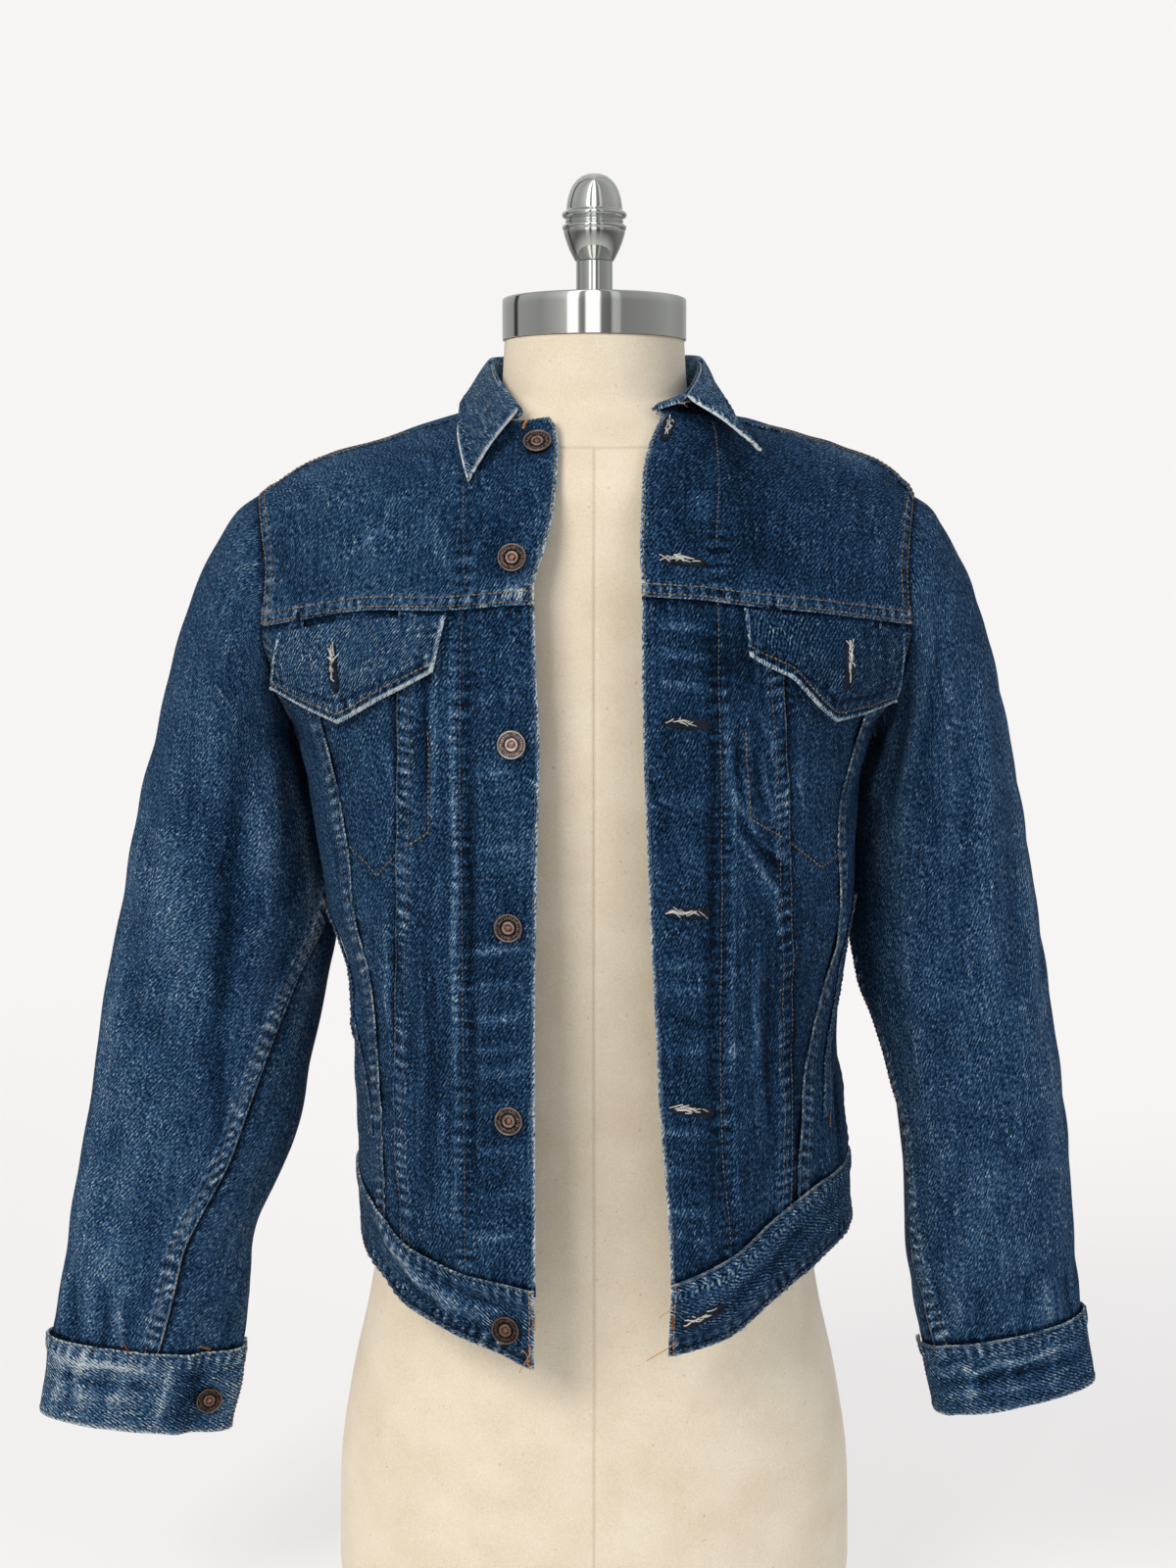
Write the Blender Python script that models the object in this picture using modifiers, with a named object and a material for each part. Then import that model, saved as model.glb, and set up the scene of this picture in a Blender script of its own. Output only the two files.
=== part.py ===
"""Denim work jacket, open at the front, on a limbless cotton dress form.

The cloth is a set of cut panels, each a thin closed wall on one shared body
surface or on one of two sleeve tubes, with a small gap at every seam.  The
dress form stands on its flat underside and carries the jacket on its
shoulders.  Units are metres, +Z is up and the front faces -Y.  Right and left
are the wearer's, so the right side is at -X.
"""
import math

import bmesh
import bpy
import numpy as np
from mathutils import Vector

# Driving dimensions
SINGLE_CLOTH = 0.0015
DOUBLE_CLOTH = 0.0024
BAND_PROUD = 0.0005
SEAM_GAP = 0.0003
ARMHOLE_GAP = 0.0006
BODY_CENTRE_X = -0.003
BUTTON_RADIUS = 0.0085
BUTTON_HEIGHT = 0.0042
BUTTON_SIDES = 14
BUTTON_CLEAR = 0.0005
BUTTON_REACH = 0.010
CAP_RADIUS = 0.0578
CAP_BOTTOM = 0.836
CAP_TOP = 0.862
CAP_EDGE = 0.0015
POLE_RADIUS = 0.0112
POLE_TOP = 0.8882
FORM_SIDES = 28
METAL_SIDES = 20

# Rings of the jacket body: height, right half width, left half width,
# front depth, back depth, and the power that squares the ring's corners
BODY_RINGS = np.array([
    (0.2200, 0.1485, 0.1650, 0.150, 0.118, 2.30),
    (0.2750, 0.1475, 0.1685, 0.149, 0.116, 2.30),
    (0.3300, 0.1485, 0.1655, 0.146, 0.114, 2.30),
    (0.4000, 0.1515, 0.1590, 0.144, 0.116, 2.30),
    (0.4420, 0.1540, 0.1620, 0.144, 0.118, 2.30),
    (0.4850, 0.1665, 0.1672, 0.144, 0.121, 2.30),
    (0.5210, 0.1725, 0.1700, 0.143, 0.123, 2.30),
    (0.5500, 0.1775, 0.1710, 0.143, 0.124, 2.30),
    (0.5940, 0.1870, 0.1785, 0.142, 0.124, 2.30),
    (0.6250, 0.2055, 0.2010, 0.140, 0.123, 2.30),
    (0.6600, 0.2190, 0.2150, 0.137, 0.121, 2.30),
    (0.7000, 0.2190, 0.2140, 0.127, 0.116, 2.25),
    (0.7350, 0.2105, 0.2055, 0.113, 0.108, 2.20),
    (0.7550, 0.1860, 0.1910, 0.101, 0.101, 2.15),
    (0.7720, 0.1430, 0.1550, 0.088, 0.092, 2.10),
    (0.7860, 0.0965, 0.1010, 0.074, 0.080, 2.10),
    (0.7910, 0.0785, 0.0800, 0.068, 0.076, 2.05),
    (0.8020, 0.0650, 0.0660, 0.055, 0.066, 2.00),
])

# Front edges: height, right edge x, left edge x
FRONT_EDGE = np.array([
    (0.221, -0.038, 0.043),
    (0.270, -0.035, 0.045),
    (0.326, -0.035, 0.042),
    (0.379, -0.035, 0.038),
    (0.437, -0.035, 0.035),
    (0.490, -0.034, 0.032),
    (0.542, -0.033, 0.030),
    (0.593, -0.032, 0.028),
    (0.638, -0.034, 0.027),
    (0.683, -0.035, 0.027),
    (0.706, -0.029, 0.026),
    (0.729, -0.024, 0.027),
    (0.750, -0.022, 0.028),
    (0.765, -0.0215, 0.031),
    (0.778, -0.023, 0.036),
    (0.785, -0.027, 0.040),
    (0.790, -0.030, 0.043),
])

# Seam between the centre and the middle panel: height, right x, left x
INNER_SEAM = np.array([
    (0.225, -0.115, 0.116),
    (0.300, -0.118, 0.118),
    (0.363, -0.121, 0.119),
    (0.448, -0.120, 0.119),
    (0.494, -0.118, 0.117),
    (0.567, -0.117, 0.115),
    (0.630, -0.116, 0.111),
    (0.680, -0.114, 0.109),
])

# Seam between the middle and the side panel: height, right x, left x
OUTER_SEAM = np.array([
    (0.225, -0.125, 0.122),
    (0.320, -0.129, 0.1235),
    (0.378, -0.1315, 0.126),
    (0.411, -0.133, 0.132),
    (0.439, -0.135, 0.141),
    (0.468, -0.142, 0.149),
    (0.497, -0.147, 0.150),
    (0.526, -0.1495, 0.148),
    (0.554, -0.154, 0.150),
    (0.578, -0.159, 0.157),
    (0.608, -0.166, 0.164),
    (0.670, -0.174, 0.171),
])

# Yoke seam at the front: x from the middle of the body, right height, left height
FRONT_YOKE_SEAM = np.array([
    (0.020, 0.6745, 0.6785),
    (0.060, 0.6725, 0.6765),
    (0.095, 0.6700, 0.6720),
    (0.130, 0.6700, 0.6685),
    (0.165, 0.6655, 0.6640),
    (0.200, 0.6590, 0.6590),
])

# Neckline: turn from the front in degrees, right height, left height
NECKLINE = np.array([
    (12.0, 0.7850, 0.7860),
    (24.0, 0.7835, 0.7880),
    (36.0, 0.7862, 0.7930),
    (51.0, 0.7910, 0.7950),
    (74.0, 0.7965, 0.7980),
    (90.0, 0.7990, 0.8000),
    (120.0, 0.8015, 0.8015),
    (150.0, 0.8025, 0.8025),
    (180.0, 0.8030, 0.8030),
])

# Shoulder seam between the neck and the armhole: turn in degrees, height
SHOULDER_SEAM = np.array([
    (51.0, 0.7910),
    (61.0, 0.7745),
    (74.0, 0.7570),
])

# Top of the waistband and its height: turn in degrees, right top, left top,
# right band height, left band height
WAIST = np.array([
    (0.0, 0.269, 0.269, 0.048, 0.043),
    (10.0, 0.270, 0.271, 0.048, 0.043),
    (18.0, 0.273, 0.277, 0.043, 0.046),
    (28.0, 0.276, 0.288, 0.039, 0.049),
    (38.0, 0.282, 0.305, 0.038, 0.050),
    (48.0, 0.288, 0.316, 0.038, 0.050),
    (58.0, 0.301, 0.321, 0.040, 0.046),
    (75.0, 0.311, 0.322, 0.042, 0.043),
    (90.0, 0.316, 0.322, 0.043, 0.043),
    (135.0, 0.316, 0.318, 0.045, 0.045),
    (180.0, 0.314, 0.314, 0.045, 0.045),
])

YOKE_HEIGHT = 0.673
WAIST_HEIGHT = 0.280
SEARCH_STEPS = 8

# Armhole: an oval seen from the side
ARMHOLE_MIDDLE = 0.668
ARMHOLE_HALF_HEIGHT = 0.074
ARMHOLE_HALF_DEPTH = 0.070
SHOULDER_POINT = 24.0
YOKE_POINT = 96.0
UNDERARM = 180.0
BACK_YOKE_POINT = 264.0
BACK_YOKE_CENTRE_HEIGHT = 0.667
BACK_SEAM_TOP_TURN = 149.0
BACK_SEAM_BOTTOM_TURN = 161.0

# Sleeve rings from the armhole to the cuff's lower edge: outer x, outer z,
# inner x, inner z, middle y, half depth, set-back of the inner side
RIGHT_SLEEVE = np.array([
    (-0.2030, 0.7420, -0.1940, 0.5940, 0.000, 0.070, 0.000),
    (-0.2235, 0.7300, -0.1915, 0.5850, 0.001, 0.070, 0.006),
    (-0.2397, 0.7080, -0.1880, 0.5740, 0.002, 0.069, 0.014),
    (-0.2527, 0.6830, -0.1845, 0.5610, 0.003, 0.068, 0.020),
    (-0.2637, 0.6500, -0.1805, 0.5460, 0.003, 0.066, 0.025),
    (-0.2745, 0.6100, -0.1765, 0.5270, 0.003, 0.063, 0.028),
    (-0.2880, 0.5580, -0.1730, 0.5030, 0.002, 0.060, 0.028),
    (-0.2998, 0.4990, -0.1685, 0.4700, 0.000, 0.056, 0.024),
    (-0.3115, 0.4420, -0.1725, 0.4300, -0.002, 0.051, 0.016),
    (-0.3205, 0.3850, -0.1825, 0.3830, -0.005, 0.047, 0.008),
    (-0.3302, 0.3250, -0.1945, 0.3250, -0.009, 0.044, 0.003),
    (-0.3397, 0.2670, -0.2235, 0.2500, -0.013, 0.038, 0.000),
    (-0.3512, 0.2030, -0.2225, 0.1930, -0.018, 0.029, 0.000),
    (-0.3590, 0.1500, -0.2320, 0.1370, -0.020, 0.024, 0.000),
])
LEFT_SLEEVE = np.array([
    (0.1970, 0.7420, 0.1840, 0.5940, 0.000, 0.070, 0.000),
    (0.2127, 0.7320, 0.1800, 0.5860, 0.001, 0.070, 0.006),
    (0.2270, 0.7090, 0.1770, 0.5750, 0.002, 0.070, 0.014),
    (0.2402, 0.6820, 0.1740, 0.5620, 0.003, 0.069, 0.020),
    (0.2517, 0.6460, 0.1705, 0.5460, 0.003, 0.068, 0.025),
    (0.2617, 0.6030, 0.1690, 0.5270, 0.003, 0.066, 0.028),
    (0.2710, 0.5520, 0.1675, 0.5020, 0.002, 0.064, 0.028),
    (0.2803, 0.4990, 0.1660, 0.4690, 0.000, 0.062, 0.024),
    (0.2903, 0.4420, 0.1720, 0.4300, -0.002, 0.059, 0.016),
    (0.2985, 0.3850, 0.1877, 0.3830, -0.005, 0.056, 0.008),
    (0.3050, 0.3250, 0.1995, 0.3250, -0.009, 0.051, 0.003),
    (0.3100, 0.2700, 0.2015, 0.2580, -0.013, 0.044, 0.000),
    (0.3157, 0.2190, 0.2150, 0.1975, -0.016, 0.032, 0.000),
    (0.3240, 0.1710, 0.2240, 0.1500, -0.018, 0.027, 0.000),
])
SLEEVE_END = 12
CUFF_END = 13
CUFF_DROP = 0.01
SLEEVE_POWER = 2.1
ARMHOLE_BLEND = 1.5

# Underarm seam, which winds forward to the cuff: ring, right turn, left turn
UNDERARM_SEAM = np.array([
    (0.0, 180.0, 180.0),
    (5.0, 176.0, 180.0),
    (7.0, 158.0, 178.0),
    (8.0, 138.0, 176.0),
    (9.0, 128.0, 174.0),
    (10.0, 119.0, 170.0),
    (11.0, 109.0, 162.0),
    (12.0, 98.0, 152.0),
])
ELBOW_SEAM_TURNS = (264.0, 290.0)

# Largest folds of the sleeves: start turn, start ring, end turn, end ring,
# half width, height (troughs are negative)
RIGHT_SLEEVE_FOLDS = np.array([
    (104.0, 2.5, 98.0, 8.5, 0.014, -0.0040),
    (70.0, 3.0, 72.0, 7.5, 0.016, 0.0025),
    (128.0, 5.0, 112.0, 9.0, 0.012, 0.0025),
    (285.0, 6.0, 255.0, 9.0, 0.012, -0.0035),
    (40.0, 9.8, 80.0, 11.2, 0.010, -0.0020),
])
LEFT_SLEEVE_FOLDS = np.array([
    (118.0, 1.5, 138.0, 5.0, 0.010, -0.0035),
    (136.0, 2.0, 150.0, 5.0, 0.010, 0.0025),
    (84.0, 3.5, 92.0, 9.5, 0.014, -0.0038),
    (62.0, 4.0, 66.0, 8.5, 0.016, 0.0025),
    (270.0, 6.0, 300.0, 9.0, 0.012, -0.0035),
])
FOLD_CHART_RADIUS = 0.060
FOLD_CHART_RING = 0.046
FOLD_END_SHARE = 0.35
FOLD_TAPER = (0.05, 0.95)
MINIMUM_LENGTH = 1e-9
MERGE_DISTANCE = 0.00005
SHARP_ANGLE = math.radians(40)

# Steps used to measure a surface's slope
BODY_TURN_STEP = 0.4
BODY_HEIGHT_STEP = 0.0008
SLEEVE_TURN_STEP = 1.0
SLEEVE_RING_STEP = 0.02

# Collar sections from the front end to the back: share of the neckline from
# the front end, fold x, y, z, lower edge x, y, z
RIGHT_COLLAR = np.array([
    (0.00, -0.0460, -0.0700, 0.7905, -0.0750, -0.1080, 0.7460),
    (0.10, -0.0515, -0.0540, 0.7975, -0.0795, -0.0920, 0.7610),
    (0.25, -0.0590, -0.0320, 0.8080, -0.0832, -0.0690, 0.7800),
    (0.42, -0.0640, -0.0030, 0.8190, -0.0835, -0.0300, 0.7925),
    (0.60, -0.0655, 0.0240, 0.8265, -0.0800, 0.0240, 0.7965),
    (0.75, -0.0560, 0.0470, 0.8290, -0.0725, 0.0640, 0.7880),
    (0.88, -0.0330, 0.0620, 0.8295, -0.0450, 0.0900, 0.7790),
    (1.00, 0.0000, 0.0680, 0.8290, 0.0000, 0.1000, 0.7745),
])
LEFT_COLLAR = np.array([
    (0.00, 0.0560, -0.0660, 0.8000, 0.0985, -0.1050, 0.7640),
    (0.10, 0.0600, -0.0500, 0.8060, 0.0910, -0.0820, 0.7745),
    (0.25, 0.0645, -0.0300, 0.8140, 0.0850, -0.0540, 0.7870),
    (0.42, 0.0670, -0.0020, 0.8210, 0.0800, -0.0180, 0.7965),
    (0.60, 0.0670, 0.0240, 0.8270, 0.0785, 0.0260, 0.7975),
    (0.75, 0.0575, 0.0470, 0.8300, 0.0725, 0.0640, 0.7895),
    (0.88, 0.0340, 0.0620, 0.8300, 0.0450, 0.0900, 0.7795),
    (1.00, 0.0000, 0.0680, 0.8290, 0.0000, 0.1000, 0.7745),
])
COLLAR_START_TURN = 24.0
COLLAR_LIFT = 0.0013
COLLAR_ROLL = 0.0030
COLLAR_ROLL_SHARE = 0.45
COLLAR_BULGE = 0.0015
COLLAR_STATIONS = (0.0, 0.26, 0.34, 0.42, 0.70, 1.0)
COLLAR_ROWS = (0.0, 0.14, 0.26, 0.34, 0.42, 0.55, 0.70, 0.85, 1.0)

# Pocket flaps, as seen from the front: share across from the armhole side,
# top x, top z, lower edge x, lower edge z, lift of the lower edge
RIGHT_FLAP = np.array([
    (0.00, -0.188, 0.6560, -0.1945, 0.6225, 0.0022),
    (0.22, -0.165, 0.6605, -0.1720, 0.6130, 0.0028),
    (0.43, -0.145, 0.6640, -0.1490, 0.6040, 0.0032),
    (0.70, -0.115, 0.6655, -0.1190, 0.6195, 0.0036),
    (1.00, -0.086, 0.6670, -0.0920, 0.6350, 0.0045),
])
LEFT_FLAP = np.array([
    (0.00, 0.185, 0.6550, 0.1820, 0.6155, 0.0020),
    (0.22, 0.163, 0.6595, 0.1630, 0.6100, 0.0028),
    (0.45, 0.140, 0.6635, 0.1400, 0.6055, 0.0036),
    (0.62, 0.122, 0.6660, 0.1180, 0.6200, 0.0050),
    (0.82, 0.102, 0.6690, 0.1020, 0.6350, 0.0042),
    (1.00, 0.086, 0.6710, 0.0870, 0.6440, 0.0075),
])
FLAP_COLUMNS = 10
FLAP_ROWS = 4
FLAP_BULGE = 0.0050
FLAP_BULGE_SHARES = (0.08, 0.92)
FLAP_LIFT = 0.0006
FLAP_CLOTH = 0.0019

# Side pocket welts: upper turn, upper height, lower turn, lower height
RIGHT_WELT = (82.0, 0.480, 62.0, 0.345)
LEFT_WELT = (80.0, 0.490, 61.0, 0.358)
WELT_WIDTH = 0.012
WELT_LIFT = 0.0015

# Buttons on the right front, below the collar: x, height, piece they sit on
FRONT_BUTTONS = (
    (-0.0340, 0.768, "front_yoke_right"),
    (-0.0480, 0.700, "front_yoke_right"),
    (-0.0480, 0.593, "front_center_right"),
    (-0.0500, 0.486, "front_center_right"),
    (-0.0500, 0.371, "front_center_right"),
    (-0.0520, 0.246, "waistband"),
)

# Section of a button from the crown down: shares of its radius and its height
BUTTON_PROFILE = (
    (0.00, 0.82),
    (0.60, 0.80),
    (0.72, 1.00),
    (0.96, 0.86),
    (1.00, 0.42),
    (0.52, 0.36),
    (0.52, 0.00),
    (0.00, 0.00),
)
FLAP_BUTTONS = {"right": (-0.150, 0.634), "left": (0.145, 0.636)}
CUFF_BUTTON_TURNS = {"right": 133.0, "left": 216.0}
CUFF_OPENING_TURNS = {"right": (184.0, 204.0), "left": (192.0, 207.0)}
CUFF_STEP_TURNS = {"right": (113.0, 126.0), "left": (140.0, 150.0)}
CUFF_STEP_DEPTH = {"right": 0.0050, "left": -0.0030}
CUFF_STEP_LAST_TURN = 236.0
CUFF_STEP_FADE_TURN = 40.0
CUFF_STEP_FIRST_RING = 11.4
CUFF_STEP_FADE_RINGS = 0.6
CUFF_BUTTON_RING = 12.58

# Dress form rings: height, half width, front depth, back depth, power
FORM_RINGS = np.array([
    (0.0000, 0.1600, 0.1040, 0.1040, 2.2),
    (0.0500, 0.1670, 0.1100, 0.1120, 2.2),
    (0.1100, 0.1660, 0.1120, 0.1160, 2.2),
    (0.1700, 0.1580, 0.1090, 0.1100, 2.2),
    (0.2300, 0.1450, 0.1040, 0.0980, 2.2),
    (0.2900, 0.1370, 0.1010, 0.0900, 2.2),
    (0.3500, 0.1350, 0.1020, 0.0890, 2.2),
    (0.4200, 0.1380, 0.1070, 0.0930, 2.2),
    (0.5000, 0.1460, 0.1150, 0.1010, 2.2),
    (0.5700, 0.1540, 0.1200, 0.1070, 2.2),
    (0.6300, 0.1620, 0.1190, 0.1090, 2.2),
    (0.6800, 0.1700, 0.1140, 0.1070, 2.2),
    (0.7150, 0.1740, 0.1070, 0.1030, 2.2),
    (0.7380, 0.1730, 0.1030, 0.1010, 2.2),
    (0.7505, 0.1660, 0.0975, 0.0975, 2.15),
    (0.7675, 0.1390, 0.0850, 0.0885, 2.1),
    (0.7815, 0.0940, 0.0700, 0.0755, 2.1),
    (0.7900, 0.0695, 0.0615, 0.0670, 2.05),
    (0.7990, 0.0600, 0.0580, 0.0595, 2.0),
    (0.8100, 0.0580, 0.0575, 0.0580, 2.0),
    (0.8357, 0.0565, 0.0565, 0.0565, 2.0),
])

# Finial turned in metal, from its foot to its crown: height above the pole, radius
FINIAL_PROFILE = (
    (0.0003, 0.0120),
    (0.0060, 0.0154),
    (0.0130, 0.0184),
    (0.0190, 0.0190),
    (0.0208, 0.0168),
    (0.0240, 0.0190),
    (0.0272, 0.0186),
    (0.0288, 0.0160),
    (0.0340, 0.0155),
    (0.0420, 0.0124),
    (0.0484, 0.0072),
    (0.0512, 0.0000),
)

# Divisions of the panels
ALL_EDGES = ("bottom", "top", "first", "last")
FRONT_NECK_TURNS = np.array([12.0, 24.0, 33.0, 42.0, 51.0])
BACK_NECK_COLUMNS = 7
YOKE_COLUMNS = 9
YOKE_EDGE_ROWS = 5
YOKE_ROWS = 9
BACK_YOKE_ROWS = 8
ARMHOLE_ROWS = 6
SIDE_ROWS = 10
CENTRE_COLUMNS = 6
MIDDLE_COLUMNS = 4
SIDE_COLUMNS = 6
BACK_SIDE_COLUMNS = 8
BACK_CENTRE_COLUMNS = 11
BAND_ROWS = 3
SLEEVE_ROWS = 17
FIRST_SLEEVE_RINGS = (0.0, 0.5)
UPPER_SLEEVE_COLUMNS = 16
UNDER_SLEEVE_COLUMNS = 10
CUFF_COLUMNS = 29
WELT_ROWS = 8
WELT_COLUMNS = 3

DENIM = (0.036, 0.085, 0.190)
DENIM_DARK = (0.028, 0.070, 0.165)
COTTON = (0.80, 0.73, 0.60)
COPPER = (0.30, 0.19, 0.14)
CHROME = (0.80, 0.80, 0.82)


def clear_scene():
    """Remove every object that the file holds."""
    for item in list(bpy.data.objects):
        bpy.data.objects.remove(item, do_unlink=True)


def smooth(keys, values, at):
    """Read a table along a curve that never overshoots its rows."""
    keys = np.asarray(keys, float)
    values = np.asarray(values, float)
    at = np.clip(np.asarray(at, float), keys[0], keys[-1])
    step = np.diff(keys)
    rise = np.diff(values) / step
    slope = np.empty(len(keys))
    slope[0] = rise[0]
    slope[-1] = rise[-1]
    product = rise[:-1] * rise[1:]
    total = np.where(product > 0, rise[:-1] + rise[1:], 1.0)
    slope[1:-1] = np.where(product > 0, 2.0 * product / total, 0.0)
    row = np.clip(np.searchsorted(keys, at, side="right") - 1, 0, len(step) - 1)
    share = (at - keys[row]) / step[row]
    before = (1 + 2 * share) * (1 - share) ** 2 * values[row]
    before += share * (1 - share) ** 2 * step[row] * slope[row]
    after = share ** 2 * (3 - 2 * share) * values[row + 1]
    after -= share ** 2 * (1 - share) * step[row] * slope[row + 1]
    return before + after


def column(side):
    """Column of a side in the tables that hold right before left."""
    return 1 if side == "right" else 2


def unit(vectors):
    """Scale vectors to unit length."""
    length = np.linalg.norm(vectors, axis=-1, keepdims=True)
    return vectors / np.maximum(length, MINIMUM_LENGTH)


def mirrored(turn, side):
    """Turn from the front, measured the other way round on the left side."""
    return turn if side == "right" else 360.0 - turn


def body(turn, height):
    """Body surface: turn 0 is the front, 90 the right side, 180 the back."""
    across = np.sin(np.radians(turn))
    along = -np.cos(np.radians(turn))
    rings = BODY_RINGS.T
    power = smooth(rings[0], rings[5], height)
    right = smooth(rings[0], rings[1], height)
    left = smooth(rings[0], rings[2], height)
    front = smooth(rings[0], rings[3], height)
    back = smooth(rings[0], rings[4], height)
    width = np.where(across > 0, right, left)
    depth = np.where(along < 0, front, back)
    x = BODY_CENTRE_X - width * np.sign(across) * np.abs(across) ** (2 / power)
    y = depth * np.sign(along) * np.abs(along) ** (2 / power)
    return np.stack(np.broadcast_arrays(x, y, height), axis=-1)


def body_normal(turn, height):
    """Outward normal of the body surface."""
    around = body(turn + BODY_TURN_STEP, height) - body(turn - BODY_TURN_STEP, height)
    up = body(turn, height + BODY_HEIGHT_STEP) - body(turn, height - BODY_HEIGHT_STEP)
    return unit(np.cross(up, around))


def turn_of_x(x, height):
    """Turn of the point on the front of the body at a given x and height."""
    rings = BODY_RINGS.T
    power = smooth(rings[0], rings[5], height)
    offset = np.asarray(x, float) - BODY_CENTRE_X
    right = smooth(rings[0], rings[1], height)
    left = smooth(rings[0], rings[2], height)
    width = np.where(offset < 0, right, left)
    share = np.clip(np.abs(offset) / width, 0, 1) ** (power / 2)
    turn = np.degrees(np.arcsin(share))
    return np.where(offset < 0, turn, 360.0 - turn)


def front_curve(table, side, heights):
    """Turn and height of a front seam whose x is tabled by height."""
    x = smooth(table[:, 0], table[:, column(side)], heights)
    return np.stack([turn_of_x(x, heights), heights], axis=-1)


def armhole(side, angles):
    """Turn and height of the armhole; angle 0 is its top and 90 its front."""
    angles = np.radians(angles)
    height = ARMHOLE_MIDDLE + ARMHOLE_HALF_HEIGHT * np.cos(angles)
    y = -ARMHOLE_HALF_DEPTH * np.sin(angles)
    rings = BODY_RINGS.T
    power = smooth(rings[0], rings[5], height)
    front = smooth(rings[0], rings[3], height)
    back = smooth(rings[0], rings[4], height)
    depth = np.where(y < 0, front, back)
    lean = np.degrees(np.arccos(np.clip(np.abs(y) / depth, 0, 1) ** (power / 2)))
    turn = np.where(y < 0, lean, 180.0 - lean)
    return np.stack([mirrored(turn, side), height], axis=-1)


def neckline(side, turns):
    """Turn and height of the collar seam."""
    heights = smooth(NECKLINE[:, 0], NECKLINE[:, column(side)], turns)
    return np.stack([mirrored(turns, side), heights], axis=-1)


def waist_top(turns):
    """Height of the seam above the waistband at turns from 0 to 360."""
    fold = np.where(turns > 180.0, 360.0 - turns, turns)
    right = smooth(WAIST[:, 0], WAIST[:, 1], fold)
    left = smooth(WAIST[:, 0], WAIST[:, 2], fold)
    return np.where(turns > 180.0, left, right)


def waist_drop(turns):
    """Height of the waistband at turns from 0 to 360."""
    fold = np.where(turns > 180.0, 360.0 - turns, turns)
    right = smooth(WAIST[:, 0], WAIST[:, 3], fold)
    left = smooth(WAIST[:, 0], WAIST[:, 4], fold)
    return np.where(turns > 180.0, left, right)


def shoulder_seam(side, count):
    """Shoulder seam from the neck to the armhole, as turn and height."""
    tip = armhole(side, np.array([SHOULDER_POINT]))[0]
    tip_turn = mirrored(tip[0], side)
    start = neckline(side, np.array([SHOULDER_SEAM[0, 0]]))[0]
    turns = np.append(SHOULDER_SEAM[:, 0], tip_turn)
    heights = np.append(SHOULDER_SEAM[:, 1], tip[1])
    heights[0] = start[1]
    at = np.linspace(turns[0], turns[-1], count)
    return np.stack([mirrored(at, side), smooth(turns, heights, at)], axis=-1)


def front_yoke_seam(side, start_x, end_x, count):
    """Front yoke seam between two distances from the middle."""
    across = np.linspace(start_x, end_x, count)
    heights = smooth(FRONT_YOKE_SEAM[:, 0], FRONT_YOKE_SEAM[:, column(side)], across)
    x = -across if side == "right" else across
    return np.stack([turn_of_x(x, heights), heights], axis=-1)


def coons(bottom, top, first, last):
    """Fill four edges: columns run along bottom and top, rows along the others."""
    columns = len(bottom)
    rows = len(first)
    across = np.linspace(0, 1, columns)[None, :, None]
    up = np.linspace(0, 1, rows)[:, None, None]
    ruled_up = (1 - up) * bottom[None] + up * top[None]
    ruled_across = (1 - across) * first[:, None] + across * last[:, None]
    corners = (1 - up) * ((1 - across) * bottom[0] + across * bottom[-1])
    corners = corners + up * ((1 - across) * top[0] + across * top[-1])
    return ruled_up + ruled_across - corners


def drawn_in(grid, amount, sides):
    """Move the named edges of a grid inward by an amount."""
    moved = grid.copy()
    if "bottom" in sides:
        moved[0] += amount * unit(grid[1] - grid[0])
    if "top" in sides:
        moved[-1] += amount * unit(grid[-2] - grid[-1])
    if "first" in sides:
        moved[:, 0] += amount * unit(grid[:, 1] - grid[:, 0])
    if "last" in sides:
        moved[:, -1] += amount * unit(grid[:, -2] - grid[:, -1])
    return moved


def make_material(name, color, roughness, metallic=0.0):
    """Principled material with a plain colour."""
    material = bpy.data.materials.get(name)
    if material is None:
        material = bpy.data.materials.new(name)
        material.use_nodes = True
        shader = material.node_tree.nodes["Principled BSDF"]
        shader.inputs["Base Color"].default_value = (*color, 1.0)
        shader.inputs["Roughness"].default_value = roughness
        shader.inputs["Metallic"].default_value = metallic
    return material


def add_object(name, mesh, material):
    """Put a mesh in the jacket's collection under its own name."""
    item = bpy.data.objects.new(name, mesh)
    item.data.materials.append(material)
    collection.objects.link(item)
    mesh.shade_smooth()
    mesh.set_sharp_from_angle(angle=SHARP_ANGLE)
    return item


def wall(name, outer, inner, material):
    """Closed wall between an outer and an inner grid of points."""
    rows, columns = outer.shape[:2]
    count = rows * columns
    index = np.arange(count).reshape(rows, columns)
    a = index[:-1, :-1].ravel()
    b = index[:-1, 1:].ravel()
    c = index[1:, 1:].ravel()
    d = index[1:, :-1].ravel()
    outside = np.stack([a, b, c, d], axis=-1)
    inside = np.stack([a, d, c, b], axis=-1) + count
    loop = np.concatenate([index[0, :-1], index[:-1, -1], index[-1, :0:-1], index[:0:-1, 0]])
    following = np.roll(loop, -1)
    rim = np.stack([following, loop, loop + count, following + count], axis=-1)
    points = np.concatenate([outer.reshape(-1, 3), inner.reshape(-1, 3)])
    faces = np.concatenate([outside, inside, rim])
    mesh = bpy.data.meshes.new(name)
    mesh.from_pydata(points.tolist(), [], faces.tolist())
    faces_out(mesh)
    return add_object(name, mesh, material)


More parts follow.
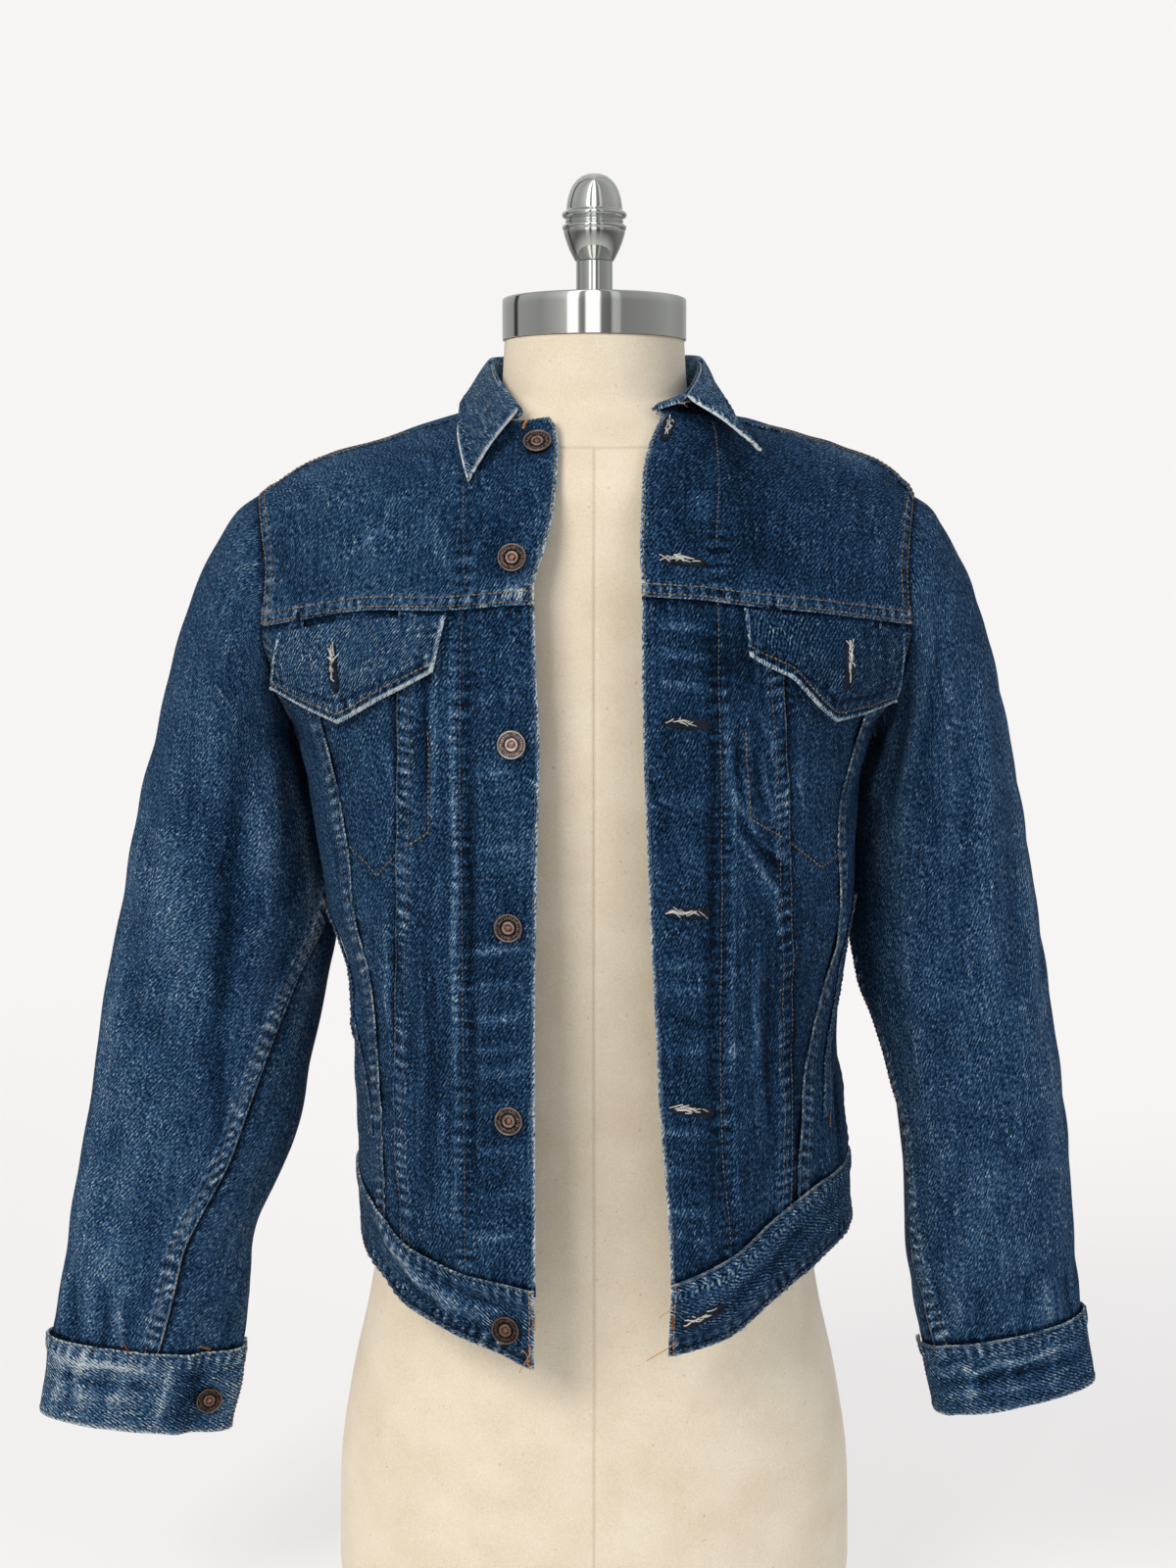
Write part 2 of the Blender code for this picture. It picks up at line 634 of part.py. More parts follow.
def faces_out(mesh):
    """Turn all faces of a closed mesh outwards."""
    shell = bmesh.new()
    shell.from_mesh(mesh)
    bmesh.ops.recalc_face_normals(shell, faces=shell.faces)
    if shell.calc_volume(signed=True) < 0:
        bmesh.ops.reverse_faces(shell, faces=shell.faces)
    shell.to_mesh(mesh)
    shell.free()


def body_panel(name, chart, sides, material, proud=0.0, thickness=SINGLE_CLOTH):
    """Wall of cloth on the body surface from a grid of turns and heights."""
    turn = chart[..., 0]
    height = chart[..., 1]
    surface = body(turn, height)
    normal = body_normal(turn, height)
    outer = drawn_in(surface + proud * normal, SEAM_GAP / 2, sides)
    inner = drawn_in(surface + (proud - thickness) * normal, SEAM_GAP / 2, sides)
    return wall(name, outer, inner, material)


def seam_heights(top, bottom):
    """Heights of the rows below the yoke: closer beside the armhole."""
    underarm = ARMHOLE_MIDDLE - ARMHOLE_HALF_HEIGHT
    upper = np.linspace(top, underarm, ARMHOLE_ROWS)
    lower = np.linspace(underarm, bottom, SIDE_ROWS)
    return np.concatenate([upper, lower[1:]])[::-1]


def seam_to_waist(table, side):
    """A front seam from the waistband up to the yoke."""
    across = np.abs(smooth(table[:, 0], table[:, column(side)], YOKE_HEIGHT))
    yoke = FRONT_YOKE_SEAM
    top = float(smooth(yoke[:, 0], yoke[:, column(side)], across))
    bottom = WAIST_HEIGHT
    for _ in range(SEARCH_STEPS):
        bottom_x = smooth(table[:, 0], table[:, column(side)], bottom)
        bottom = float(waist_top(turn_of_x(bottom_x, bottom)))
    return front_curve(table, side, seam_heights(top, bottom))


def side_outline(side, back):
    """Armhole from the yoke to the underarm, then the side seam to the waist."""
    start = BACK_YOKE_POINT if back else YOKE_POINT
    arc = armhole(side, np.linspace(start, UNDERARM, ARMHOLE_ROWS))
    turn = mirrored(90.0, side)
    heights = np.linspace(arc[-1, 1], float(waist_top(turn)), SIDE_ROWS)[1:]
    seam = np.stack([np.full(len(heights), turn), heights], axis=-1)
    return np.concatenate([arc, seam])[::-1]


def waist_edge(first, last, count):
    """Seam above the waistband between two points of it."""
    turns = np.linspace(first[0], last[0], count)
    waist_turns.extend(turns.tolist())
    return np.stack([turns, waist_top(turns)], axis=-1)


def make_front(side):
    """Yoke, centre, middle and side panel of one front."""
    edge_x = np.abs(smooth(FRONT_EDGE[:, 0], FRONT_EDGE[:, column(side)], YOKE_HEIGHT))
    tip = body(*armhole(side, np.array([YOKE_POINT]))[0])
    edge_top = neckline(side, FRONT_NECK_TURNS[:1])[0, 1]
    yoke_height = float(smooth(FRONT_YOKE_SEAM[:, 0], FRONT_YOKE_SEAM[:, column(side)], edge_x))
    bottom = front_yoke_seam(side, edge_x, abs(tip[0]), YOKE_COLUMNS)
    last = armhole(side, np.linspace(YOKE_POINT, SHOULDER_POINT, YOKE_ROWS))
    bottom[-1] = last[0]
    edge = front_curve(FRONT_EDGE, side, np.linspace(yoke_height, edge_top, YOKE_EDGE_ROWS))
    neck = neckline(side, FRONT_NECK_TURNS)
    neck[0] = edge[-1]
    first = np.concatenate([edge, neck[1:]])
    top = shoulder_seam(side, YOKE_COLUMNS)
    body_panel("front_yoke_" + side, coons(bottom, top, first, last), ALL_EDGES, denim)

    inner = seam_to_waist(INNER_SEAM, side)
    outer = seam_to_waist(OUTER_SEAM, side)
    outline = side_outline(side, back=False)
    opening = front_curve(FRONT_EDGE, side, seam_heights(yoke_height, WAIST[0, 1]))
    opening[0, 1] = float(waist_top(opening[0, 0]))
    panels = (
        ("front_center_", opening, inner, CENTRE_COLUMNS),
        ("front_mid_", inner, outer, MIDDLE_COLUMNS),
        ("front_side_", outer, outline, SIDE_COLUMNS),
    )
    for label, first, last, columns in panels:
        start_x = abs(body(*first[-1])[0])
        end_x = abs(body(*last[-1])[0])
        top = front_yoke_seam(side, start_x, end_x, columns)
        top[0] = first[-1]
        top[-1] = last[-1]
        bottom = waist_edge(first[0], last[0], columns)
        body_panel(label + side, coons(bottom, top, first, last), ALL_EDGES, denim)


def back_yoke_seam(turns):
    """Back yoke seam: a level line that rises a little to the centre."""
    end = armhole("right", np.array([BACK_YOKE_POINT]))[0]
    share = np.sin(np.radians((turns - end[0]) / (180.0 - end[0]) * 90.0))
    heights = end[1] + (BACK_YOKE_CENTRE_HEIGHT - end[1]) * share
    return np.stack([turns, heights], axis=-1)


def make_back():
    """Back yoke, centre back and the two side backs."""
    right_end = armhole("right", np.array([BACK_YOKE_POINT]))[0, 0]
    left_end = armhole("left", np.array([BACK_YOKE_POINT]))[0, 0]
    angles = np.linspace(BACK_YOKE_POINT, 360.0 + SHOULDER_POINT, BACK_YOKE_ROWS)
    first = armhole("right", angles)
    last = armhole("left", angles)
    neck_turns = np.linspace(FRONT_NECK_TURNS[-1], 180.0, BACK_NECK_COLUMNS)
    right_neck = neckline("right", neck_turns)
    left_neck = neckline("left", neck_turns)[::-1]
    right_shoulder = shoulder_seam("right", YOKE_COLUMNS)[::-1]
    left_shoulder = shoulder_seam("left", YOKE_COLUMNS)
    top = np.concatenate([right_shoulder, right_neck[1:], left_neck[1:], left_shoulder[1:]])
    bottom = back_yoke_seam(np.linspace(right_end, left_end, len(top)))
    bottom[0] = first[0]
    bottom[-1] = last[0]
    body_panel("back_yoke", coons(bottom, top, first, last), ALL_EDGES, denim)

    seams = {}
    outlines = {}
    for side in ("right", "left"):
        outlines[side] = side_outline(side, back=True)
        top_turn = mirrored(BACK_SEAM_TOP_TURN, side)
        bottom_turn = mirrored(BACK_SEAM_BOTTOM_TURN, side)
        top_point = back_yoke_seam(np.array([top_turn]))[0]
        heights = seam_heights(top_point[1], float(waist_top(bottom_turn)))
        share = (heights - heights[0]) / (heights[-1] - heights[0])
        turns = bottom_turn + (top_turn - bottom_turn) * share
        seams[side] = np.stack([turns, heights], axis=-1)
    panels = (
        ("back_side_right", outlines["right"], seams["right"], BACK_SIDE_COLUMNS),
        ("back_center", seams["right"], seams["left"], BACK_CENTRE_COLUMNS),
        ("back_side_left", seams["left"], outlines["left"], BACK_SIDE_COLUMNS),
    )
    for name, first, last, columns in panels:
        top = back_yoke_seam(np.linspace(first[-1, 0], last[-1, 0], columns))
        top[0] = first[-1]
        top[-1] = last[-1]
        bottom = waist_edge(first[0], last[0], columns)
        body_panel(name, coons(bottom, top, first, last), ALL_EDGES, denim)


def make_waistband():
    """Folded band all round the hem, open at the front, divided as the panels are."""
    turns = np.unique(np.round(waist_turns, 4))
    top = waist_top(turns)
    bottom = top - waist_drop(turns)
    heights = np.linspace(bottom, top, BAND_ROWS)
    chart = np.stack([np.broadcast_to(turns, heights.shape), heights], axis=-1)
    body_panel("waistband", chart, ("top",), denim_dark, BAND_PROUD, DOUBLE_CLOTH)


def fold_height(table, turn, ring):
    """Sum of soft ridges and troughs laid along lines on a sleeve."""
    total = np.zeros(np.broadcast(turn, ring).shape)
    for start_turn, start_ring, end_turn, end_ring, width, height in table:
        line = np.array([
            np.radians(end_turn - start_turn) * FOLD_CHART_RADIUS,
            (end_ring - start_ring) * FOLD_CHART_RING,
        ])
        apart = (turn - start_turn + 180.0) % 360.0 - 180.0
        across = np.radians(apart) * FOLD_CHART_RADIUS
        along = (ring - start_ring) * FOLD_CHART_RING
        share = np.clip((across * line[0] + along * line[1]) / (line @ line), 0, 1)
        distance = np.hypot(across - share * line[0], along - share * line[1])
        fade = np.sin(np.pi * np.clip(share, *FOLD_TAPER))
        fade = FOLD_END_SHARE + (1 - FOLD_END_SHARE) * fade
        total += height * fade * np.exp(-(distance / width) ** 2)
    return total


def sleeve_base(side, turn, ring):
    """Sleeve tube: turn 0 is its outer side, 90 its front, 180 its inner side."""
    table = RIGHT_SLEEVE if side == "right" else LEFT_SLEEVE
    rows = np.arange(len(table))
    outer_x, outer_z, inner_x, inner_z, middle_y, half_depth, set_back = (
        smooth(rows, values, ring) for values in table.T)
    c = np.cos(np.radians(turn))
    s = np.sin(np.radians(turn))
    lengthways = np.sign(c) * np.abs(c) ** (2 / SLEEVE_POWER)
    sideways = np.sign(s) * np.abs(s) ** (2 / SLEEVE_POWER)
    x = (outer_x + inner_x) / 2 + (outer_x - inner_x) / 2 * lengthways
    z = (outer_z + inner_z) / 2 + (outer_z - inner_z) / 2 * lengthways
    y = middle_y - half_depth * sideways + set_back * np.maximum(-lengthways, 0) ** 2
    return np.stack(np.broadcast_arrays(x, y, z), axis=-1)


def sleeve_smooth(side, turn, ring):
    """Sleeve tube that starts exactly on the armhole."""
    base = sleeve_base(side, turn, ring)
    seam = armhole(side, turn)
    correction = body(seam[..., 0], seam[..., 1]) - sleeve_base(side, turn, ring * 0)
    fade = np.clip(1 - ring / ARMHOLE_BLEND, 0, 1) ** 2
    return base + correction * fade[..., None]


def sleeve_normal(function, side, turn, ring):
    """Outward normal of a sleeve surface."""
    low = np.maximum(ring - SLEEVE_RING_STEP, 0)
    high = np.minimum(ring + SLEEVE_RING_STEP, CUFF_END)
    before = function(side, turn - SLEEVE_TURN_STEP, ring)
    around = function(side, turn + SLEEVE_TURN_STEP, ring) - before
    down = function(side, turn, high) - function(side, turn, low)
    hand = -1.0 if side == "right" else 1.0
    return unit(np.cross(around, down)) * hand


def sleeve(side, turn, ring):
    """Sleeve tube with its largest folds."""
    folds = RIGHT_SLEEVE_FOLDS if side == "right" else LEFT_SLEEVE_FOLDS
    height = fold_height(folds, turn, ring)
    height = height * np.clip(ring / ARMHOLE_BLEND, 0, 1)
    height = height * np.clip(SLEEVE_END - ring, 0, 1)
    step_low, step_high = CUFF_STEP_TURNS[side]
    step = np.clip((turn - step_low) / (step_high - step_low), 0, 1)
    step = step * step * (3 - 2 * step)
    step = step * np.clip((CUFF_STEP_LAST_TURN - turn) / CUFF_STEP_FADE_TURN, 0, 1)
    fade = np.clip((ring - CUFF_STEP_FIRST_RING) / CUFF_STEP_FADE_RINGS, 0, 1)
    step = step * fade * CUFF_STEP_DEPTH[side]
    normal = sleeve_normal(sleeve_smooth, side, turn, ring)
    return sleeve_smooth(side, turn, ring) + (height - step)[..., None] * normal


def sleeve_panel(name, side, turn, ring, edges, material, proud, thickness):
    """Wall of cloth on a sleeve from grids of turns and rings."""
    surface = sleeve(side, turn, ring)
    normal = sleeve_normal(sleeve, side, turn, ring)
    outward = np.array([-1.0 if side == "right" else 1.0, 0.0, 0.0])
    at_armhole = ring == 0
    lean = np.maximum(normal @ outward, 0)
    flat = unit(normal - lean[..., None] * outward)
    normal = np.where(at_armhole[..., None], flat, normal)
    surface = surface + np.where(at_armhole, ARMHOLE_GAP, 0)[..., None] * outward
    outer = drawn_in(surface + proud * normal, SEAM_GAP / 2, edges)
    inner = drawn_in(surface + (proud - thickness) * normal, SEAM_GAP / 2, edges)
    return wall(name, outer, inner, material)


def make_sleeve(side):
    """Upper sleeve, under sleeve and cuff."""
    rings = np.append(FIRST_SLEEVE_RINGS, np.linspace(1.0, SLEEVE_END, SLEEVE_ROWS))
    seam = smooth(UNDERARM_SEAM[:, 0], UNDERARM_SEAM[:, column(side)], rings)
    elbow = np.linspace(*ELBOW_SEAM_TURNS, len(rings))
    upper_share = np.linspace(0, 1, UPPER_SLEEVE_COLUMNS)
    under_share = np.linspace(0, 1, UNDER_SLEEVE_COLUMNS)
    upper_start = (elbow - 360.0)[:, None]
    upper_turn = upper_start + (seam[:, None] - upper_start) * upper_share
    under_turn = seam[:, None] + (elbow - seam)[:, None] * under_share
    for label, turn in (("sleeve_top_", upper_turn), ("sleeve_under_", under_turn)):
        ring = np.broadcast_to(rings[:, None], turn.shape)
        edges = ("top", "first", "last")
        sleeve_panel(label + side, side, turn, ring, edges, denim, 0.0, SINGLE_CLOTH)
    opening_start, opening_end = CUFF_OPENING_TURNS[side]
    turns = np.linspace(opening_end - 360.0, opening_start, CUFF_COLUMNS)
    rings = np.linspace(SLEEVE_END + CUFF_DROP, CUFF_END, BAND_ROWS)
    turn, ring = np.meshgrid(turns, rings)
    sleeve_panel("cuff_" + side, side, turn, ring, ("bottom",), denim_dark,
                 BAND_PROUD, DOUBLE_CLOTH)


def collar_half(side, share):
    """Six stations of the collar: base, inner roll, fold, outer roll, middle, edge."""
    table = RIGHT_COLLAR if side == "right" else LEFT_COLLAR
    fold = np.stack([smooth(table[:, 0], table[:, k], share) for k in (1, 2, 3)], axis=-1)
    edge = np.stack([smooth(table[:, 0], table[:, k], share) for k in (4, 5, 6)], axis=-1)
    turns = np.interp(share, [0.0, 1.0], [COLLAR_START_TURN, 180.0])
    chart = neckline(side, turns)
    base = body(chart[:, 0], chart[:, 1])
    away = edge - fold
    away[:, 2] = 0
    away = unit(away)
    base = base - 0.5 * DOUBLE_CLOTH * away
    base[:, 2] += COLLAR_LIFT
    roll = np.minimum(COLLAR_ROLL, COLLAR_ROLL_SHARE * (fold[:, 2] - base[:, 2]))[:, None]
    down = np.array([0.0, 0.0, -1.0])
    inner_roll = fold - roll * away + roll * down
    outer_roll = fold + roll * away + roll * down
    middle = 0.5 * (outer_roll + edge)
    lift = unit(np.cross(np.cross(down, away), edge - outer_roll))
    middle = middle + COLLAR_BULGE * lift * np.sign(lift[:, 2:3])
    return np.stack([base, inner_roll, fold, outer_roll, middle, edge])


def make_collar():
    """Turned-down collar on its stand, from one front end to the other."""
    front_shares = (FRONT_NECK_TURNS[1:] - COLLAR_START_TURN) / (180.0 - COLLAR_START_TURN)
    back_turns = np.linspace(FRONT_NECK_TURNS[-1], 180.0, BACK_NECK_COLUMNS)
    back_shares = (back_turns[1:] - COLLAR_START_TURN) / (180.0 - COLLAR_START_TURN)
    shares = np.concatenate([front_shares, back_shares])
    right = collar_half("right", shares)
    left = collar_half("left", shares)[:, ::-1]
    stations = np.concatenate([right, left[:, 1:]], axis=1)
    middle = np.empty((len(COLLAR_ROWS), stations.shape[1], 3))
    for section in range(stations.shape[1]):
        for axis in range(3):
            values = stations[:, section, axis]
            middle[:, section, axis] = smooth(COLLAR_STATIONS, values, COLLAR_ROWS)
    around = np.gradient(middle, axis=1)
    along = np.gradient(middle, axis=0)
    normal = unit(np.cross(along, around))
    half = DOUBLE_CLOTH / 2
    wall("collar", middle + half * normal, middle - half * normal, denim_dark)


def make_flap(side):
    """Pointed pocket flap, sewn on under the yoke and lifted at its lower edge."""
    table = RIGHT_FLAP if side == "right" else LEFT_FLAP
    share = np.linspace(0, 1, FLAP_COLUMNS + 1)
    tip = table[np.argmin(table[:, 4]), 0]
    share[np.argmin(np.abs(share - tip))] = tip
    top_x, top_z, low_x, low_z, lift = (
        np.interp(share, table[:, 0], table[:, k]) for k in range(1, 6))
    down = np.linspace(1, 0, FLAP_ROWS + 1)[:, None]
    x = top_x + (low_x - top_x) * down
    z = top_z + (low_z - top_z) * down
    turn = turn_of_x(x, z)
    surface = body(turn, z)
    normal = body_normal(turn, z)
    bulge = np.sin(np.pi * down) * np.sin(np.pi * np.clip(share, *FLAP_BULGE_SHARES))
    height = FLAP_LIFT + lift * down + FLAP_BULGE * bulge
    inner = surface + height[..., None] * normal
    outer = inner + FLAP_CLOTH * normal
    wall("pocket_flap_" + side, outer, inner, denim_dark)


def make_welt(side):
    """Narrow welt of a side pocket, lying on the side panel."""
    high_turn, high, low_turn, low = RIGHT_WELT if side == "right" else LEFT_WELT
    heights = np.linspace(low, high, WELT_ROWS)
    turns = mirrored(np.interp(heights, [low, high], [low_turn, high_turn]), side)
    middle = body(turns, heights)
    half_turn = 0.5 * np.degrees(WELT_WIDTH / np.hypot(middle[:, 0], middle[:, 1]))
    across = np.linspace(-1, 1, WELT_COLUMNS)
    turn = turns[:, None] + half_turn[:, None] * across
    height = np.broadcast_to(heights[:, None], turn.shape)
    surface = body(turn, height)
    normal = body_normal(turn, height)
    inner = surface + WELT_LIFT * normal
    outer = inner + SINGLE_CLOTH * normal
    wall("pocket_welt_" + side, outer, inner, denim_dark)


def turned(name, profile, sides, material):
    """Solid of revolution about Z from (radius, height) points, top to bottom."""
    mesh = bpy.data.meshes.new(name)
    points = [(radius, 0.0, height) for radius, height in profile]
    edges = [(k, k + 1) for k in range(len(points) - 1)]
    mesh.from_pydata(points, edges, [])
    item = bpy.data.objects.new(name, mesh)
    item.data.materials.append(material)
    collection.objects.link(item)
    screw = item.modifiers.new("turn", "SCREW")
    screw.steps = sides
    screw.render_steps = sides
    screw.use_merge_vertices = True
    screw.merge_threshold = MERGE_DISTANCE
    screw.use_smooth_shade = True
    return item


def button_profile():
    """Half section of a riveted shank button, from the crown down to the cloth."""
    return [(radius * BUTTON_RADIUS, height * BUTTON_HEIGHT) for radius, height in BUTTON_PROFILE]


def place_button(name, panel, point, normal):
    """Stand a button on the outer face of a panel, just clear of it."""
    inward = Vector(-normal)
    start = Vector(point + BUTTON_REACH * normal)
    spot = bpy.data.objects[panel].ray_cast(start, inward)[1]
    item = turned(name, button_profile(), BUTTON_SIDES, copper)
    item.location = spot - BUTTON_CLEAR * inward
    item.rotation_euler = (-inward).to_track_quat("Z", "Y").to_euler()


def make_buttons():
    """Buttons of the right front, the flaps and the cuffs."""
    bpy.context.view_layer.update()
    for number, (x, height, panel) in enumerate(FRONT_BUTTONS, 1):
        turn = float(turn_of_x(x, height))
        name = "button_front_%d" % number
        place_button(name, panel, body(turn, height), body_normal(turn, height))
    for side, (x, height) in FLAP_BUTTONS.items():
        turn = float(turn_of_x(x, height))
        panel = "front_mid_" + side
        place_button("button_flap_" + side, panel, body(turn, height), body_normal(turn, height))
    ring = np.array(CUFF_BUTTON_RING)
    for side, turn in CUFF_BUTTON_TURNS.items():
        turn = np.array(turn)
        normal = sleeve_normal(sleeve, side, turn, ring)
        place_button("button_cuff_" + side, "cuff_" + side, sleeve(side, turn, ring), normal)


def make_form():
    """Cotton torso with a flat underside, metal neck cap, pole and finial."""
    turns = np.arange(FORM_SIDES) * 2 * math.pi / FORM_SIDES
    across = np.sin(turns)
    along = -np.cos(turns)
    shell = bmesh.new()
    previous = None
    for height, width, front, back, power in FORM_RINGS:
        depth = np.where(along < 0, front, back)
        x = -width * np.sign(across) * np.abs(across) ** (2 / power)
        y = depth * np.sign(along) * np.abs(along) ** (2 / power)
        ring = [shell.verts.new((x[k], y[k], height)) for k in range(FORM_SIDES)]
        if previous is None:
            shell.faces.new(ring)
        else:
            for k in range(FORM_SIDES):
                following = (k + 1) % FORM_SIDES
                shell.faces.new((previous[k], previous[following], ring[following], ring[k]))
        previous = ring
    shell.faces.new(list(reversed(previous)))
    mesh = bpy.data.meshes.new("form_torso")
    shell.to_mesh(mesh)
    shell.free()
    faces_out(mesh)
    add_object("form_torso", mesh, cotton)

    turned("neck_cap", (
        (0.0, CAP_TOP),
        (CAP_RADIUS - CAP_EDGE, CAP_TOP),
        (CAP_RADIUS, CAP_TOP - CAP_EDGE),
        (CAP_RADIUS, CAP_BOTTOM),
        (0.0, CAP_BOTTOM),
    ), FORM_SIDES, chrome)
    turned("pole", (
        (0.0, POLE_TOP),
        (POLE_RADIUS, POLE_TOP),
        (POLE_RADIUS, CAP_TOP + SEAM_GAP),
        (0.0, CAP_TOP + SEAM_GAP),
    ), METAL_SIDES, chrome)
    crown_first = [(radius, POLE_TOP + height) for height, radius in reversed(FINIAL_PROFILE)]
    crown_first.append((0.0, POLE_TOP + FINIAL_PROFILE[0][0]))
    turned("finial", crown_first, METAL_SIDES, chrome)


clear_scene()
collection = bpy.data.collections.new("denim_jacket")
bpy.context.scene.collection.children.link(collection)
denim = make_material("washed denim", DENIM, 0.85)
denim_dark = make_material("doubled denim", DENIM_DARK, 0.85)
cotton = make_material("form cotton", COTTON, 0.9)
copper = make_material("aged copper", COPPER, 0.4, 1.0)
chrome = make_material("polished chrome", CHROME, 0.08, 1.0)

waist_turns = []
for wearer_side in ("right", "left"):
    make_front(wearer_side)
    make_sleeve(wearer_side)
    make_flap(wearer_side)
    make_welt(wearer_side)
make_back()
make_waistband()
make_collar()
make_buttons()
make_form()
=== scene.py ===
"""Looks of a washed denim work jacket, hanging open on a limbless cotton dress form.

Each cut piece of cloth is a thin closed wall, worked out on a grid of its own,
with its seams, puckers and creases in the mesh.  Units are metres, +Z is up and
the front faces -Y.  Right and left are the wearer's, so right is at -X.
"""
import math

import bpy
import numpy as np
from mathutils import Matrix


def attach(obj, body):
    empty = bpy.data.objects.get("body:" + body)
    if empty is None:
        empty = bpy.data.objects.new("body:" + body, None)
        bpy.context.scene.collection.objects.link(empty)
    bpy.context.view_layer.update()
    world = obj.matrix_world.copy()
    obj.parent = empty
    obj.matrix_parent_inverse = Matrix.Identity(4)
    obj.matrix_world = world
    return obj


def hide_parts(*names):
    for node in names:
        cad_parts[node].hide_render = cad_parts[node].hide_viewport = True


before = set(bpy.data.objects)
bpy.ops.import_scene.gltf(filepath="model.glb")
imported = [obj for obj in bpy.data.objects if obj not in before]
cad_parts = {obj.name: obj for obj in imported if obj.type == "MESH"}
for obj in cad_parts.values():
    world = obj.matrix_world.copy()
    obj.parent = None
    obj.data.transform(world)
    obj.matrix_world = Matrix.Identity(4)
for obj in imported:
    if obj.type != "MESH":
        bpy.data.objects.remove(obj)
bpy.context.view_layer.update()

# ---------------------------------------------------------------------------
# Studio: a pale floor that fades into a white surround, and large soft lights.
# The camera stands level with the chest, 1.5 m away, and looks a little down.

CAMERA_PLACE = (-0.004, -1.50, 0.706)
CAMERA_DIP = math.radians(5.71)
CAMERA_LENS = 54.0
SURROUND = "#F7F5F4"
FLOOR_RADIUS = 2.6
FLOOR_SOLID = 0.5
FLOOR_GLOW = 0.55
# What polished metal mirrors of the room: azimuth from the camera's side in degrees, brightness
ROOM_BANDS = (
    (-180, 0.78), (-137, 0.62), (-122, 0.56), (-117, 0.04), (-113, 0.04), (-109, 0.60), (-70, 0.50),
    (-48, 0.72), (-35, 0.95), (-33, 2.40), (-21, 2.40), (-19, 0.50), (-12, 0.30), (-10, 2.40), (6, 2.40),
    (8, 0.34), (20, 0.24), (23, 0.90), (31, 0.80), (34, 0.40), (72, 0.48), (108, 0.62), (140, 0.50),
    (180, 0.78))


def linear(code):
    """Colour of an sRGB hex code in linear light, as red, green, blue and alpha."""
    parts = [int(code[k:k + 2], 16) / 255 for k in (1, 3, 5)]
    return (*(p / 12.92 if p <= 0.04045 else ((p + 0.055) / 1.055) ** 2.4 for p in parts), 1.0)


def add(tree, kind, inputs=None, **settings):
    """Add a node with its settings; an input is a value or a socket to link."""
    node = tree.nodes.new("ShaderNode" + kind)
    for name, value in settings.items():
        setattr(node, name, value)
    for name, value in (inputs or {}).items():
        if isinstance(value, bpy.types.NodeSocket):
            tree.links.new(value, node.inputs[name])
        else:
            node.inputs[name].default_value = value
    return node


def material_tree(name):
    """New material with an empty node tree and its output."""
    material = bpy.data.materials.new(name)
    material.use_nodes = True
    material.node_tree.nodes.clear()
    return material, material.node_tree, add(material.node_tree, "OutputMaterial")


def soft_light(name, place, aim, size, watts, code):
    """Square area light at a place, turned to a point; metal mirrors the room's bands and not the light."""
    light = bpy.data.lights.new(name, "AREA")
    light.size = size
    light.energy = watts
    light.color = linear(code)[:3]
    item = bpy.data.objects.new(name, light)
    item.location = place
    away = np.array(place) - np.array(aim)
    item.rotation_euler = (
        math.atan2(math.hypot(away[0], away[1]), away[2]), 0.0, math.atan2(away[0], -away[1]))
    item.visible_glossy = False
    bpy.context.scene.collection.objects.link(item)


camera = bpy.data.objects.new("camera", bpy.data.cameras.new("camera"))
camera.data.lens = CAMERA_LENS
camera.location = CAMERA_PLACE
camera.rotation_euler = (math.pi / 2 - CAMERA_DIP, 0.0, 0.0)
bpy.context.scene.collection.objects.link(camera)
bpy.context.scene.camera = camera
bpy.context.scene.view_settings.view_transform = "Standard"

soft_light("key_light", (-1.5, -2.0, 2.0), (0.0, 0.0, 0.60), 1.3, 56.0, "#FFF9F2")
soft_light("fill_light", (1.9, -1.7, 1.2), (0.0, 0.0, 0.55), 1.6, 15.0, "#F2F6FF")
soft_light("back_light", (0.5, 2.3, 1.9), (0.0, 0.0, 0.60), 1.8, 30.0, "#FFFFFF")

world = bpy.data.worlds.new("studio")
world.use_nodes = True
bpy.context.scene.world = world
tree = world.node_tree
tree.nodes.clear()
path = add(tree, "LightPath")
direction = add(tree, "TexCoord")
parts = add(tree, "SeparateXYZ", {0: direction.outputs["Generated"]})
height = add(tree, "MapRange", {0: parts.outputs[2], 1: -0.5, 2: 0.9, 3: 0.24, 4: 0.56})
room = add(tree, "Background", {"Color": linear("#F4F6FA"), "Strength": height.outputs[0]})
back = add(tree, "Math", {0: parts.outputs[1], 1: -1.0}, operation="MULTIPLY")
azimuth = add(tree, "Math", {0: parts.outputs[0], 1: back.outputs[0]}, operation="ARCTAN2")
share = add(tree, "MapRange", {0: azimuth.outputs[0], 1: -math.pi, 2: math.pi})
bands = add(tree, "ValToRGB", {0: share.outputs[0]})
stops = bands.color_ramp.elements
while len(stops) < len(ROOM_BANDS):
    stops.new(0.5)
for stop, (degrees, bright) in zip(stops, ROOM_BANDS):
    stop.position = 0.5 + degrees / 360
    stop.color = (bright, bright, bright, 1.0)
over = add(tree, "MapRange", {0: parts.outputs[2], 1: -0.5, 2: 0.35, 3: 0.12, 4: 1.0})
mirrored_room = add(tree, "Background", {"Color": bands.outputs[0], "Strength": over.outputs[0]})
lit = add(tree, "MixShader", {
    0: path.outputs["Is Glossy Ray"], 1: room.outputs[0], 2: mirrored_room.outputs[0]})
seen = add(tree, "Background", {"Color": linear(SURROUND), "Strength": 1.0})
mixed = add(tree, "MixShader", {0: path.outputs["Is Camera Ray"], 1: lit.outputs[0], 2: seen.outputs[0]})
add(tree, "OutputWorld", {0: mixed.outputs[0]})

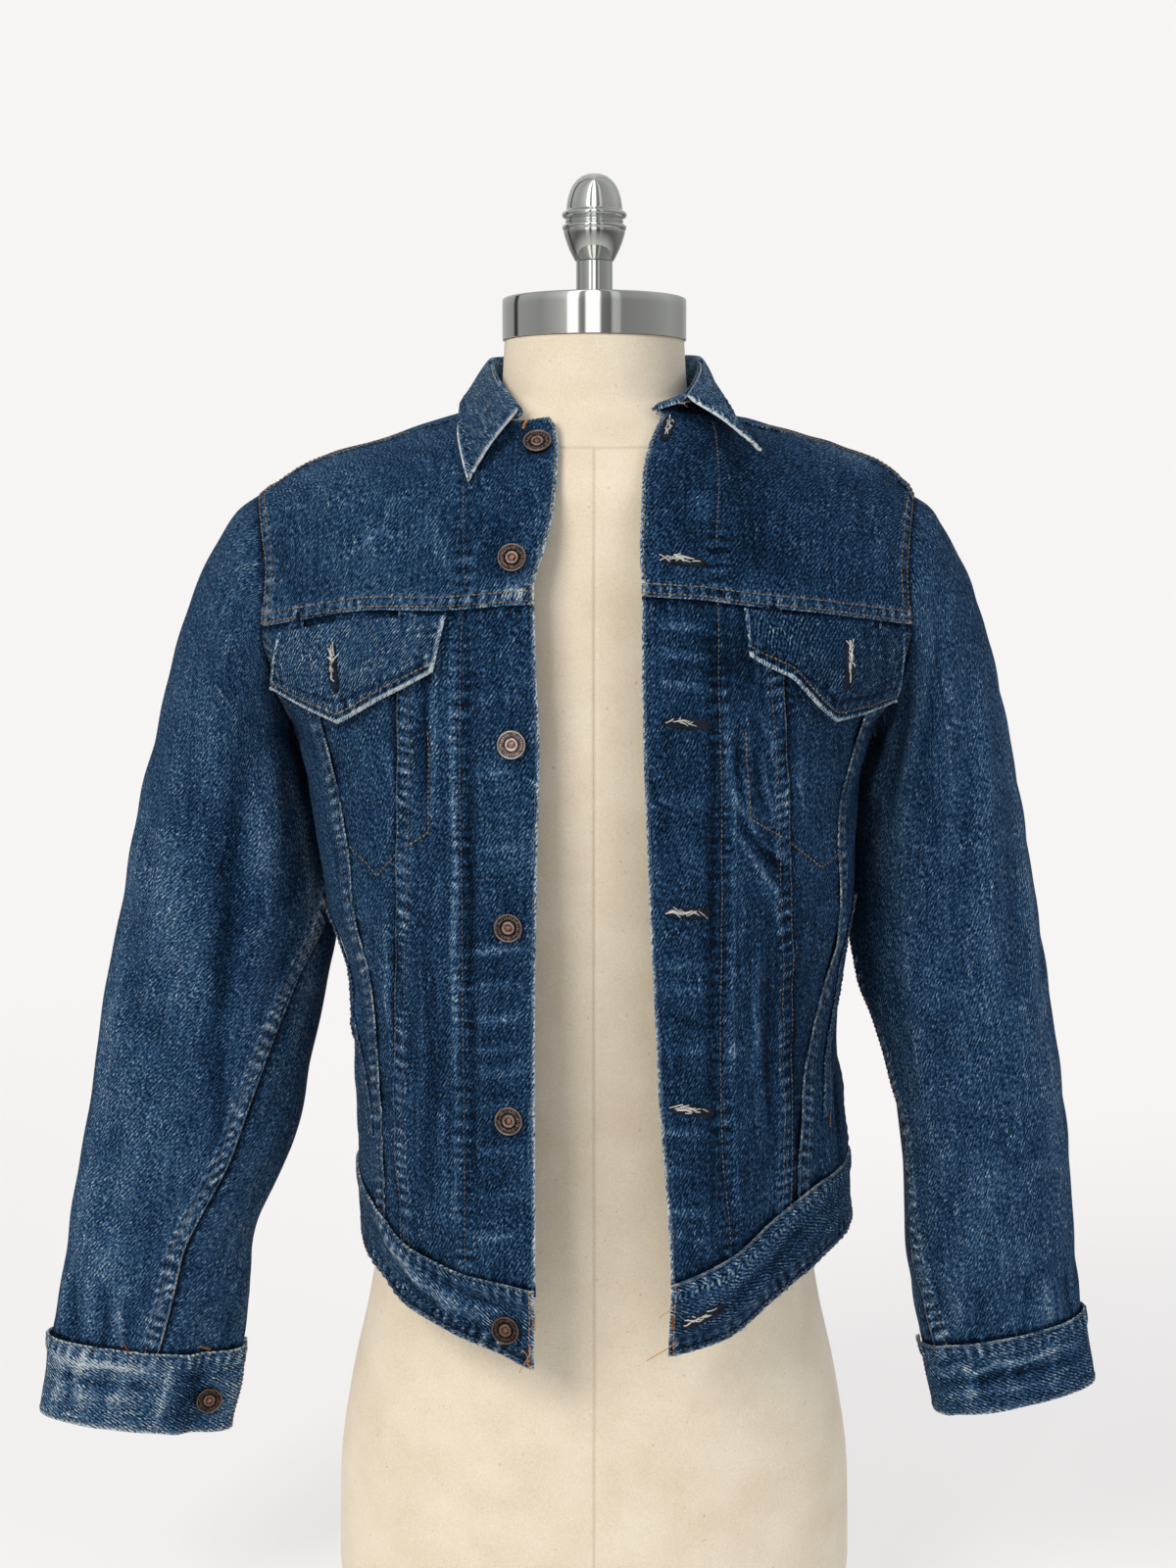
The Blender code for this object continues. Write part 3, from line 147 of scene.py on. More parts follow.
turns = np.linspace(0, 2 * np.pi, 96, endpoint=False)
rim = np.stack([FLOOR_RADIUS * np.cos(turns), FLOOR_RADIUS * np.sin(turns), 0 * turns], axis=-1)
floor_mesh = bpy.data.meshes.new("floor")
floor_mesh.from_pydata(rim.tolist(), [], [list(range(96))])
floor = bpy.data.objects.new("floor", floor_mesh)
bpy.context.scene.collection.objects.link(floor)
material, tree, output = material_tree("pale floor")
place = add(tree, "TexCoord")
far = add(tree, "VectorMath", {0: place.outputs["Object"]}, operation="LENGTH")
fade = add(tree, "MapRange", {0: far.outputs["Value"], 1: FLOOR_SOLID, 2: FLOOR_RADIUS},
           interpolation_type="SMOOTHSTEP")
plain = add(tree, "BsdfDiffuse", {"Color": linear("#F4F2F0")})
glow = add(tree, "Emission", {"Color": linear(SURROUND), "Strength": 1.0})
plain = add(tree, "MixShader", {0: FLOOR_GLOW, 1: plain.outputs[0], 2: glow.outputs[0]})
clear = add(tree, "BsdfTransparent")
mixed = add(tree, "MixShader", {0: fade.outputs[0], 1: plain.outputs[0], 2: clear.outputs[0]})
tree.links.new(mixed.outputs[0], output.inputs[0])
floor_mesh.materials.append(material)

# ---------------------------------------------------------------------------
# Dress form: a papier-mache torso under ivory cotton, with a seam round the
# base of the neck and one down the middle, front and back.  It is limbless and
# stands on its flat underside.

FORM_SIDES = 120
# Rings of the form: height, half width, depth in front and at the back, and the
# power that squares the ring's corners.  All such tables are in millimetres.
FORM_RINGS = np.array([
    (0, 160, 104, 104, 2.2), (50, 167, 110, 112, 2.2), (110, 166, 112, 116, 2.2), (170, 158, 109, 110, 2.2),
    (230, 145, 104, 98, 2.2), (290, 137, 101, 90, 2.2), (350, 135, 102, 89, 2.2), (420, 138, 107, 93, 2.2),
    (500, 146, 115, 101, 2.2), (570, 154, 120, 107, 2.2), (630, 162, 119, 109, 2.2),
    (680, 170, 114, 107, 2.2), (715, 174, 107, 103, 2.2), (738, 173, 103, 101, 2.2),
    (750.5, 166, 97.5, 97.5, 2.15), (767.5, 139, 85, 88.5, 2.1), (781.5, 94, 70, 75.5, 2.1),
    (790, 69.5, 61.5, 67, 2.05), (799, 60, 58, 59.5, 2), (810, 58, 57.5, 58, 2),
    (835.7, 56.5, 56.5, 56.5, 2),
]) / (1000, 1000, 1000, 1000, 1)
NECK_SEAM = (0.7660, 0.7700)
SEAM_GROOVE = 0.0010
SEAM_HALF_WIDTH = 0.0009


def smooth(keys, values, at):
    """Read a table on a curve: cubic pieces whose slope is the harmonic mean of their neighbours'."""
    keys = np.asarray(keys, float)
    values = np.asarray(values, float)
    at = np.clip(np.asarray(at, float), keys[0], keys[-1])
    step = np.diff(keys)
    rise = np.diff(values) / step
    product = rise[:-1] * rise[1:]
    total = np.where(product > 0, rise[:-1] + rise[1:], 1.0)
    inner = np.where(product > 0, 2.0 * product / total, 0.0)
    slope = np.concatenate([rise[:1], inner, rise[-1:]])
    row = np.clip(np.searchsorted(keys, at, side="right") - 1, 0, len(step) - 1)
    share = (at - keys[row]) / step[row]
    before = (1 + 2 * share) * (1 - share) ** 2 * values[row]
    before += share * (1 - share) ** 2 * step[row] * slope[row]
    after = share ** 2 * (3 - 2 * share) * values[row + 1]
    return before + after - share ** 2 * (1 - share) * step[row] * slope[row + 1]


def read(table, at):
    """Every further column of a table, each on a curve, where its first column is at."""
    return [smooth(table[:, 0], column, at) for column in table.T[1:]]


def unit(vectors):
    """Vectors divided by their length."""
    return vectors / np.maximum(np.linalg.norm(vectors, axis=-1, keepdims=True), 1e-9)


def bell(distance, width):
    """Bell curve: 1 at no distance, about a third at one width."""
    return np.exp(-(distance / width) ** 2)


def rise(value, low, high):
    """Smooth step from 0 at low to 1 at high."""
    share = np.clip((value - low) / (high - low), 0, 1)
    return share * share * (3 - 2 * share)


def quads(rows, columns, around=False):
    """Faces of a grid counted row by row; around joins its last column to the first."""
    index = np.arange(rows * columns).reshape(rows, columns)
    if around:
        index = np.concatenate([index, index[:, :1]], axis=1)
    sides = [index[:-1, :-1], index[:-1, 1:], index[1:, 1:], index[1:, :-1]]
    return np.stack([side.ravel() for side in sides], axis=-1)


def new_piece(name, points, faces, *materials):
    """Smooth mesh piece that rides on the part's one body."""
    mesh = bpy.data.meshes.new(name)
    mesh.from_pydata(np.asarray(points).tolist(), [], [list(face) for face in faces])
    mesh.shade_smooth()
    piece = bpy.data.objects.new(name, mesh)
    bpy.context.scene.collection.objects.link(piece)
    for finish in materials:
        mesh.materials.append(finish)
    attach(piece, "root")
    return piece


def tube_faces(count, sides, base=0):
    """Faces of a tube of rings, then of the fans to the two points that close it."""
    step = np.arange(sides)
    following = (step + 1) % sides
    last = (count - 1) * sides
    low = np.stack([following, step, 0 * step + count * sides], axis=-1)
    high = np.stack([last + step, last + following, 0 * step + count * sides + 1], axis=-1)
    return [face for part in (quads(count, sides, around=True), low, high)
            for face in (part + base).tolist()]


def closed_tube(name, rows, finish):
    """Rings of points from the foot up, closed by a point in the middle of each end."""
    ends = np.stack([rows[0].mean(axis=0), rows[-1].mean(axis=0)])
    points = np.concatenate([rows.reshape(-1, 3), ends])
    return new_piece(name, points, tube_faces(*rows.shape[:2]), finish)


def mark(piece, name, values):
    """Store one value for each point of a piece, for its material to read."""
    layer = piece.data.attributes.new(name, "FLOAT", "POINT")
    layer.data.foreach_set("value", np.asarray(values, np.float32))


def cotton_cloth():
    """Ivory cotton canvas: plain weave at 0.9 mm, here 1.3 mm so that it shows, with seed flecks."""
    material, tree, output = material_tree("ivory cotton canvas")
    place = add(tree, "TexCoord")
    mm = add(tree, "VectorMath", {0: place.outputs["Object"], "Scale": 1000.0}, operation="SCALE")
    cloud = add(tree, "TexNoise", {"Vector": mm.outputs[0], "Scale": 0.03, "Detail": 4.0})
    grain = add(tree, "TexNoise", {"Vector": mm.outputs[0], "Scale": 0.8, "Detail": 2.0})
    fleck = add(tree, "TexNoise", {"Vector": mm.outputs[0], "Scale": 0.35, "Detail": 1.0})
    speck = add(tree, "MapRange", {0: fleck.outputs[0], 1: 0.74, 2: 0.78, 3: 0.0, 4: 0.35})
    total = add(tree, "Math", {0: cloud.outputs[0], 1: grain.outputs[0]}, operation="ADD")
    tone = add(tree, "MapRange", {0: total.outputs[0], 1: 0.7, 2: 1.3})
    shade = add(tree, "Mix", {0: tone.outputs[0], 6: linear("#DCCDB4"), 7: linear("#EBE0CB")},
                data_type="RGBA")
    spotted = add(tree, "Mix", {0: speck.outputs[0], 6: shade.outputs[2], 7: linear("#9A8468")},
                  data_type="RGBA")
    seam = add(tree, "Attribute", attribute_name="seam")
    sunk = add(tree, "MapRange", {0: seam.outputs["Fac"], 1: 0.1, 2: 1.0, 3: 0.0, 4: 0.24})
    spotted = add(tree, "Mix", {0: sunk.outputs[0], 6: spotted.outputs[2], 7: linear("#8E7C5F")},
                  data_type="RGBA")
    warp = add(tree, "TexWave", {"Vector": mm.outputs[0], "Scale": 0.24}, bands_direction="Z")
    weave = add(tree, "Math", {0: warp.outputs[0], 1: grain.outputs[0]}, operation="MULTIPLY")
    bump = add(tree, "Bump", {"Height": weave.outputs[0], "Strength": 0.25, "Distance": 0.0003})
    shader = add(tree, "BsdfPrincipled", {
        "Base Color": spotted.outputs[2], "Roughness": 0.92, "Sheen Weight": 0.15,
        "Specular IOR Level": 0.25, "Normal": bump.outputs[0]})
    tree.links.new(shader.outputs[0], output.inputs[0])
    return material


def oval(turn, height, right, left, front, back, power):
    """Superellipse at a height: half widths to both sides, and half depths front and back.

    Turn 0 is its front, 90 its right side and 180 its back, in degrees.
    """
    across = np.sin(np.radians(turn))
    along = -np.cos(np.radians(turn))
    x = -np.where(across > 0, right, left) * np.sign(across) * np.abs(across) ** (2 / power)
    y = np.where(along < 0, front, back) * np.sign(along) * np.abs(along) ** (2 / power)
    return np.stack(np.broadcast_arrays(x, y, height), axis=-1)


cotton = cotton_cloth()
close = np.array([0.15, 0.3, 0.5, 0.8, 1.2, 1.8])
turns = np.concatenate([
    np.linspace(0, 360, FORM_SIDES, endpoint=False), close, 180 - close, 180 + close, 360 - close])
turns = np.sort(turns)[None, :]
heights = np.concatenate([
    [0.0, 0.0012], np.linspace(0.02, 0.70, 46), np.linspace(0.71, 0.762, 24),
    np.linspace(0.763, 0.773, 15), np.linspace(0.775, 0.8357, 26)])[:, None]
width, *depths, power = read(FORM_RINGS, heights)
rows = oval(turns, heights, width, width, *depths, power)
seam_height = NECK_SEAM[0] + (NECK_SEAM[1] - NECK_SEAM[0]) * (1 - np.cos(np.radians(turns))) / 2
middle = np.minimum(np.abs(rows[..., 0]) / SEAM_HALF_WIDTH, 9)
groove = bell(heights - seam_height, SEAM_HALF_WIDTH)
groove += bell(middle, 1.0) * (heights < seam_height)
outward = unit(rows * np.array([1.0, 1.0, 0.0]))
rows = rows - SEAM_GROOVE * np.minimum(groove, 1)[..., None] * outward
foot = rows[:1] * np.array([0.985, 0.985, 0.0])
torso = closed_tube("form_torso_cotton", np.concatenate([foot, rows]), cotton)
shade = np.concatenate([0 * groove[:1], groove]).ravel()
mark(torso, "seam", np.concatenate([shade, [0.0, 0.0]]))
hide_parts("form_torso")

# ---------------------------------------------------------------------------
# Neck cap, pole and finial: steel, turned and chrome plated.  A flat band caps
# the neck, and the finial is screwed to a short pole that stands in it.

METAL_SIDES = 96
# Radius and height from the foot up, in millimetres
CAP_PROFILE = (
    (56.5, 835.9), (57.8, 836.2), (57.8, 840), (57.8, 856), (57.8, 860.6), (57.4, 861.6), (56.6, 862),
    (30, 862),
)
POLE_PROFILE = (
    (11.4, 862.3), (11.4, 865), (11.4, 882), (11.4, 885),
)
FINIAL_PROFILE = (
    (11.8, 885.3), (12.4, 886), (14, 889), (15.7, 892.5), (17.3, 896.5), (18.6, 900.5), (19.3, 903.2),
    (19.2, 903.9), (19.7, 904.6), (20.1, 905.7), (19.9, 906.9), (18.9, 907.7), (17.8, 908.1), (17.7, 908.7),
    (18.2, 909.3), (18.1, 910.1), (17.6, 910.7), (17.8, 911.3), (19.2, 911.9), (20.1, 912.9), (20.3, 914),
    (19.7, 915.2), (18.3, 916), (17.6, 916.6), (17.5, 918), (17.2, 921), (16.5, 924.5), (15.3, 928.5),
    (13.5, 932.2), (11, 935.2), (8, 937.5), (4.3, 938.9), (1.6, 939.3),
)


def finer_profile(profile, finer):
    """Radius and height down a profile, as columns, with points added between its own."""
    at = np.arange(len(profile))
    fine = np.linspace(0, at[-1], finer * at[-1] + 1)
    return (np.interp(fine, at, values)[:, None] for values in np.transpose(profile))


def turned_rows(profile, finer):
    """Turn a profile of radius and height about Z."""
    radius, height = finer_profile(np.array(profile) / 1000, finer)
    turn = np.linspace(0, 2 * np.pi, METAL_SIDES, endpoint=False)[None, :]
    return np.stack(np.broadcast_arrays(radius * np.cos(turn), radius * np.sin(turn), height), -1)


def chrome_plate():
    """Decorative chrome on steel, polished: a mirror with faint wiping marks."""
    material, tree, output = material_tree("polished chrome plate")
    place = add(tree, "TexCoord")
    marks = add(tree, "TexNoise", {"Vector": place.outputs["Object"], "Scale": 60.0, "Detail": 3.0})
    rough = add(tree, "MapRange", {0: marks.outputs[0], 3: 0.05, 4: 0.11})
    shader = add(tree, "BsdfPrincipled", {
        "Base Color": linear("#C9CBC6"), "Metallic": 1.0, "Roughness": rough.outputs[0]})
    tree.links.new(shader.outputs[0], output.inputs[0])
    return material


chrome = chrome_plate()
for name, profile, finer in (
        ("neck_cap", CAP_PROFILE, 1), ("pole", POLE_PROFILE, 1), ("finial", FINIAL_PROFILE, 2)):
    piece = closed_tube(name + "_chrome", turned_rows(profile, finer), chrome)
    piece.data.set_sharp_from_angle(angle=math.radians(50))
    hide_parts(name)

# ---------------------------------------------------------------------------
# Cloth: 14 oz indigo denim, a three-over-one twill, pre-shrunk and washed many
# times.  The dark warp lies on the face, and the pale weft shows where it wears:
# on turned edges, on the crests of puckered seams and on the inside.

# Thickness of one layer and of two sewn ones, and the share of the face's wear and painted shade that the
# inside shows
CLOTH = 0.0013
DOUBLED = 0.0021
BACK_WEAR_AND_SHADE = 0.3
TWILL_PITCH = 1.9
TWILL_STEEP = (0.86, -0.51)
# Length of a seam's puckers, and how far they slant
ROPE_PITCH = 0.0074
ROPE_SLANT = 0.2


def denim_cloth(name, codes, lift, twill):
    """Indigo to white ramp, read by twill lines, warp flecks, slubs, wash clouds, and the wear and painted
    shade that each piece stores.

    The pattern follows the cloth's own map in millimetres: twill lines climb to
    the right at 59 degrees, 1.9 mm apart, twice as coarse as on real cloth, so
    that they show, and the flecks lie along them.  Each part swings by its
    weight to both sides of the level; thin pale lines are creases of the wash.
    """
    material, tree, output = material_tree(name)

    def grain(scale, detail, weight, place=None):
        """Noise stretched to a pattern's scale, swinging by its weight to both sides of zero."""
        wide = add(tree, "VectorMath", {0: place or mm, 1: (*scale, 1.0)}, operation="MULTIPLY")
        noise = add(tree, "TexNoise", {
            "Vector": wide.outputs[0], "Scale": 1.0, "Detail": detail, "Roughness": 0.7})
        return add(tree, "MapRange", {
            0: noise.outputs[0], 1: 0.36, 2: 0.64, 3: -weight, 4: weight},
            clamp=False).outputs[0]

    cloth_map = add(tree, "UVMap", uv_map="cloth")
    mm = add(tree, "VectorMath", {0: cloth_map.outputs[0], "Scale": 1000.0}, operation="SCALE").outputs[0]
    worn = add(tree, "Attribute", attribute_name="worn").outputs["Fac"]
    slope = add(tree, "VectorMath", {0: mm, 1: (*TWILL_STEEP, 0.0)}, operation="DOT_PRODUCT").outputs["Value"]
    climb = add(tree, "VectorMath", {
        0: mm, 1: (-TWILL_STEEP[1], TWILL_STEEP[0], 0.0)}, operation="DOT_PRODUCT").outputs["Value"]
    leaning = add(tree, "CombineXYZ", {0: slope, 1: climb}).outputs[0]
    fleck = grain((0.86, 0.40), 2.0, 0.260, place=leaning)
    phase = add(tree, "Math", {
        0: slope, 1: 2 * math.pi / TWILL_PITCH, 2: grain((0.22, 0.16), 2.0, 1.5)}, operation="MULTIPLY_ADD")
    line = add(tree, "Math", {0: phase.outputs[0]}, operation="SINE").outputs[0]
    patchy = add(tree, "Math", {0: grain((0.16, 0.10), 1.0, 0.5), 1: 1.0}, operation="ADD")
    depth = add(tree, "Math", {0: patchy.outputs[0], 1: twill}, operation="MULTIPLY")
    level = add(tree, "Math", {0: line, 1: depth.outputs[0], 2: lift}, operation="MULTIPLY_ADD")
    for part in (fleck, grain((0.34, 0.022), 2.0, 0.055), grain((0.022, 0.016), 4.0, 0.025),
                 grain((0.10, 0.08), 3.0, 0.030)):
        level = add(tree, "Math", {0: level.outputs[0], 1: part}, operation="ADD")
    valley = add(tree, "Math", {0: grain((0.050, 0.030), 3.0, 1.0)}, operation="ABSOLUTE")
    thin = add(tree, "MapRange", {0: valley.outputs[0], 1: 0.0, 2: 0.18, 3: 1.0, 4: -0.35})
    where = add(tree, "MapRange", {0: grain((0.030, 0.030), 2.0, 1.0), 1: -0.3, 2: 0.8})
    creased = add(tree, "Math", {0: thin.outputs[0], 1: where.outputs[0]}, operation="MULTIPLY")
    level = add(tree, "Math", {0: creased.outputs[0], 1: 0.17, 2: level.outputs[0]}, operation="MULTIPLY_ADD")
    # The stored worn value is the cloth's wear together with painted shade: darker beside tucked edges, in
    # dips, along sewn troughs and dark creases, and over whole pieces.
    level = add(tree, "Math", {0: worn, 1: 0.62, 2: level.outputs[0]}, operation="MULTIPLY_ADD")
    ramp = add(tree, "ValToRGB", {0: level.outputs[0]})
    stops = ramp.color_ramp.elements
    while len(stops) < len(codes):
        stops.new(0.5)
    for stop, (position, code) in zip(stops, codes):
        stop.position = position
        stop.color = linear(code)
    flecks = add(tree, "Math", {0: fleck, 1: 5.0}, operation="MULTIPLY")
    thread = add(tree, "Math", {0: line, 1: 0.35, 2: flecks.outputs[0]}, operation="MULTIPLY_ADD")
    bump = add(tree, "Bump", {"Height": thread.outputs[0], "Strength": 0.8, "Distance": 0.0005})
    shader = add(tree, "BsdfPrincipled", {
        "Base Color": ramp.outputs[0], "Roughness": 0.9, "Specular IOR Level": 0.12,
        "Normal": bump.outputs[0]})
    tree.links.new(shader.outputs[0], output.inputs[0])
    return material


FACE_CODES = (
    (0.00, "#020D1B"), (0.22, "#0D263F"), (0.42, "#214264"), (0.60, "#416488"),
    (0.80, "#7D98AE"), (1.00, "#D2DAD9"))
BACK_CODES = (
    (0.00, "#2C3A4C"), (0.25, "#55667B"), (0.45, "#7D8C9C"), (0.65, "#A3AEB8"),
    (0.82, "#BFC6CB"), (1.00, "#DDDFDF"))
denim = denim_cloth("washed indigo denim", FACE_CODES, 0.368, 0.115)
denim_doubled = denim_cloth("washed indigo denim, doubled", FACE_CODES, 0.345, 0.215)
denim_back = denim_cloth("weft side of indigo denim", BACK_CODES, 0.42, 0.080)


def thread_spun(name, code, dark):
    """Spun polyester sewing thread, dull, with a little change of tone along it."""
    material, tree, output = material_tree(name)
    place = add(tree, "TexCoord")
    noise = add(tree, "TexNoise", {"Vector": place.outputs["Object"], "Scale": 150.0, "Detail": 2.0})
    share = add(tree, "MapRange", {0: noise.outputs[0], 1: 0.35, 2: 0.65})
    shade = add(tree, "Mix", {0: share.outputs[0], 6: linear(dark), 7: linear(code)}, data_type="RGBA")
    shader = add(tree, "BsdfPrincipled", {
        "Base Color": shade.outputs[2], "Roughness": 0.75, "Specular IOR Level": 0.3})
    tree.links.new(shader.outputs[0], output.inputs[0])
    return material


thread_tan = thread_spun("tan spun thread", "#A98C62", "#6B5A42")
thread_dull = thread_spun("faded spun thread", "#77706A", "#3C4250")
thread_orange = thread_spun("orange spun thread", "#C9935A", "#A2703F")
thread_white = thread_spun("bare cotton ends", "#E2E0DA", "#AEB0B2")
thread_navy = thread_spun("navy buttonhole twist", "#141C2B", "#070B14")


def lengths(grid):
    """How far along its row each point of a grid lies."""
    step = np.linalg.norm(np.diff(grid, axis=1), axis=2)
    return np.concatenate([np.zeros((len(grid), 1)), np.cumsum(step, axis=1)], axis=1)


def read_along(values, place, at):
    """Rows of values that stand at some places along a line, read at others."""
    return np.stack([np.interp(at, place, column) for column in values.T], axis=-1)


def near(points, line):
    """Distance of points from a line in space, and how far along the line each is nearest."""
    start = line[:-1]
    step = line[1:] - start
    length = np.maximum(np.linalg.norm(step, axis=1), 1e-9)
    begin = lengths(line[None])[0]
    offset = points.reshape(-1, 1, 3) - start
    share = np.clip(np.einsum("ijk,jk->ij", offset, step) / length ** 2, 0, 1)
    gap = np.linalg.norm(offset - share[..., None] * step, axis=2)
    row = gap.argmin(axis=1)
    pick = np.arange(len(row))
    shape = points.shape[:-1]
    return gap[pick, row].reshape(shape), (begin[row] + share[pick, row] * length[row]).reshape(shape)


def uneven(along, seed):
    """Slow wander between about -1 and 1: three sines whose pitches don't agree."""
    return (np.sin(along + seed) + 0.6 * np.sin(2.3 * along + 1.7 * seed)
            + 0.4 * np.sin(4.1 * along + 2.9 * seed)) / 1.6


def crease(points, line, width, height, tone):
    """Ridge or trough along a line: a bell across it, that swells and dies away along it. A positive tone is
    pale wear, a negative one painted shade.
    """
    distance, along = near(points, line)
    share = np.clip(along / lengths(line[None])[0, -1], 0, 1)
    form = bell(distance, width) * np.sin(np.pi * share) ** 0.5
    return np.array([height * form, tone * form])


def rope(along, seed):
    """Uneven waves of a seam that shrank less than its cloth: a sine of wandering pitch and height."""
    wave = np.sin(2 * np.pi * along / ROPE_PITCH + 2.6 * uneven(along * 55, seed))
    return wave * (0.68 + 0.45 * uneven(along * 75, seed + 2))


def over_seam(points, line, seed, strength, width=0.0085):
    """Felled edge, folded and sewn down over its neighbour: a plateau with slanting puckers.

    Its fold is rubbed pale, and painted shade darkens two narrow lines where its rows of thread lie; the mesh
    has no groove there.
    """
    distance, along = near(points, line)
    across = distance * ROPE_SLANT
    inside = rise(distance, 0.0, 0.0007) * (1 - rise(distance, width, width + 0.004))
    window = rise(distance, 0.0006, 0.002) * (1 - rise(distance, width - 0.002, width + 0.002))
    waves = rope(along + across, seed)
    rubbed = bell(distance, 0.0011) * (0.62 + 0.24 * uneven(along * 160, seed))
    rubbed += bell(distance - width, 0.0014) * (0.16 + 0.12 * waves)
    lift = 0.0012 * min(strength, 1.0) * inside + 0.00042 * strength * waves * window
    pale = 0.10 + 0.52 * np.maximum(waves, -0.35)
    # Painted shade along the two rows of thread.
    painted_row_shade = bell(distance - width + 0.0011, 0.0008) * 0.24 + bell(distance - 0.0022, 0.0006) * 0.26
    return np.array([lift, rubbed * strength + (pale - painted_row_shade) * strength * window])


def wide_seam(points, line, seed, strength):
    """Felled edge of the long panel seams, whose two rows lie 8 mm apart."""
    return over_seam(points, line, seed, strength, 0.0105)


def under_seam(points, line, seed, strength):
    """Edge that goes under its neighbour: it dips and puckers a little, and painted shade darkens its tone
    along the neighbour's edge.
    """
    distance, along = near(points, line)
    waves = rope(along, seed) * bell(distance, 0.007) * strength
    # Painted shade: a dark band beside the neighbour's edge, where its shadow falls.
    shade = bell(distance, 0.0020)
    return np.array([0.00035 * waves - 0.0004 * shade,
                     0.22 * waves - (0.55 * shade + 0.10 * bell(distance, 0.006)) * strength ** 0.5])


def free_edge(points, line, seed, strength):
    """Turned or cut edge: rolled down over its last millimetre, rubbed pale, with a frayed tone."""
    distance, along = near(points, line)
    roll = 0.0006 * (1 - np.sqrt(1 - np.clip(1 - distance / 0.0012, 0, 1) ** 2))
    fray = 0.85 + 0.15 * uneven(along * 230, seed) + 0.15 * uneven(along * 1100, seed + 1)
    return np.array([0.0003 * bell(distance, 0.004) - roll,
                     strength * fray * (0.95 * bell(distance, 0.0017) + 0.14 * bell(distance, 0.006))])


def rolled_edge(points, line, seed, strength):
    """Edge of two layers turned in: a pale frayed roll, a dip darkened with painted shade, then puckers up to
    the row.
    """
    distance, along = near(points, line)
    roll = 0.0007 * (1 - np.sqrt(1 - np.clip(1 - distance / 0.0012, 0, 1) ** 2))
    fray = 0.82 + 0.18 * uneven(along * 230, seed) + 0.16 * uneven(along * 1100, seed + 1)
    waves = rope(along + distance * ROPE_SLANT, seed) * bell(distance - 0.0055, 0.0022)
    band = 1 - rise(distance, 0.0019, 0.0031)
    # The dip behind the roll is darkened with painted shade.
    hollow = bell(distance - 0.0039, 0.0008)
    return np.array([0.0008 * band - roll - 0.0002 * hollow + 0.0004 * waves,
                     strength * (0.80 * fray * band - 0.26 * hollow + 0.42 * np.maximum(waves, -0.4))])


EDGE_FINISH = {"over": over_seam, "wide": wide_seam, "under": under_seam, "free": free_edge}


def few(line, count=60):
    """A line thinned to a few of its points, evenly along it."""
    place = lengths(line[None])[0]
    return read_along(line, place, np.linspace(0, place[-1], count))


def edges_of(grid):
    """The four edges of a grid of points by name."""
    return {"bottom": grid[0], "top": grid[-1], "first": grid[:, 0], "last": grid[:, -1]}


def middle_steps(grid):
    """Steps along its row and up its column at the middle of a grid."""
    row, column = grid.shape[0] // 2, grid.shape[1] // 2
    return grid[row, column + 1] - grid[row, column], grid[row + 1, column] - grid[row, column]


def cloth_map(grid, normal, turned):
    """Lay a grid flat: across is the length along its rows, up the length along its columns.

    Across grows to the right of someone who looks at the face with its top up.
    A turned piece is cut with its warp along its length, so its map is swapped.
    """
    rows, columns = grid.shape[:2]
    across = lengths(grid)
    across = across - across[:, columns // 2:columns // 2 + 1]
    up = lengths(np.swapaxes(grid, 0, 1)).T
    up = up - up[rows // 2:rows // 2 + 1]
    step_across, step_up = middle_steps(grid)
    if step_up[2] < 0:
        up, step_up = -up, -step_up
    if np.cross(step_up, normal[rows // 2, columns // 2]) @ step_across < 0:
        across = -across
    return np.stack([up, -across] if turned else [across, up], axis=-1)


# How much lighter or darker than the cloth's mean each piece is drawn: partly its own wash, partly painted
# light and shade, such as the left front's pieces darker where less light reaches them
WASH_AND_SHADE = {
    "sleeve": 0.075, "cuff_right": 0.27, "cuff_left": 0.0, "collar": 0.66, "pocket_flap_right": 0.12,
    "pocket_flap_left": -0.10, "front_center_right": -0.05, "front_center_left": -0.14,
    "front_yoke_right": 0.01, "front_yoke_left": -0.08, "front_mid_left": -0.05,
    "front_side_left": -0.04, "back": 0.03, "front_side_right": 0.01, "waistband": -0.03}
cloth_grids = {}


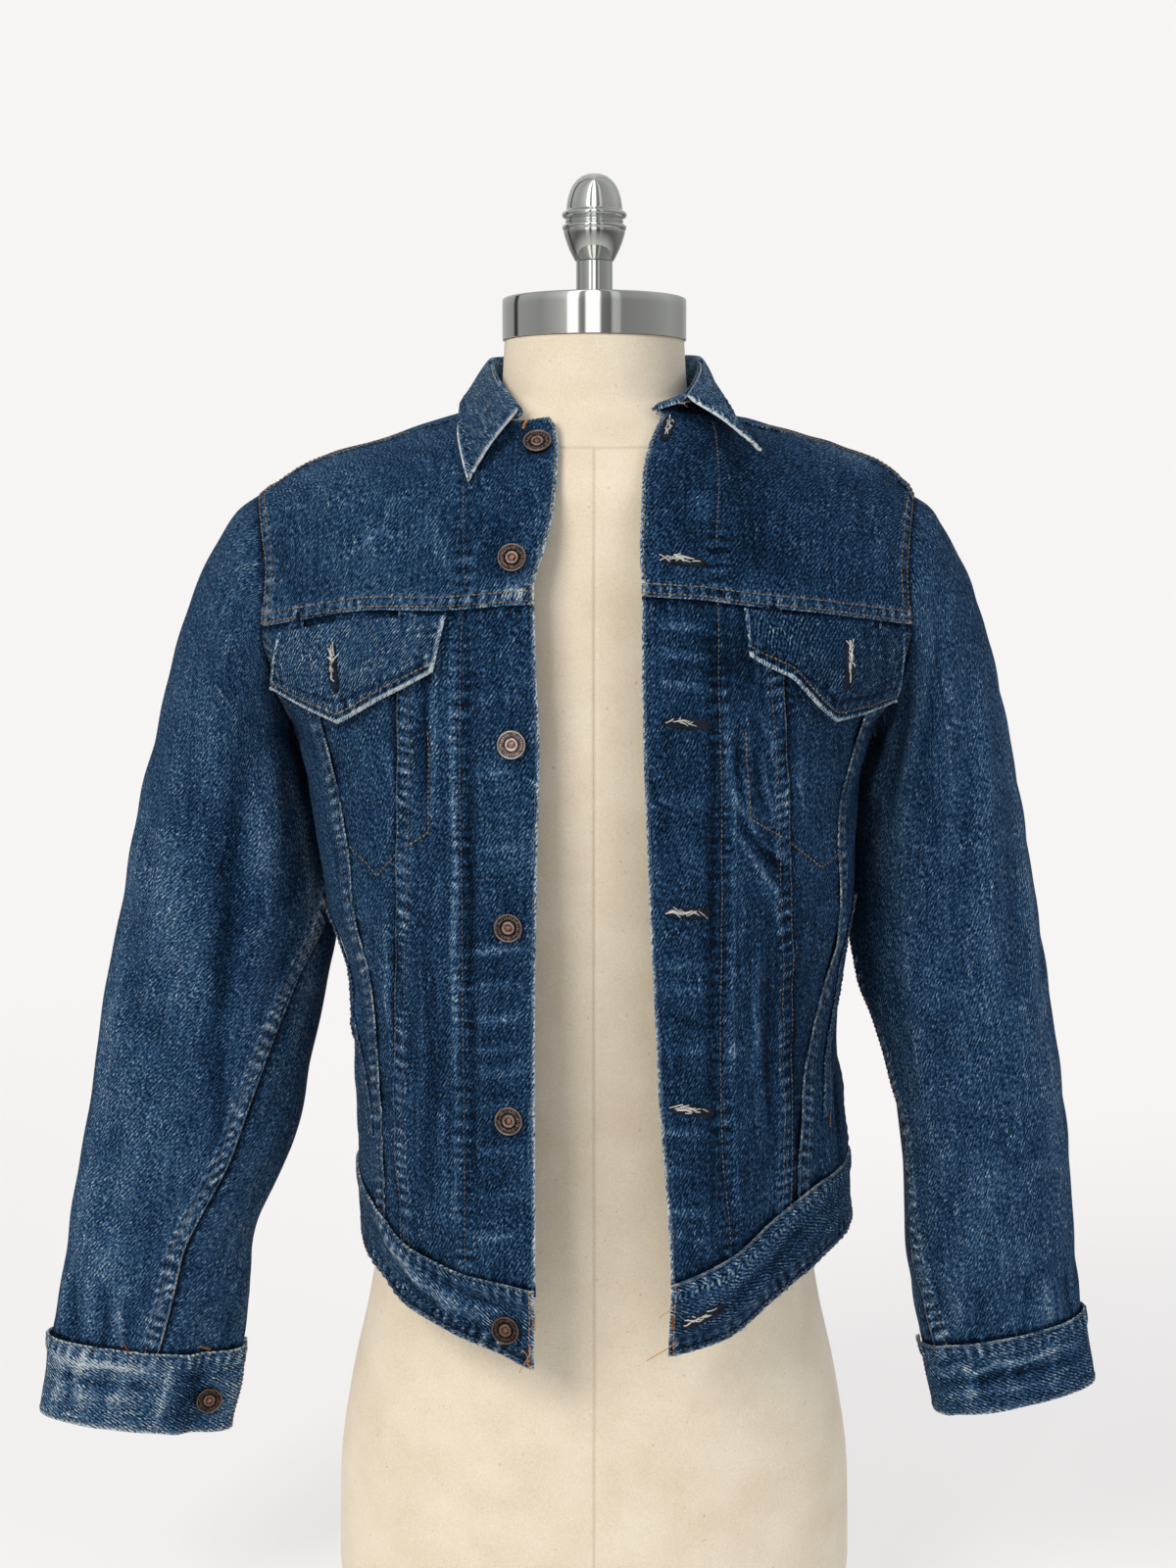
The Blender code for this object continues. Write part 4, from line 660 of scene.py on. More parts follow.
def cloth_wall(node, grid, outward, worn, thickness=None, doubled=False, turned=False):
    """Closed thin wall: the face grid, every second point of it one thickness in, and a rim.

    Both counts of the grid are odd, so that two outer edges meet each inner one.
    Its normal comes from the slopes of the rows and columns, on the side of outward.
    """
    thickness = thickness or (DOUBLED if doubled else CLOTH)
    normal = unit(np.cross(np.gradient(grid, axis=1), np.gradient(grid, axis=0)))
    normal = normal * np.sign((normal * outward).sum(axis=-1).mean())
    rows, columns = grid.shape[:2]
    count = rows * columns
    outside = quads(rows, columns)
    inside = quads(rows // 2 + 1, columns // 2 + 1)[:, ::-1] + count

    def round_edge(index):
        """Indices of a grid's points once round its rim."""
        return np.concatenate([index[0, :-1], index[:-1, -1], index[-1, :0:-1], index[:0:-1, 0]])

    outer = round_edge(np.arange(count).reshape(rows, columns))
    inner = round_edge(np.arange((rows // 2 + 1) * (columns // 2 + 1)).reshape(rows // 2 + 1, -1)) + count
    band = np.stack([np.roll(outer, -2)[::2], np.roll(outer, -1)[::2], outer[::2], inner,
                     np.roll(inner, -1)], axis=-1)
    faces = outside.tolist() + inside.tolist() + band.tolist()
    if np.cross(*middle_steps(grid)) @ normal[rows // 2, columns // 2] < 0:
        faces = [face[::-1] for face in faces]
    half = (slice(None, None, 2), slice(None, None, 2))
    points = np.concatenate([grid.reshape(-1, 3), (grid - thickness * normal)[half].reshape(-1, 3)])
    finishes = (denim_doubled,) * 2 if doubled else (denim, denim_back)
    piece = new_piece(node + "_cloth", points, faces, *finishes)
    mesh = piece.data
    side = np.zeros(len(faces), np.int32)
    side[len(outside):len(outside) + len(inside)] = 1
    mesh.polygons.foreach_set("material_index", side)
    flat = cloth_map(grid, normal, turned)
    flat = np.concatenate([flat.reshape(-1, 2), flat[half].reshape(-1, 2)])
    corner = np.zeros(len(mesh.loops), np.int32)
    mesh.loops.foreach_get("vertex_index", corner)
    mesh.uv_layers.new(name="cloth").data.foreach_set("uv", flat[corner].ravel())
    # Each piece's own wash and its painted light and shade are added here.
    worn = worn + WASH_AND_SHADE.get(node, WASH_AND_SHADE.get(node.split("_")[0], 0.0))
    # worn holds the face's wear and its painted shade; the inside gets a share of both.
    mark(piece, "worn", np.concatenate([worn.ravel(), BACK_WEAR_AND_SHADE * worn[half].ravel()]))
    mesh.set_sharp_from_angle(angle=math.radians(70))
    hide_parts(node)
    cloth_grids[node] = (grid, normal)


def close_at_ends(count, pull):
    """Shares from 0 to 1 that crowd towards both ends: a straight line less part of a sine."""
    share = np.linspace(0, 1, count)
    return share - pull * np.sin(2 * np.pi * share) / (2 * np.pi)


STITCH_PITCH = 0.0031
STITCH_LENGTH = 0.0028
STITCH_WIDTH = 0.00075
STITCH_HEIGHT = 0.0006
# How far a tucked edge runs on under its neighbour
SEAM_TUCK = 0.005


def inset_row(node, edge, inset, start=0.0, end=1.0):
    """Line on a piece's face at one distance in from an edge, and the face's normals along it."""
    grid, normal = cloth_grids[node]
    if edge in ("bottom", "top"):
        grid, normal = (np.swapaxes(part, 0, 1) for part in (grid, normal))
    if edge in ("top", "last"):
        grid, normal = grid[:, ::-1], normal[:, ::-1]
    place = lengths(grid)
    cell = np.minimum((place < inset).sum(axis=1), grid.shape[1] - 1)
    row = np.arange(len(grid))
    before = place[row, cell - 1]
    share = ((inset - before) / np.maximum(place[row, cell] - before, 1e-9))[:, None]
    line = grid[row, cell - 1] * (1 - share) + grid[row, cell] * share
    facing = unit(normal[row, cell - 1] * (1 - share) + normal[row, cell] * share)
    low, high = int(start * (len(grid) - 1)), int(end * (len(grid) - 1)) + 1
    return line[low:high], facing[low:high]


def tucked(grid, edge, reach):
    """Grid with two more rows past one edge, straight on from it, to lie under the next piece.

    The way from its fourth row to its first is carried on by half the reach and by all of it.
    """
    turned, last = edge in ("first", "last"), edge in ("top", "last")
    rows = np.swapaxes(grid, 0, 1) if turned else grid
    rows = rows[::-1] if last else rows
    way = reach * unit(rows[0] - rows[3]) if reach else 0.0 * rows[0]
    rows = np.concatenate([[rows[0] + way], [rows[0] + way / 2], rows])
    rows = rows[::-1] if last else rows
    return np.swapaxes(rows, 0, 1) if turned else rows


def with_tucks(grid, outward, worn, edges):
    """Cloth, its outward directions and its wear, each continued past the edges that are tucked."""
    for edge in edges:
        grid = tucked(grid, edge, SEAM_TUCK)
        outward, worn = (tucked(part, edge, 0.0) for part in (outward, worn))
    return grid, outward, worn


def drop_on(nodes, line):
    """Line moved onto the face of a piece, or of pieces side by side, at its nearest grid points."""
    nodes = (nodes,) if isinstance(nodes, str) else nodes
    grid, normal = (
        np.concatenate([cloth_grids[node][k].reshape(-1, 3) for node in nodes]) for k in (0, 1))
    gap = np.linalg.norm(line[:, None] - grid[None], axis=2)
    row = gap.argmin(axis=1)
    height = ((grid[row] - line) * normal[row]).sum(axis=1, keepdims=True)
    return line + height * normal[row], normal[row]


def stitches(name, finish, *sewn):
    """Rows of raised stitches, each a spindle of four sides half sunk in the cloth, as one mesh."""
    places, facings, headings = [], [], []
    for line, facing in sewn:
        place = lengths(line[None])[0]
        count = max(int(place[-1] / STITCH_PITCH), 1)
        at = (np.arange(count) + 0.5) * place[-1] / count
        spot, front, back = (
            read_along(line, place, at + step * STITCH_PITCH) for step in (0.0, 0.3, -0.3))
        places.append(spot)
        headings.append(unit(front - back))
        facings.append(unit(read_along(facing, place, at)))
    spot, heading, facing = (np.concatenate(parts)[:, None] for parts in (places, headings, facings))
    side = np.cross(facing, heading)
    ends, wide, high = STITCH_LENGTH / 2, STITCH_WIDTH / 2, STITCH_HEIGHT / 2
    corners = ((wide, 0), (0, high), (-wide, 0), (0, -high))
    belly = [(at * ends, *corner) for at in (-0.4, 0.4) for corner in corners]
    template = np.array([(-ends, 0, -high), *belly, (ends, 0, -high)])
    points = (spot + template[:, :1] * heading + template[:, 1:2] * side
              + (template[:, 2:] + 0.3 * STITCH_HEIGHT) * facing)
    shape = [(1, 0, 2), (2, 0, 3), (3, 0, 4), (4, 0, 1), (5, 6, 9), (6, 7, 9), (7, 8, 9), (8, 5, 9)]
    belt = [(1, 2, 6, 5), (2, 3, 7, 6), (3, 4, 8, 7), (4, 1, 5, 8)]
    base = (np.arange(len(points)) * len(template))[:, None, None]
    faces = (base + np.array(shape)).reshape(-1, 3).tolist()
    faces += (base + np.array(belt)).reshape(-1, 4).tolist()
    return new_piece(name, points.reshape(-1, 3), [face[::-1] for face in faces], finish)


# ---------------------------------------------------------------------------
# Fronts: each is a yoke over three panels that taper to the waist, felled
# together with two rows of thread.  The front edge is a doubled placket, and
# behind the flap a chest pocket bag is sewn through with a pointed row.

# Gap between neighbours, middle of the body, points on a seam's line and on a finished edge, and how much
# stronger a crease's tone is than its table says, both its pale wear and its painted shade
CLOTH_GAP = 0.0003
BODY_CENTRE_X = -0.003
FINE = 160
EDGE_POINTS = 89
CREASE_WEAR_AND_SHADE = 1.25
# How strongly a grid's columns and rows crowd towards its edges
EDGE_PULL = 0.6
END_PULL = 0.3
# Rows and columns of the yokes, and rows of the panels
YOKE_GRID = (101, 91)
PANEL_ROWS = 261
FRONT_SEED = {"right": 1.0, "left": 4.0}
# Rings of the jacket body: height, right and left half width, front and back
# depth, and the power that squares the ring's corners
BODY_RINGS = np.array([
    (220, 148.5, 165, 150, 118, 2.3), (275, 147.5, 168.5, 149, 116, 2.3),
    (330, 148.5, 165.5, 146, 114, 2.3), (400, 151.5, 159, 144, 116, 2.3), (442, 154, 162, 144, 118, 2.3),
    (485, 166.5, 167.2, 144, 121, 2.3), (521, 172.5, 170, 143, 123, 2.3), (550, 177.5, 171, 143, 124, 2.3),
    (594, 187, 178.5, 142, 124, 2.3), (625, 205.5, 201, 140, 123, 2.3), (660, 219, 215, 137, 121, 2.3),
    (700, 219, 214, 127, 116, 2.25), (735, 210.5, 205.5, 113, 108, 2.2), (755, 186, 191, 101, 101, 2.15),
    (772, 143, 155, 88, 92, 2.1), (786, 96.5, 101, 74, 80, 2.1), (791, 78.5, 80, 68, 76, 2.05),
    (802, 65, 66, 55, 66, 2),
]) / (1000, 1000, 1000, 1000, 1000, 1)

# Front edges: height, right edge x, left edge x
FRONT_EDGE = np.array([
    (221, -38, 43), (270, -35, 45), (326, -35, 42), (379, -35, 38), (437, -35, 35), (490, -34, 32),
    (542, -33, 30), (593, -32, 28), (638, -34, 27), (683, -35, 27), (706, -29, 26), (729, -24, 27),
    (750, -22, 28), (765, -21.5, 31), (778, -23, 36), (785, -27, 40), (790, -30, 43),
]) / 1000

# Seam between the centre and the middle panel: height, right x, left x
INNER_SEAM = np.array([
    (225, -115, 116), (300, -118, 118), (363, -121, 119), (448, -120, 119), (494, -118, 117),
    (567, -117, 115), (630, -116, 111), (680, -114, 109),
]) / 1000

# Seam between the middle and the side panel: height, right x, left x
OUTER_SEAM = np.array([
    (225, -125, 122), (320, -129, 123.5), (378, -131.5, 126), (411, -133, 132), (439, -135, 141),
    (468, -142, 149), (497, -147, 150), (526, -149.5, 148), (554, -154, 150), (578, -159, 157),
    (608, -166, 164), (670, -174, 171),
]) / 1000

# Yoke seam at the front: x from the middle of the body, right height, left height
FRONT_YOKE_SEAM = np.array([
    (20, 674.5, 678.5), (60, 672.5, 676.5), (95, 670, 672), (130, 670, 668.5), (165, 665.5, 664),
    (200, 659, 659),
]) / 1000

# Neckline: turn from the front in degrees, right height, left height
NECKLINE = np.array([
    (12, 785, 786), (24, 783.5, 788), (36, 786.2, 793), (51, 791, 795), (74, 796.5, 798), (90, 799, 800),
    (120, 801.5, 801.5), (150, 802.5, 802.5), (180, 803, 803),
]) / (1, 1000, 1000)

# Shoulder seam between the neck and the armhole: turn in degrees, height
SHOULDER_SEAM = np.array([
    (51, 791), (61, 774.5), (74, 757),
]) / (1, 1000)

# Top of the waistband and its height: turn in degrees, right top, left top,
# right band height, left band height
WAIST = np.array([
    (0, 269, 269, 48, 43), (10, 270, 271, 48, 43), (18, 273, 277, 43, 46), (28, 276, 288, 39, 49),
    (38, 282, 305, 38, 50), (48, 288, 316, 38, 50), (58, 301, 321, 40, 46), (75, 311, 322, 42, 43),
    (90, 316, 322, 43, 43), (135, 316, 318, 45, 45), (180, 314, 314, 45, 45),
]) / (1, 1000, 1000, 1000, 1000)

YOKE_HEIGHT = 0.673
WAIST_HEIGHT = 0.280
FRONT_NECK_TURN = 12.0
NECK_POINT = 51.0
# Armhole: an oval seen from the side, 0 degrees at its top and 90 at its front
ARMHOLE_MIDDLE = 0.668
ARMHOLE_HALF_HEIGHT = 0.074
ARMHOLE_HALF_DEPTH = 0.070
SHOULDER_POINT = 24.0
YOKE_POINT = 96.0
UNDERARM = 180.0
BACK_YOKE_POINT = 264.0
# Share of a side outline, from the waist up, at which the armhole's felled part starts
FELLED_FROM = 0.76
BACK_YOKE_CENTRE_HEIGHT = 0.667
BACK_SEAM_TOP_TURN = 149.0
BACK_SEAM_BOTTOM_TURN = 161.0


SIDE_COLUMN = {"right": 0, "left": 1}


def mirrored(turn, side):
    """Turn from the front, measured the other way round on the left side."""
    return turn if side == "right" else 360.0 - turn


def body(turn, height):
    """Body surface: turn 0 is the front, 90 the right side, 180 the back."""
    place = oval(turn, height, *read(BODY_RINGS, height))
    place[..., 0] += BODY_CENTRE_X
    return place


def body_normal(turn, height):
    """Outward normal of the body: across its slope by turn and its slope by height."""
    around = body(turn + 0.4, height) - body(turn - 0.4, height)
    up = body(turn, height + 0.0008) - body(turn, height - 0.0008)
    return unit(np.cross(up, around))


def turn_of_x(x, height):
    """Turn of the point on the front of the body at a given x and height."""
    right, left, _, _, power = read(BODY_RINGS, height)
    offset = np.asarray(x, float) - BODY_CENTRE_X
    share = np.clip(np.abs(offset) / np.where(offset < 0, right, left), 0, 1) ** (power / 2)
    turn = np.degrees(np.arcsin(share))
    return np.where(offset < 0, turn, 360.0 - turn)


def seam_place(table, side, at):
    """A side's value in a table that holds right before left, read at its first column."""
    return read(table, at)[SIDE_COLUMN[side]]


def front_curve(table, side, heights):
    """Turn and height of a front seam whose x is tabled by height."""
    return np.stack([turn_of_x(seam_place(table, side, heights), heights), heights], axis=-1)


def armhole(side, angles):
    """Turn and height of the armhole; angle 0 is its top and 90 its front."""
    angles = np.radians(angles)
    height = ARMHOLE_MIDDLE + ARMHOLE_HALF_HEIGHT * np.cos(angles)
    y = -ARMHOLE_HALF_DEPTH * np.sin(angles)
    _, _, front, back, power = read(BODY_RINGS, height)
    share = np.clip(np.abs(y) / np.where(y < 0, front, back), 0, 1) ** (power / 2)
    lean = np.degrees(np.arccos(share))
    return np.stack([mirrored(np.where(y < 0, lean, 180.0 - lean), side), height], axis=-1)


def neckline(side, turns):
    """Turn and height of the collar seam."""
    return np.stack([mirrored(turns, side), seam_place(NECKLINE, side, turns)], axis=-1)


def waist(turns):
    """Top of the waistband, and its height, at turns from 0 to 360."""
    right_top, left_top, right_drop, left_drop = read(WAIST, np.minimum(turns, 360.0 - turns))
    return np.where(turns > 180.0, (left_top, left_drop), (right_top, right_drop))


def shoulder_seam(side, count):
    """Shoulder seam from the neck to the armhole, as turn and height."""
    tip = armhole(side, np.array([SHOULDER_POINT]))[0]
    tip_turn = mirrored(tip[0], side)
    start = neckline(side, np.array([NECK_POINT]))[0]
    turns = np.append(SHOULDER_SEAM[:, 0], tip_turn)
    heights = np.append(SHOULDER_SEAM[:, 1], tip[1])
    heights[0] = start[1]
    at = np.linspace(turns[0], turns[-1], count)
    return np.stack([mirrored(at, side), smooth(turns, heights, at)], axis=-1)


def front_yoke_seam(side, start_x, end_x, count):
    """Front yoke seam between two distances from the middle."""
    across = np.linspace(start_x, end_x, count)
    heights = seam_place(FRONT_YOKE_SEAM, side, across)
    x = -across if side == "right" else across
    return np.stack([turn_of_x(x, heights), heights], axis=-1)


def shares_along(line, shares, corner=None):
    """Turns and heights of a line at shares of its length, with its one corner kept."""
    place = lengths(body(*line.T)[None])[0]
    at = shares * place[-1]
    if corner is not None:
        at[np.argmin(np.abs(at - place[corner]))] = place[corner]
    return read_along(line, place, at)


def filled(bottom, top, first, last, rows, columns, corner=None):
    """Coons patch: the rulings between both pairs of edges, less the ruling of the corners."""
    across = close_at_ends(columns, EDGE_PULL)
    up = close_at_ends(rows, END_PULL)
    bottom, top = (shares_along(line, across) for line in (bottom, top))
    first, last = shares_along(first, up, corner), shares_along(last, up)
    across = across[None, :, None]
    up = up[:, None, None]
    ruled_up = (1 - up) * bottom[None] + up * top[None]
    ruled_across = (1 - across) * first[:, None] + across * last[:, None]
    corners = (1 - up) * ((1 - across) * bottom[0] + across * bottom[-1])
    corners = corners + up * ((1 - across) * top[0] + across * top[-1])
    return ruled_up + ruled_across - corners


def drawn_in(grid, amount):
    """Move the four edges of a grid inward, so that neighbours never touch."""
    moved = grid.copy()
    moved[0] += amount * unit(grid[1] - grid[0])
    moved[-1] += amount * unit(grid[-2] - grid[-1])
    moved[:, 0] += amount * unit(grid[:, 1] - grid[:, 0])
    moved[:, -1] += amount * unit(grid[:, -2] - grid[:, -1])
    return moved


def rumple(points, seed):
    """Soft unevenness of worn cloth: three waves, 90 to 25 mm long, that cross at odd angles."""
    x, y, z = np.moveaxis(points, -1, 0)
    waves = np.sin(70 * x + 41 * z + seed) + 0.6 * np.sin(130 * z - 90 * y + 35 * x + 2 * seed)
    waves += 0.4 * np.sin(210 * x - 160 * z + 120 * y + 3 * seed)
    return np.array([0.0006 * waves, 0.03 * waves])


def sewn_line(points, line, seed, strength):
    """Row of thread through two layers: a narrow trough darkened with painted shade, with puckers on both its
    sides.
    """
    distance, along = near(points, line)
    waves = rope(along, seed) * bell(distance - 0.0030, 0.0035) * strength
    # The trough's tone is darkened with painted shade.
    dent = bell(distance, 0.0010) * strength ** 0.5
    return np.array([0.0005 * waves - 0.0004 * dent, 0.32 * waves - 0.30 * dent])


def finished(base, seed, finish, creases, rows=()):
    """Height and tone of a piece, wear and painted shade: its edges, its listed creases and its sewn rows
    together.
    """
    form = rumple(base, seed)
    edges = edges_of(base)
    for k, (place, kind, strength, *part) in enumerate(finish):
        low, high = part or (0.0, 1.0)
        line = few(edges[place], EDGE_POINTS + 1)[int(low * EDGE_POINTS):int(high * EDGE_POINTS) + 1]
        form = form + EDGE_FINISH[kind](base, line, seed + 1.3 * k, strength)
    for width, lift, tone, line in creases:
        form = form + crease(base, line, width / 1000, lift / 1000, CREASE_WEAR_AND_SHADE * tone)
    for k, line in enumerate(rows):
        form = form + sewn_line(base, line, seed + 0.7 * k, 1.0 if k == 0 else 0.3)
    return form


def laid(table, line_on):
    """Creases of a table, each with its points laid on the cloth: they follow its first three values."""
    return [(*row[:3], line_on(np.reshape(row[3:], (-1, 2)))) for row in table]


def body_cloth(node, chart, seed, finish, creases, rows=(), tucks=()):
    """Piece on the body: its height in each point stands on the body along its normal."""
    chart = np.moveaxis(chart, -1, 0)
    base = body(*chart)
    outward = body_normal(*chart)
    lift, worn = finished(base, seed, finish, creases, rows)
    grid = drawn_in(base + lift[..., None] * outward, CLOTH_GAP / 2)
    cloth_wall(node, *with_tucks(grid, outward, worn, tucks))


def front_line(points):
    """Points given as x and height in millimetres, put on the front of the body."""
    x, height = np.array(points, float).T / 1000
    return body(turn_of_x(x, height), height)


# Creases: width, height and tone of a ridge or trough, then x and height for each point along it, in
# millimetres.  Pale tones are wear and dark ones painted shade, as under the collar's points and beside the
# placket.  Those with no height are soft fades.
FRONT_CREASES = {
    "right": (
        (2.2, 1.4, 0.42, -82, 664, -83, 607, -82, 552, -82, 500, -83, 453, -83, 300),
        (3.2, -1.2, -0.34, -73, 664, -73, 552, -73, 453, -73, 300),
        (3.2, 1.1, 0.26, -91, 622, -95, 574, -97, 540), (1.8, 0.6, 0.3, -94, 664, -92, 640, -96, 600),
        (2.4, -0.7, -0.26, -98, 640, -100, 600, -99, 560),
        (1.8, 0.6, 0.24, -122, 590, -118, 560, -124, 530),
        (2.6, -0.6, -0.22, -116, 500, -118, 460, -114, 420),
        (2, 0.6, 0.24, -124, 500, -126, 440, -122, 380), (1.8, 0.5, 0.2, -92, 520, -94, 470, -91, 420),
        (3, 0.6, 0.16, -90, 400, -92, 350, -90, 300), (12, 0, -0.12, -60, 762, -58, 724, -57, 690),
        (14, 0, -0.16, -50, 790, -42, 770, -40, 752), (24, 0, 0.14, -108, 800, -150, 775, -172, 730),
        (12, 0, -0.16, -99, 520, -98, 420, -98, 310), (12, 0, -0.12, -58, 490, -58, 400, -58, 300),
        (1.4, -0.4, -0.18, -99, 612, -99, 536), (5, 1.8, 0.22, -147, 438, -150, 387, -150, 335),
        (4, 1.2, 0.2, -102, 732, -91, 709, -82, 686), (2.2, 0.5, 0.14, -140, 730, -131, 705, -128, 682),
        (5, 0.9, 0.5, -54, 681, -40, 680), (3.6, -0.8, -0.42, -45, 780, -56, 768, -70, 750),
        (2, 0.5, 0.22, -62, 722, -70, 704, -74, 690), (16, 0, -0.16, -86, 730, -70, 712, -48, 694),
        (6, 0, -0.24, -178, 668, -166, 660, -150, 664), (2, 0.6, 0.24, -118, 740, -126, 716, -150, 698),
        (3, 0.8, 0.16, -104, 470, -103, 400, -106, 330),
    ),
    "left": (
        (2, 1.3, 0.24, 79, 664, 81, 560, 82, 500, 81, 420, 84, 340, 88, 300),
        (2, 0.9, 0.36, 80, 566, 88, 548, 97, 534, 118, 519),
        (2.6, -0.8, -0.34, 82, 556, 92, 538, 106, 521, 118, 511),
        (2, 0.8, 0.34, 80, 545, 91, 527, 109, 500, 116, 486), (1.8, 0.7, 0.3, 85, 584, 89, 560, 95, 538),
        (2.2, -0.7, -0.34, 81, 600, 84, 576, 88, 556), (2, 0.6, 0.28, 97, 524, 104, 500, 113, 470),
        (2.4, -0.7, -0.28, 101, 540, 112, 500, 114, 460), (1.8, 0.6, 0.26, 124, 600, 121, 570, 126, 540),
        (1.8, 0.6, 0.24, 94, 450, 96, 420, 93, 390), (2.6, -0.6, -0.22, 104, 450, 103, 400, 106, 350),
        (1.8, 0.5, 0.22, 110, 440, 111, 400, 114, 352),
        (3.2, -1.2, -0.3, 68, 664, 69, 560, 69, 453, 72, 310),
        (3, 1.3, 0.18, 73, 640, 77, 598, 76, 574, 80, 560, 90, 547),
        (2.8, 1.1, 0.34, 96, 613, 103, 595, 108, 576), (2.4, 0.8, 0.22, 87, 620, 89, 596, 90, 561),
        (1.4, 0.4, 0.26, 113, 772, 132, 748), (12, 0, -0.16, 60, 774, 56, 740, 54, 706),
        (15, 0, -0.2, 50, 790, 78, 776, 88, 735, 94, 690), (14, 0, -0.14, 60, 716, 96, 706, 130, 690),
        (8, 0, 0.16, 58, 742, 60, 730, 62, 720), (14, 0, -0.2, 60, 664, 76, 640, 84, 622),
        (14, 0, -0.14, 150, 400, 156, 360, 160, 310), (24, 0, 0.34, 104, 806, 140, 786, 172, 750),
        (20, 0, -0.14, 108, 510, 118, 420, 128, 330), (8, 0, 0.16, 46, 540, 56, 526, 60, 512),
        (5, 2, 0.26, 146, 494, 162, 422, 171, 352), (4.5, -2.2, -0.34, 151, 382, 153, 322),
        (8, 2, 0.1, 166, 380, 168, 296), (2, -0.8, -0.3, 46, 432, 58, 428, 68, 423),
        (5, 0.5, 0.34, 80, 414, 84, 406), (1.8, 0.7, 0.3, 98, 588, 101, 566, 107, 546),
        (2.2, -0.7, -0.26, 94, 590, 96, 566, 101, 548), (2, 0.6, 0.26, 118, 582, 112, 560, 116, 542),
        (1.8, 0.6, 0.24, 84, 520, 88, 492, 86, 470), (3.4, 0.9, 0.16, 98, 500, 97, 430, 101, 350),
    ),
}
# Heights of the placket's cross puckers, and how pale each has worn
PLACKET_PUCKERS = {
    "right": ((576, 0.20), (567, 0.12), (531, 0.18), (521, 0.12), (472, 0.36), (451, 0.18), (431, 0.32),
              (413, 0.18), (399, 0.20), (378, 0.24), (352, 0.22), (325, 0.16), (300, 0.20), (620, 0.10)),
    "left": ((661, 0.30), (644, 0.22), (627, 0.26), (560, 0.14), (463, 0.20), (448, 0.16), (412, 0.12),
             (363, 0.22), (340, 0.12), (315, 0.18), (300, 0.12)),
}
PLACKET_REACH = {"right": (-73, -41), "left": (69, 35)}
PLACKET_ROW = {
    "right": ((-77, 748), (-76, 683), (-78, 651), (-79, 568), (-78, 498), (-78, 422), (-78, 361), (-77, 283)),
    "left": ((71, 784), (71, 706), (72, 629), (74, 568), (75, 498), (74, 418), (76, 350), (82, 290)),
}
POCKET_ROWS = {
    "right": (((-98, 600), (-98, 540), (-118, 526), (-131, 511)), ((-131, 511), (-140, 520), (-149, 527))),
    "left": (((88, 600), (91, 548), (106, 539), (120, 529), (136, 515)), ((136, 515), (150, 522))),
}


def seam_to_waist(table, side):
    """A front seam from the waistband up to the yoke, as turns and heights."""
    across = np.abs(seam_place(table, side, YOKE_HEIGHT))
    top = float(seam_place(FRONT_YOKE_SEAM, side, across))
    bottom = WAIST_HEIGHT
    for _ in range(8):
        bottom = float(waist(turn_of_x(seam_place(table, side, bottom), bottom))[0])
    return front_curve(table, side, np.linspace(bottom, top, FINE))


def side_outline(side, back):
    """Side seam from the waist up to the underarm, then the armhole up to the yoke."""
    start = BACK_YOKE_POINT if back else YOKE_POINT
    arc = armhole(side, np.linspace(start, UNDERARM, FINE))
    turn = mirrored(90.0, side)
    heights = np.linspace(arc[-1, 1], waist(turn)[0], FINE)[1:]
    return np.concatenate([arc, np.stack([0 * heights + turn, heights], axis=-1)])[::-1]


def waist_edge(first, last):
    """Seam above the waistband between two points of it."""
    turns = np.linspace(first[0], last[0], FINE)
    return np.stack([turns, waist(turns)[0]], axis=-1)


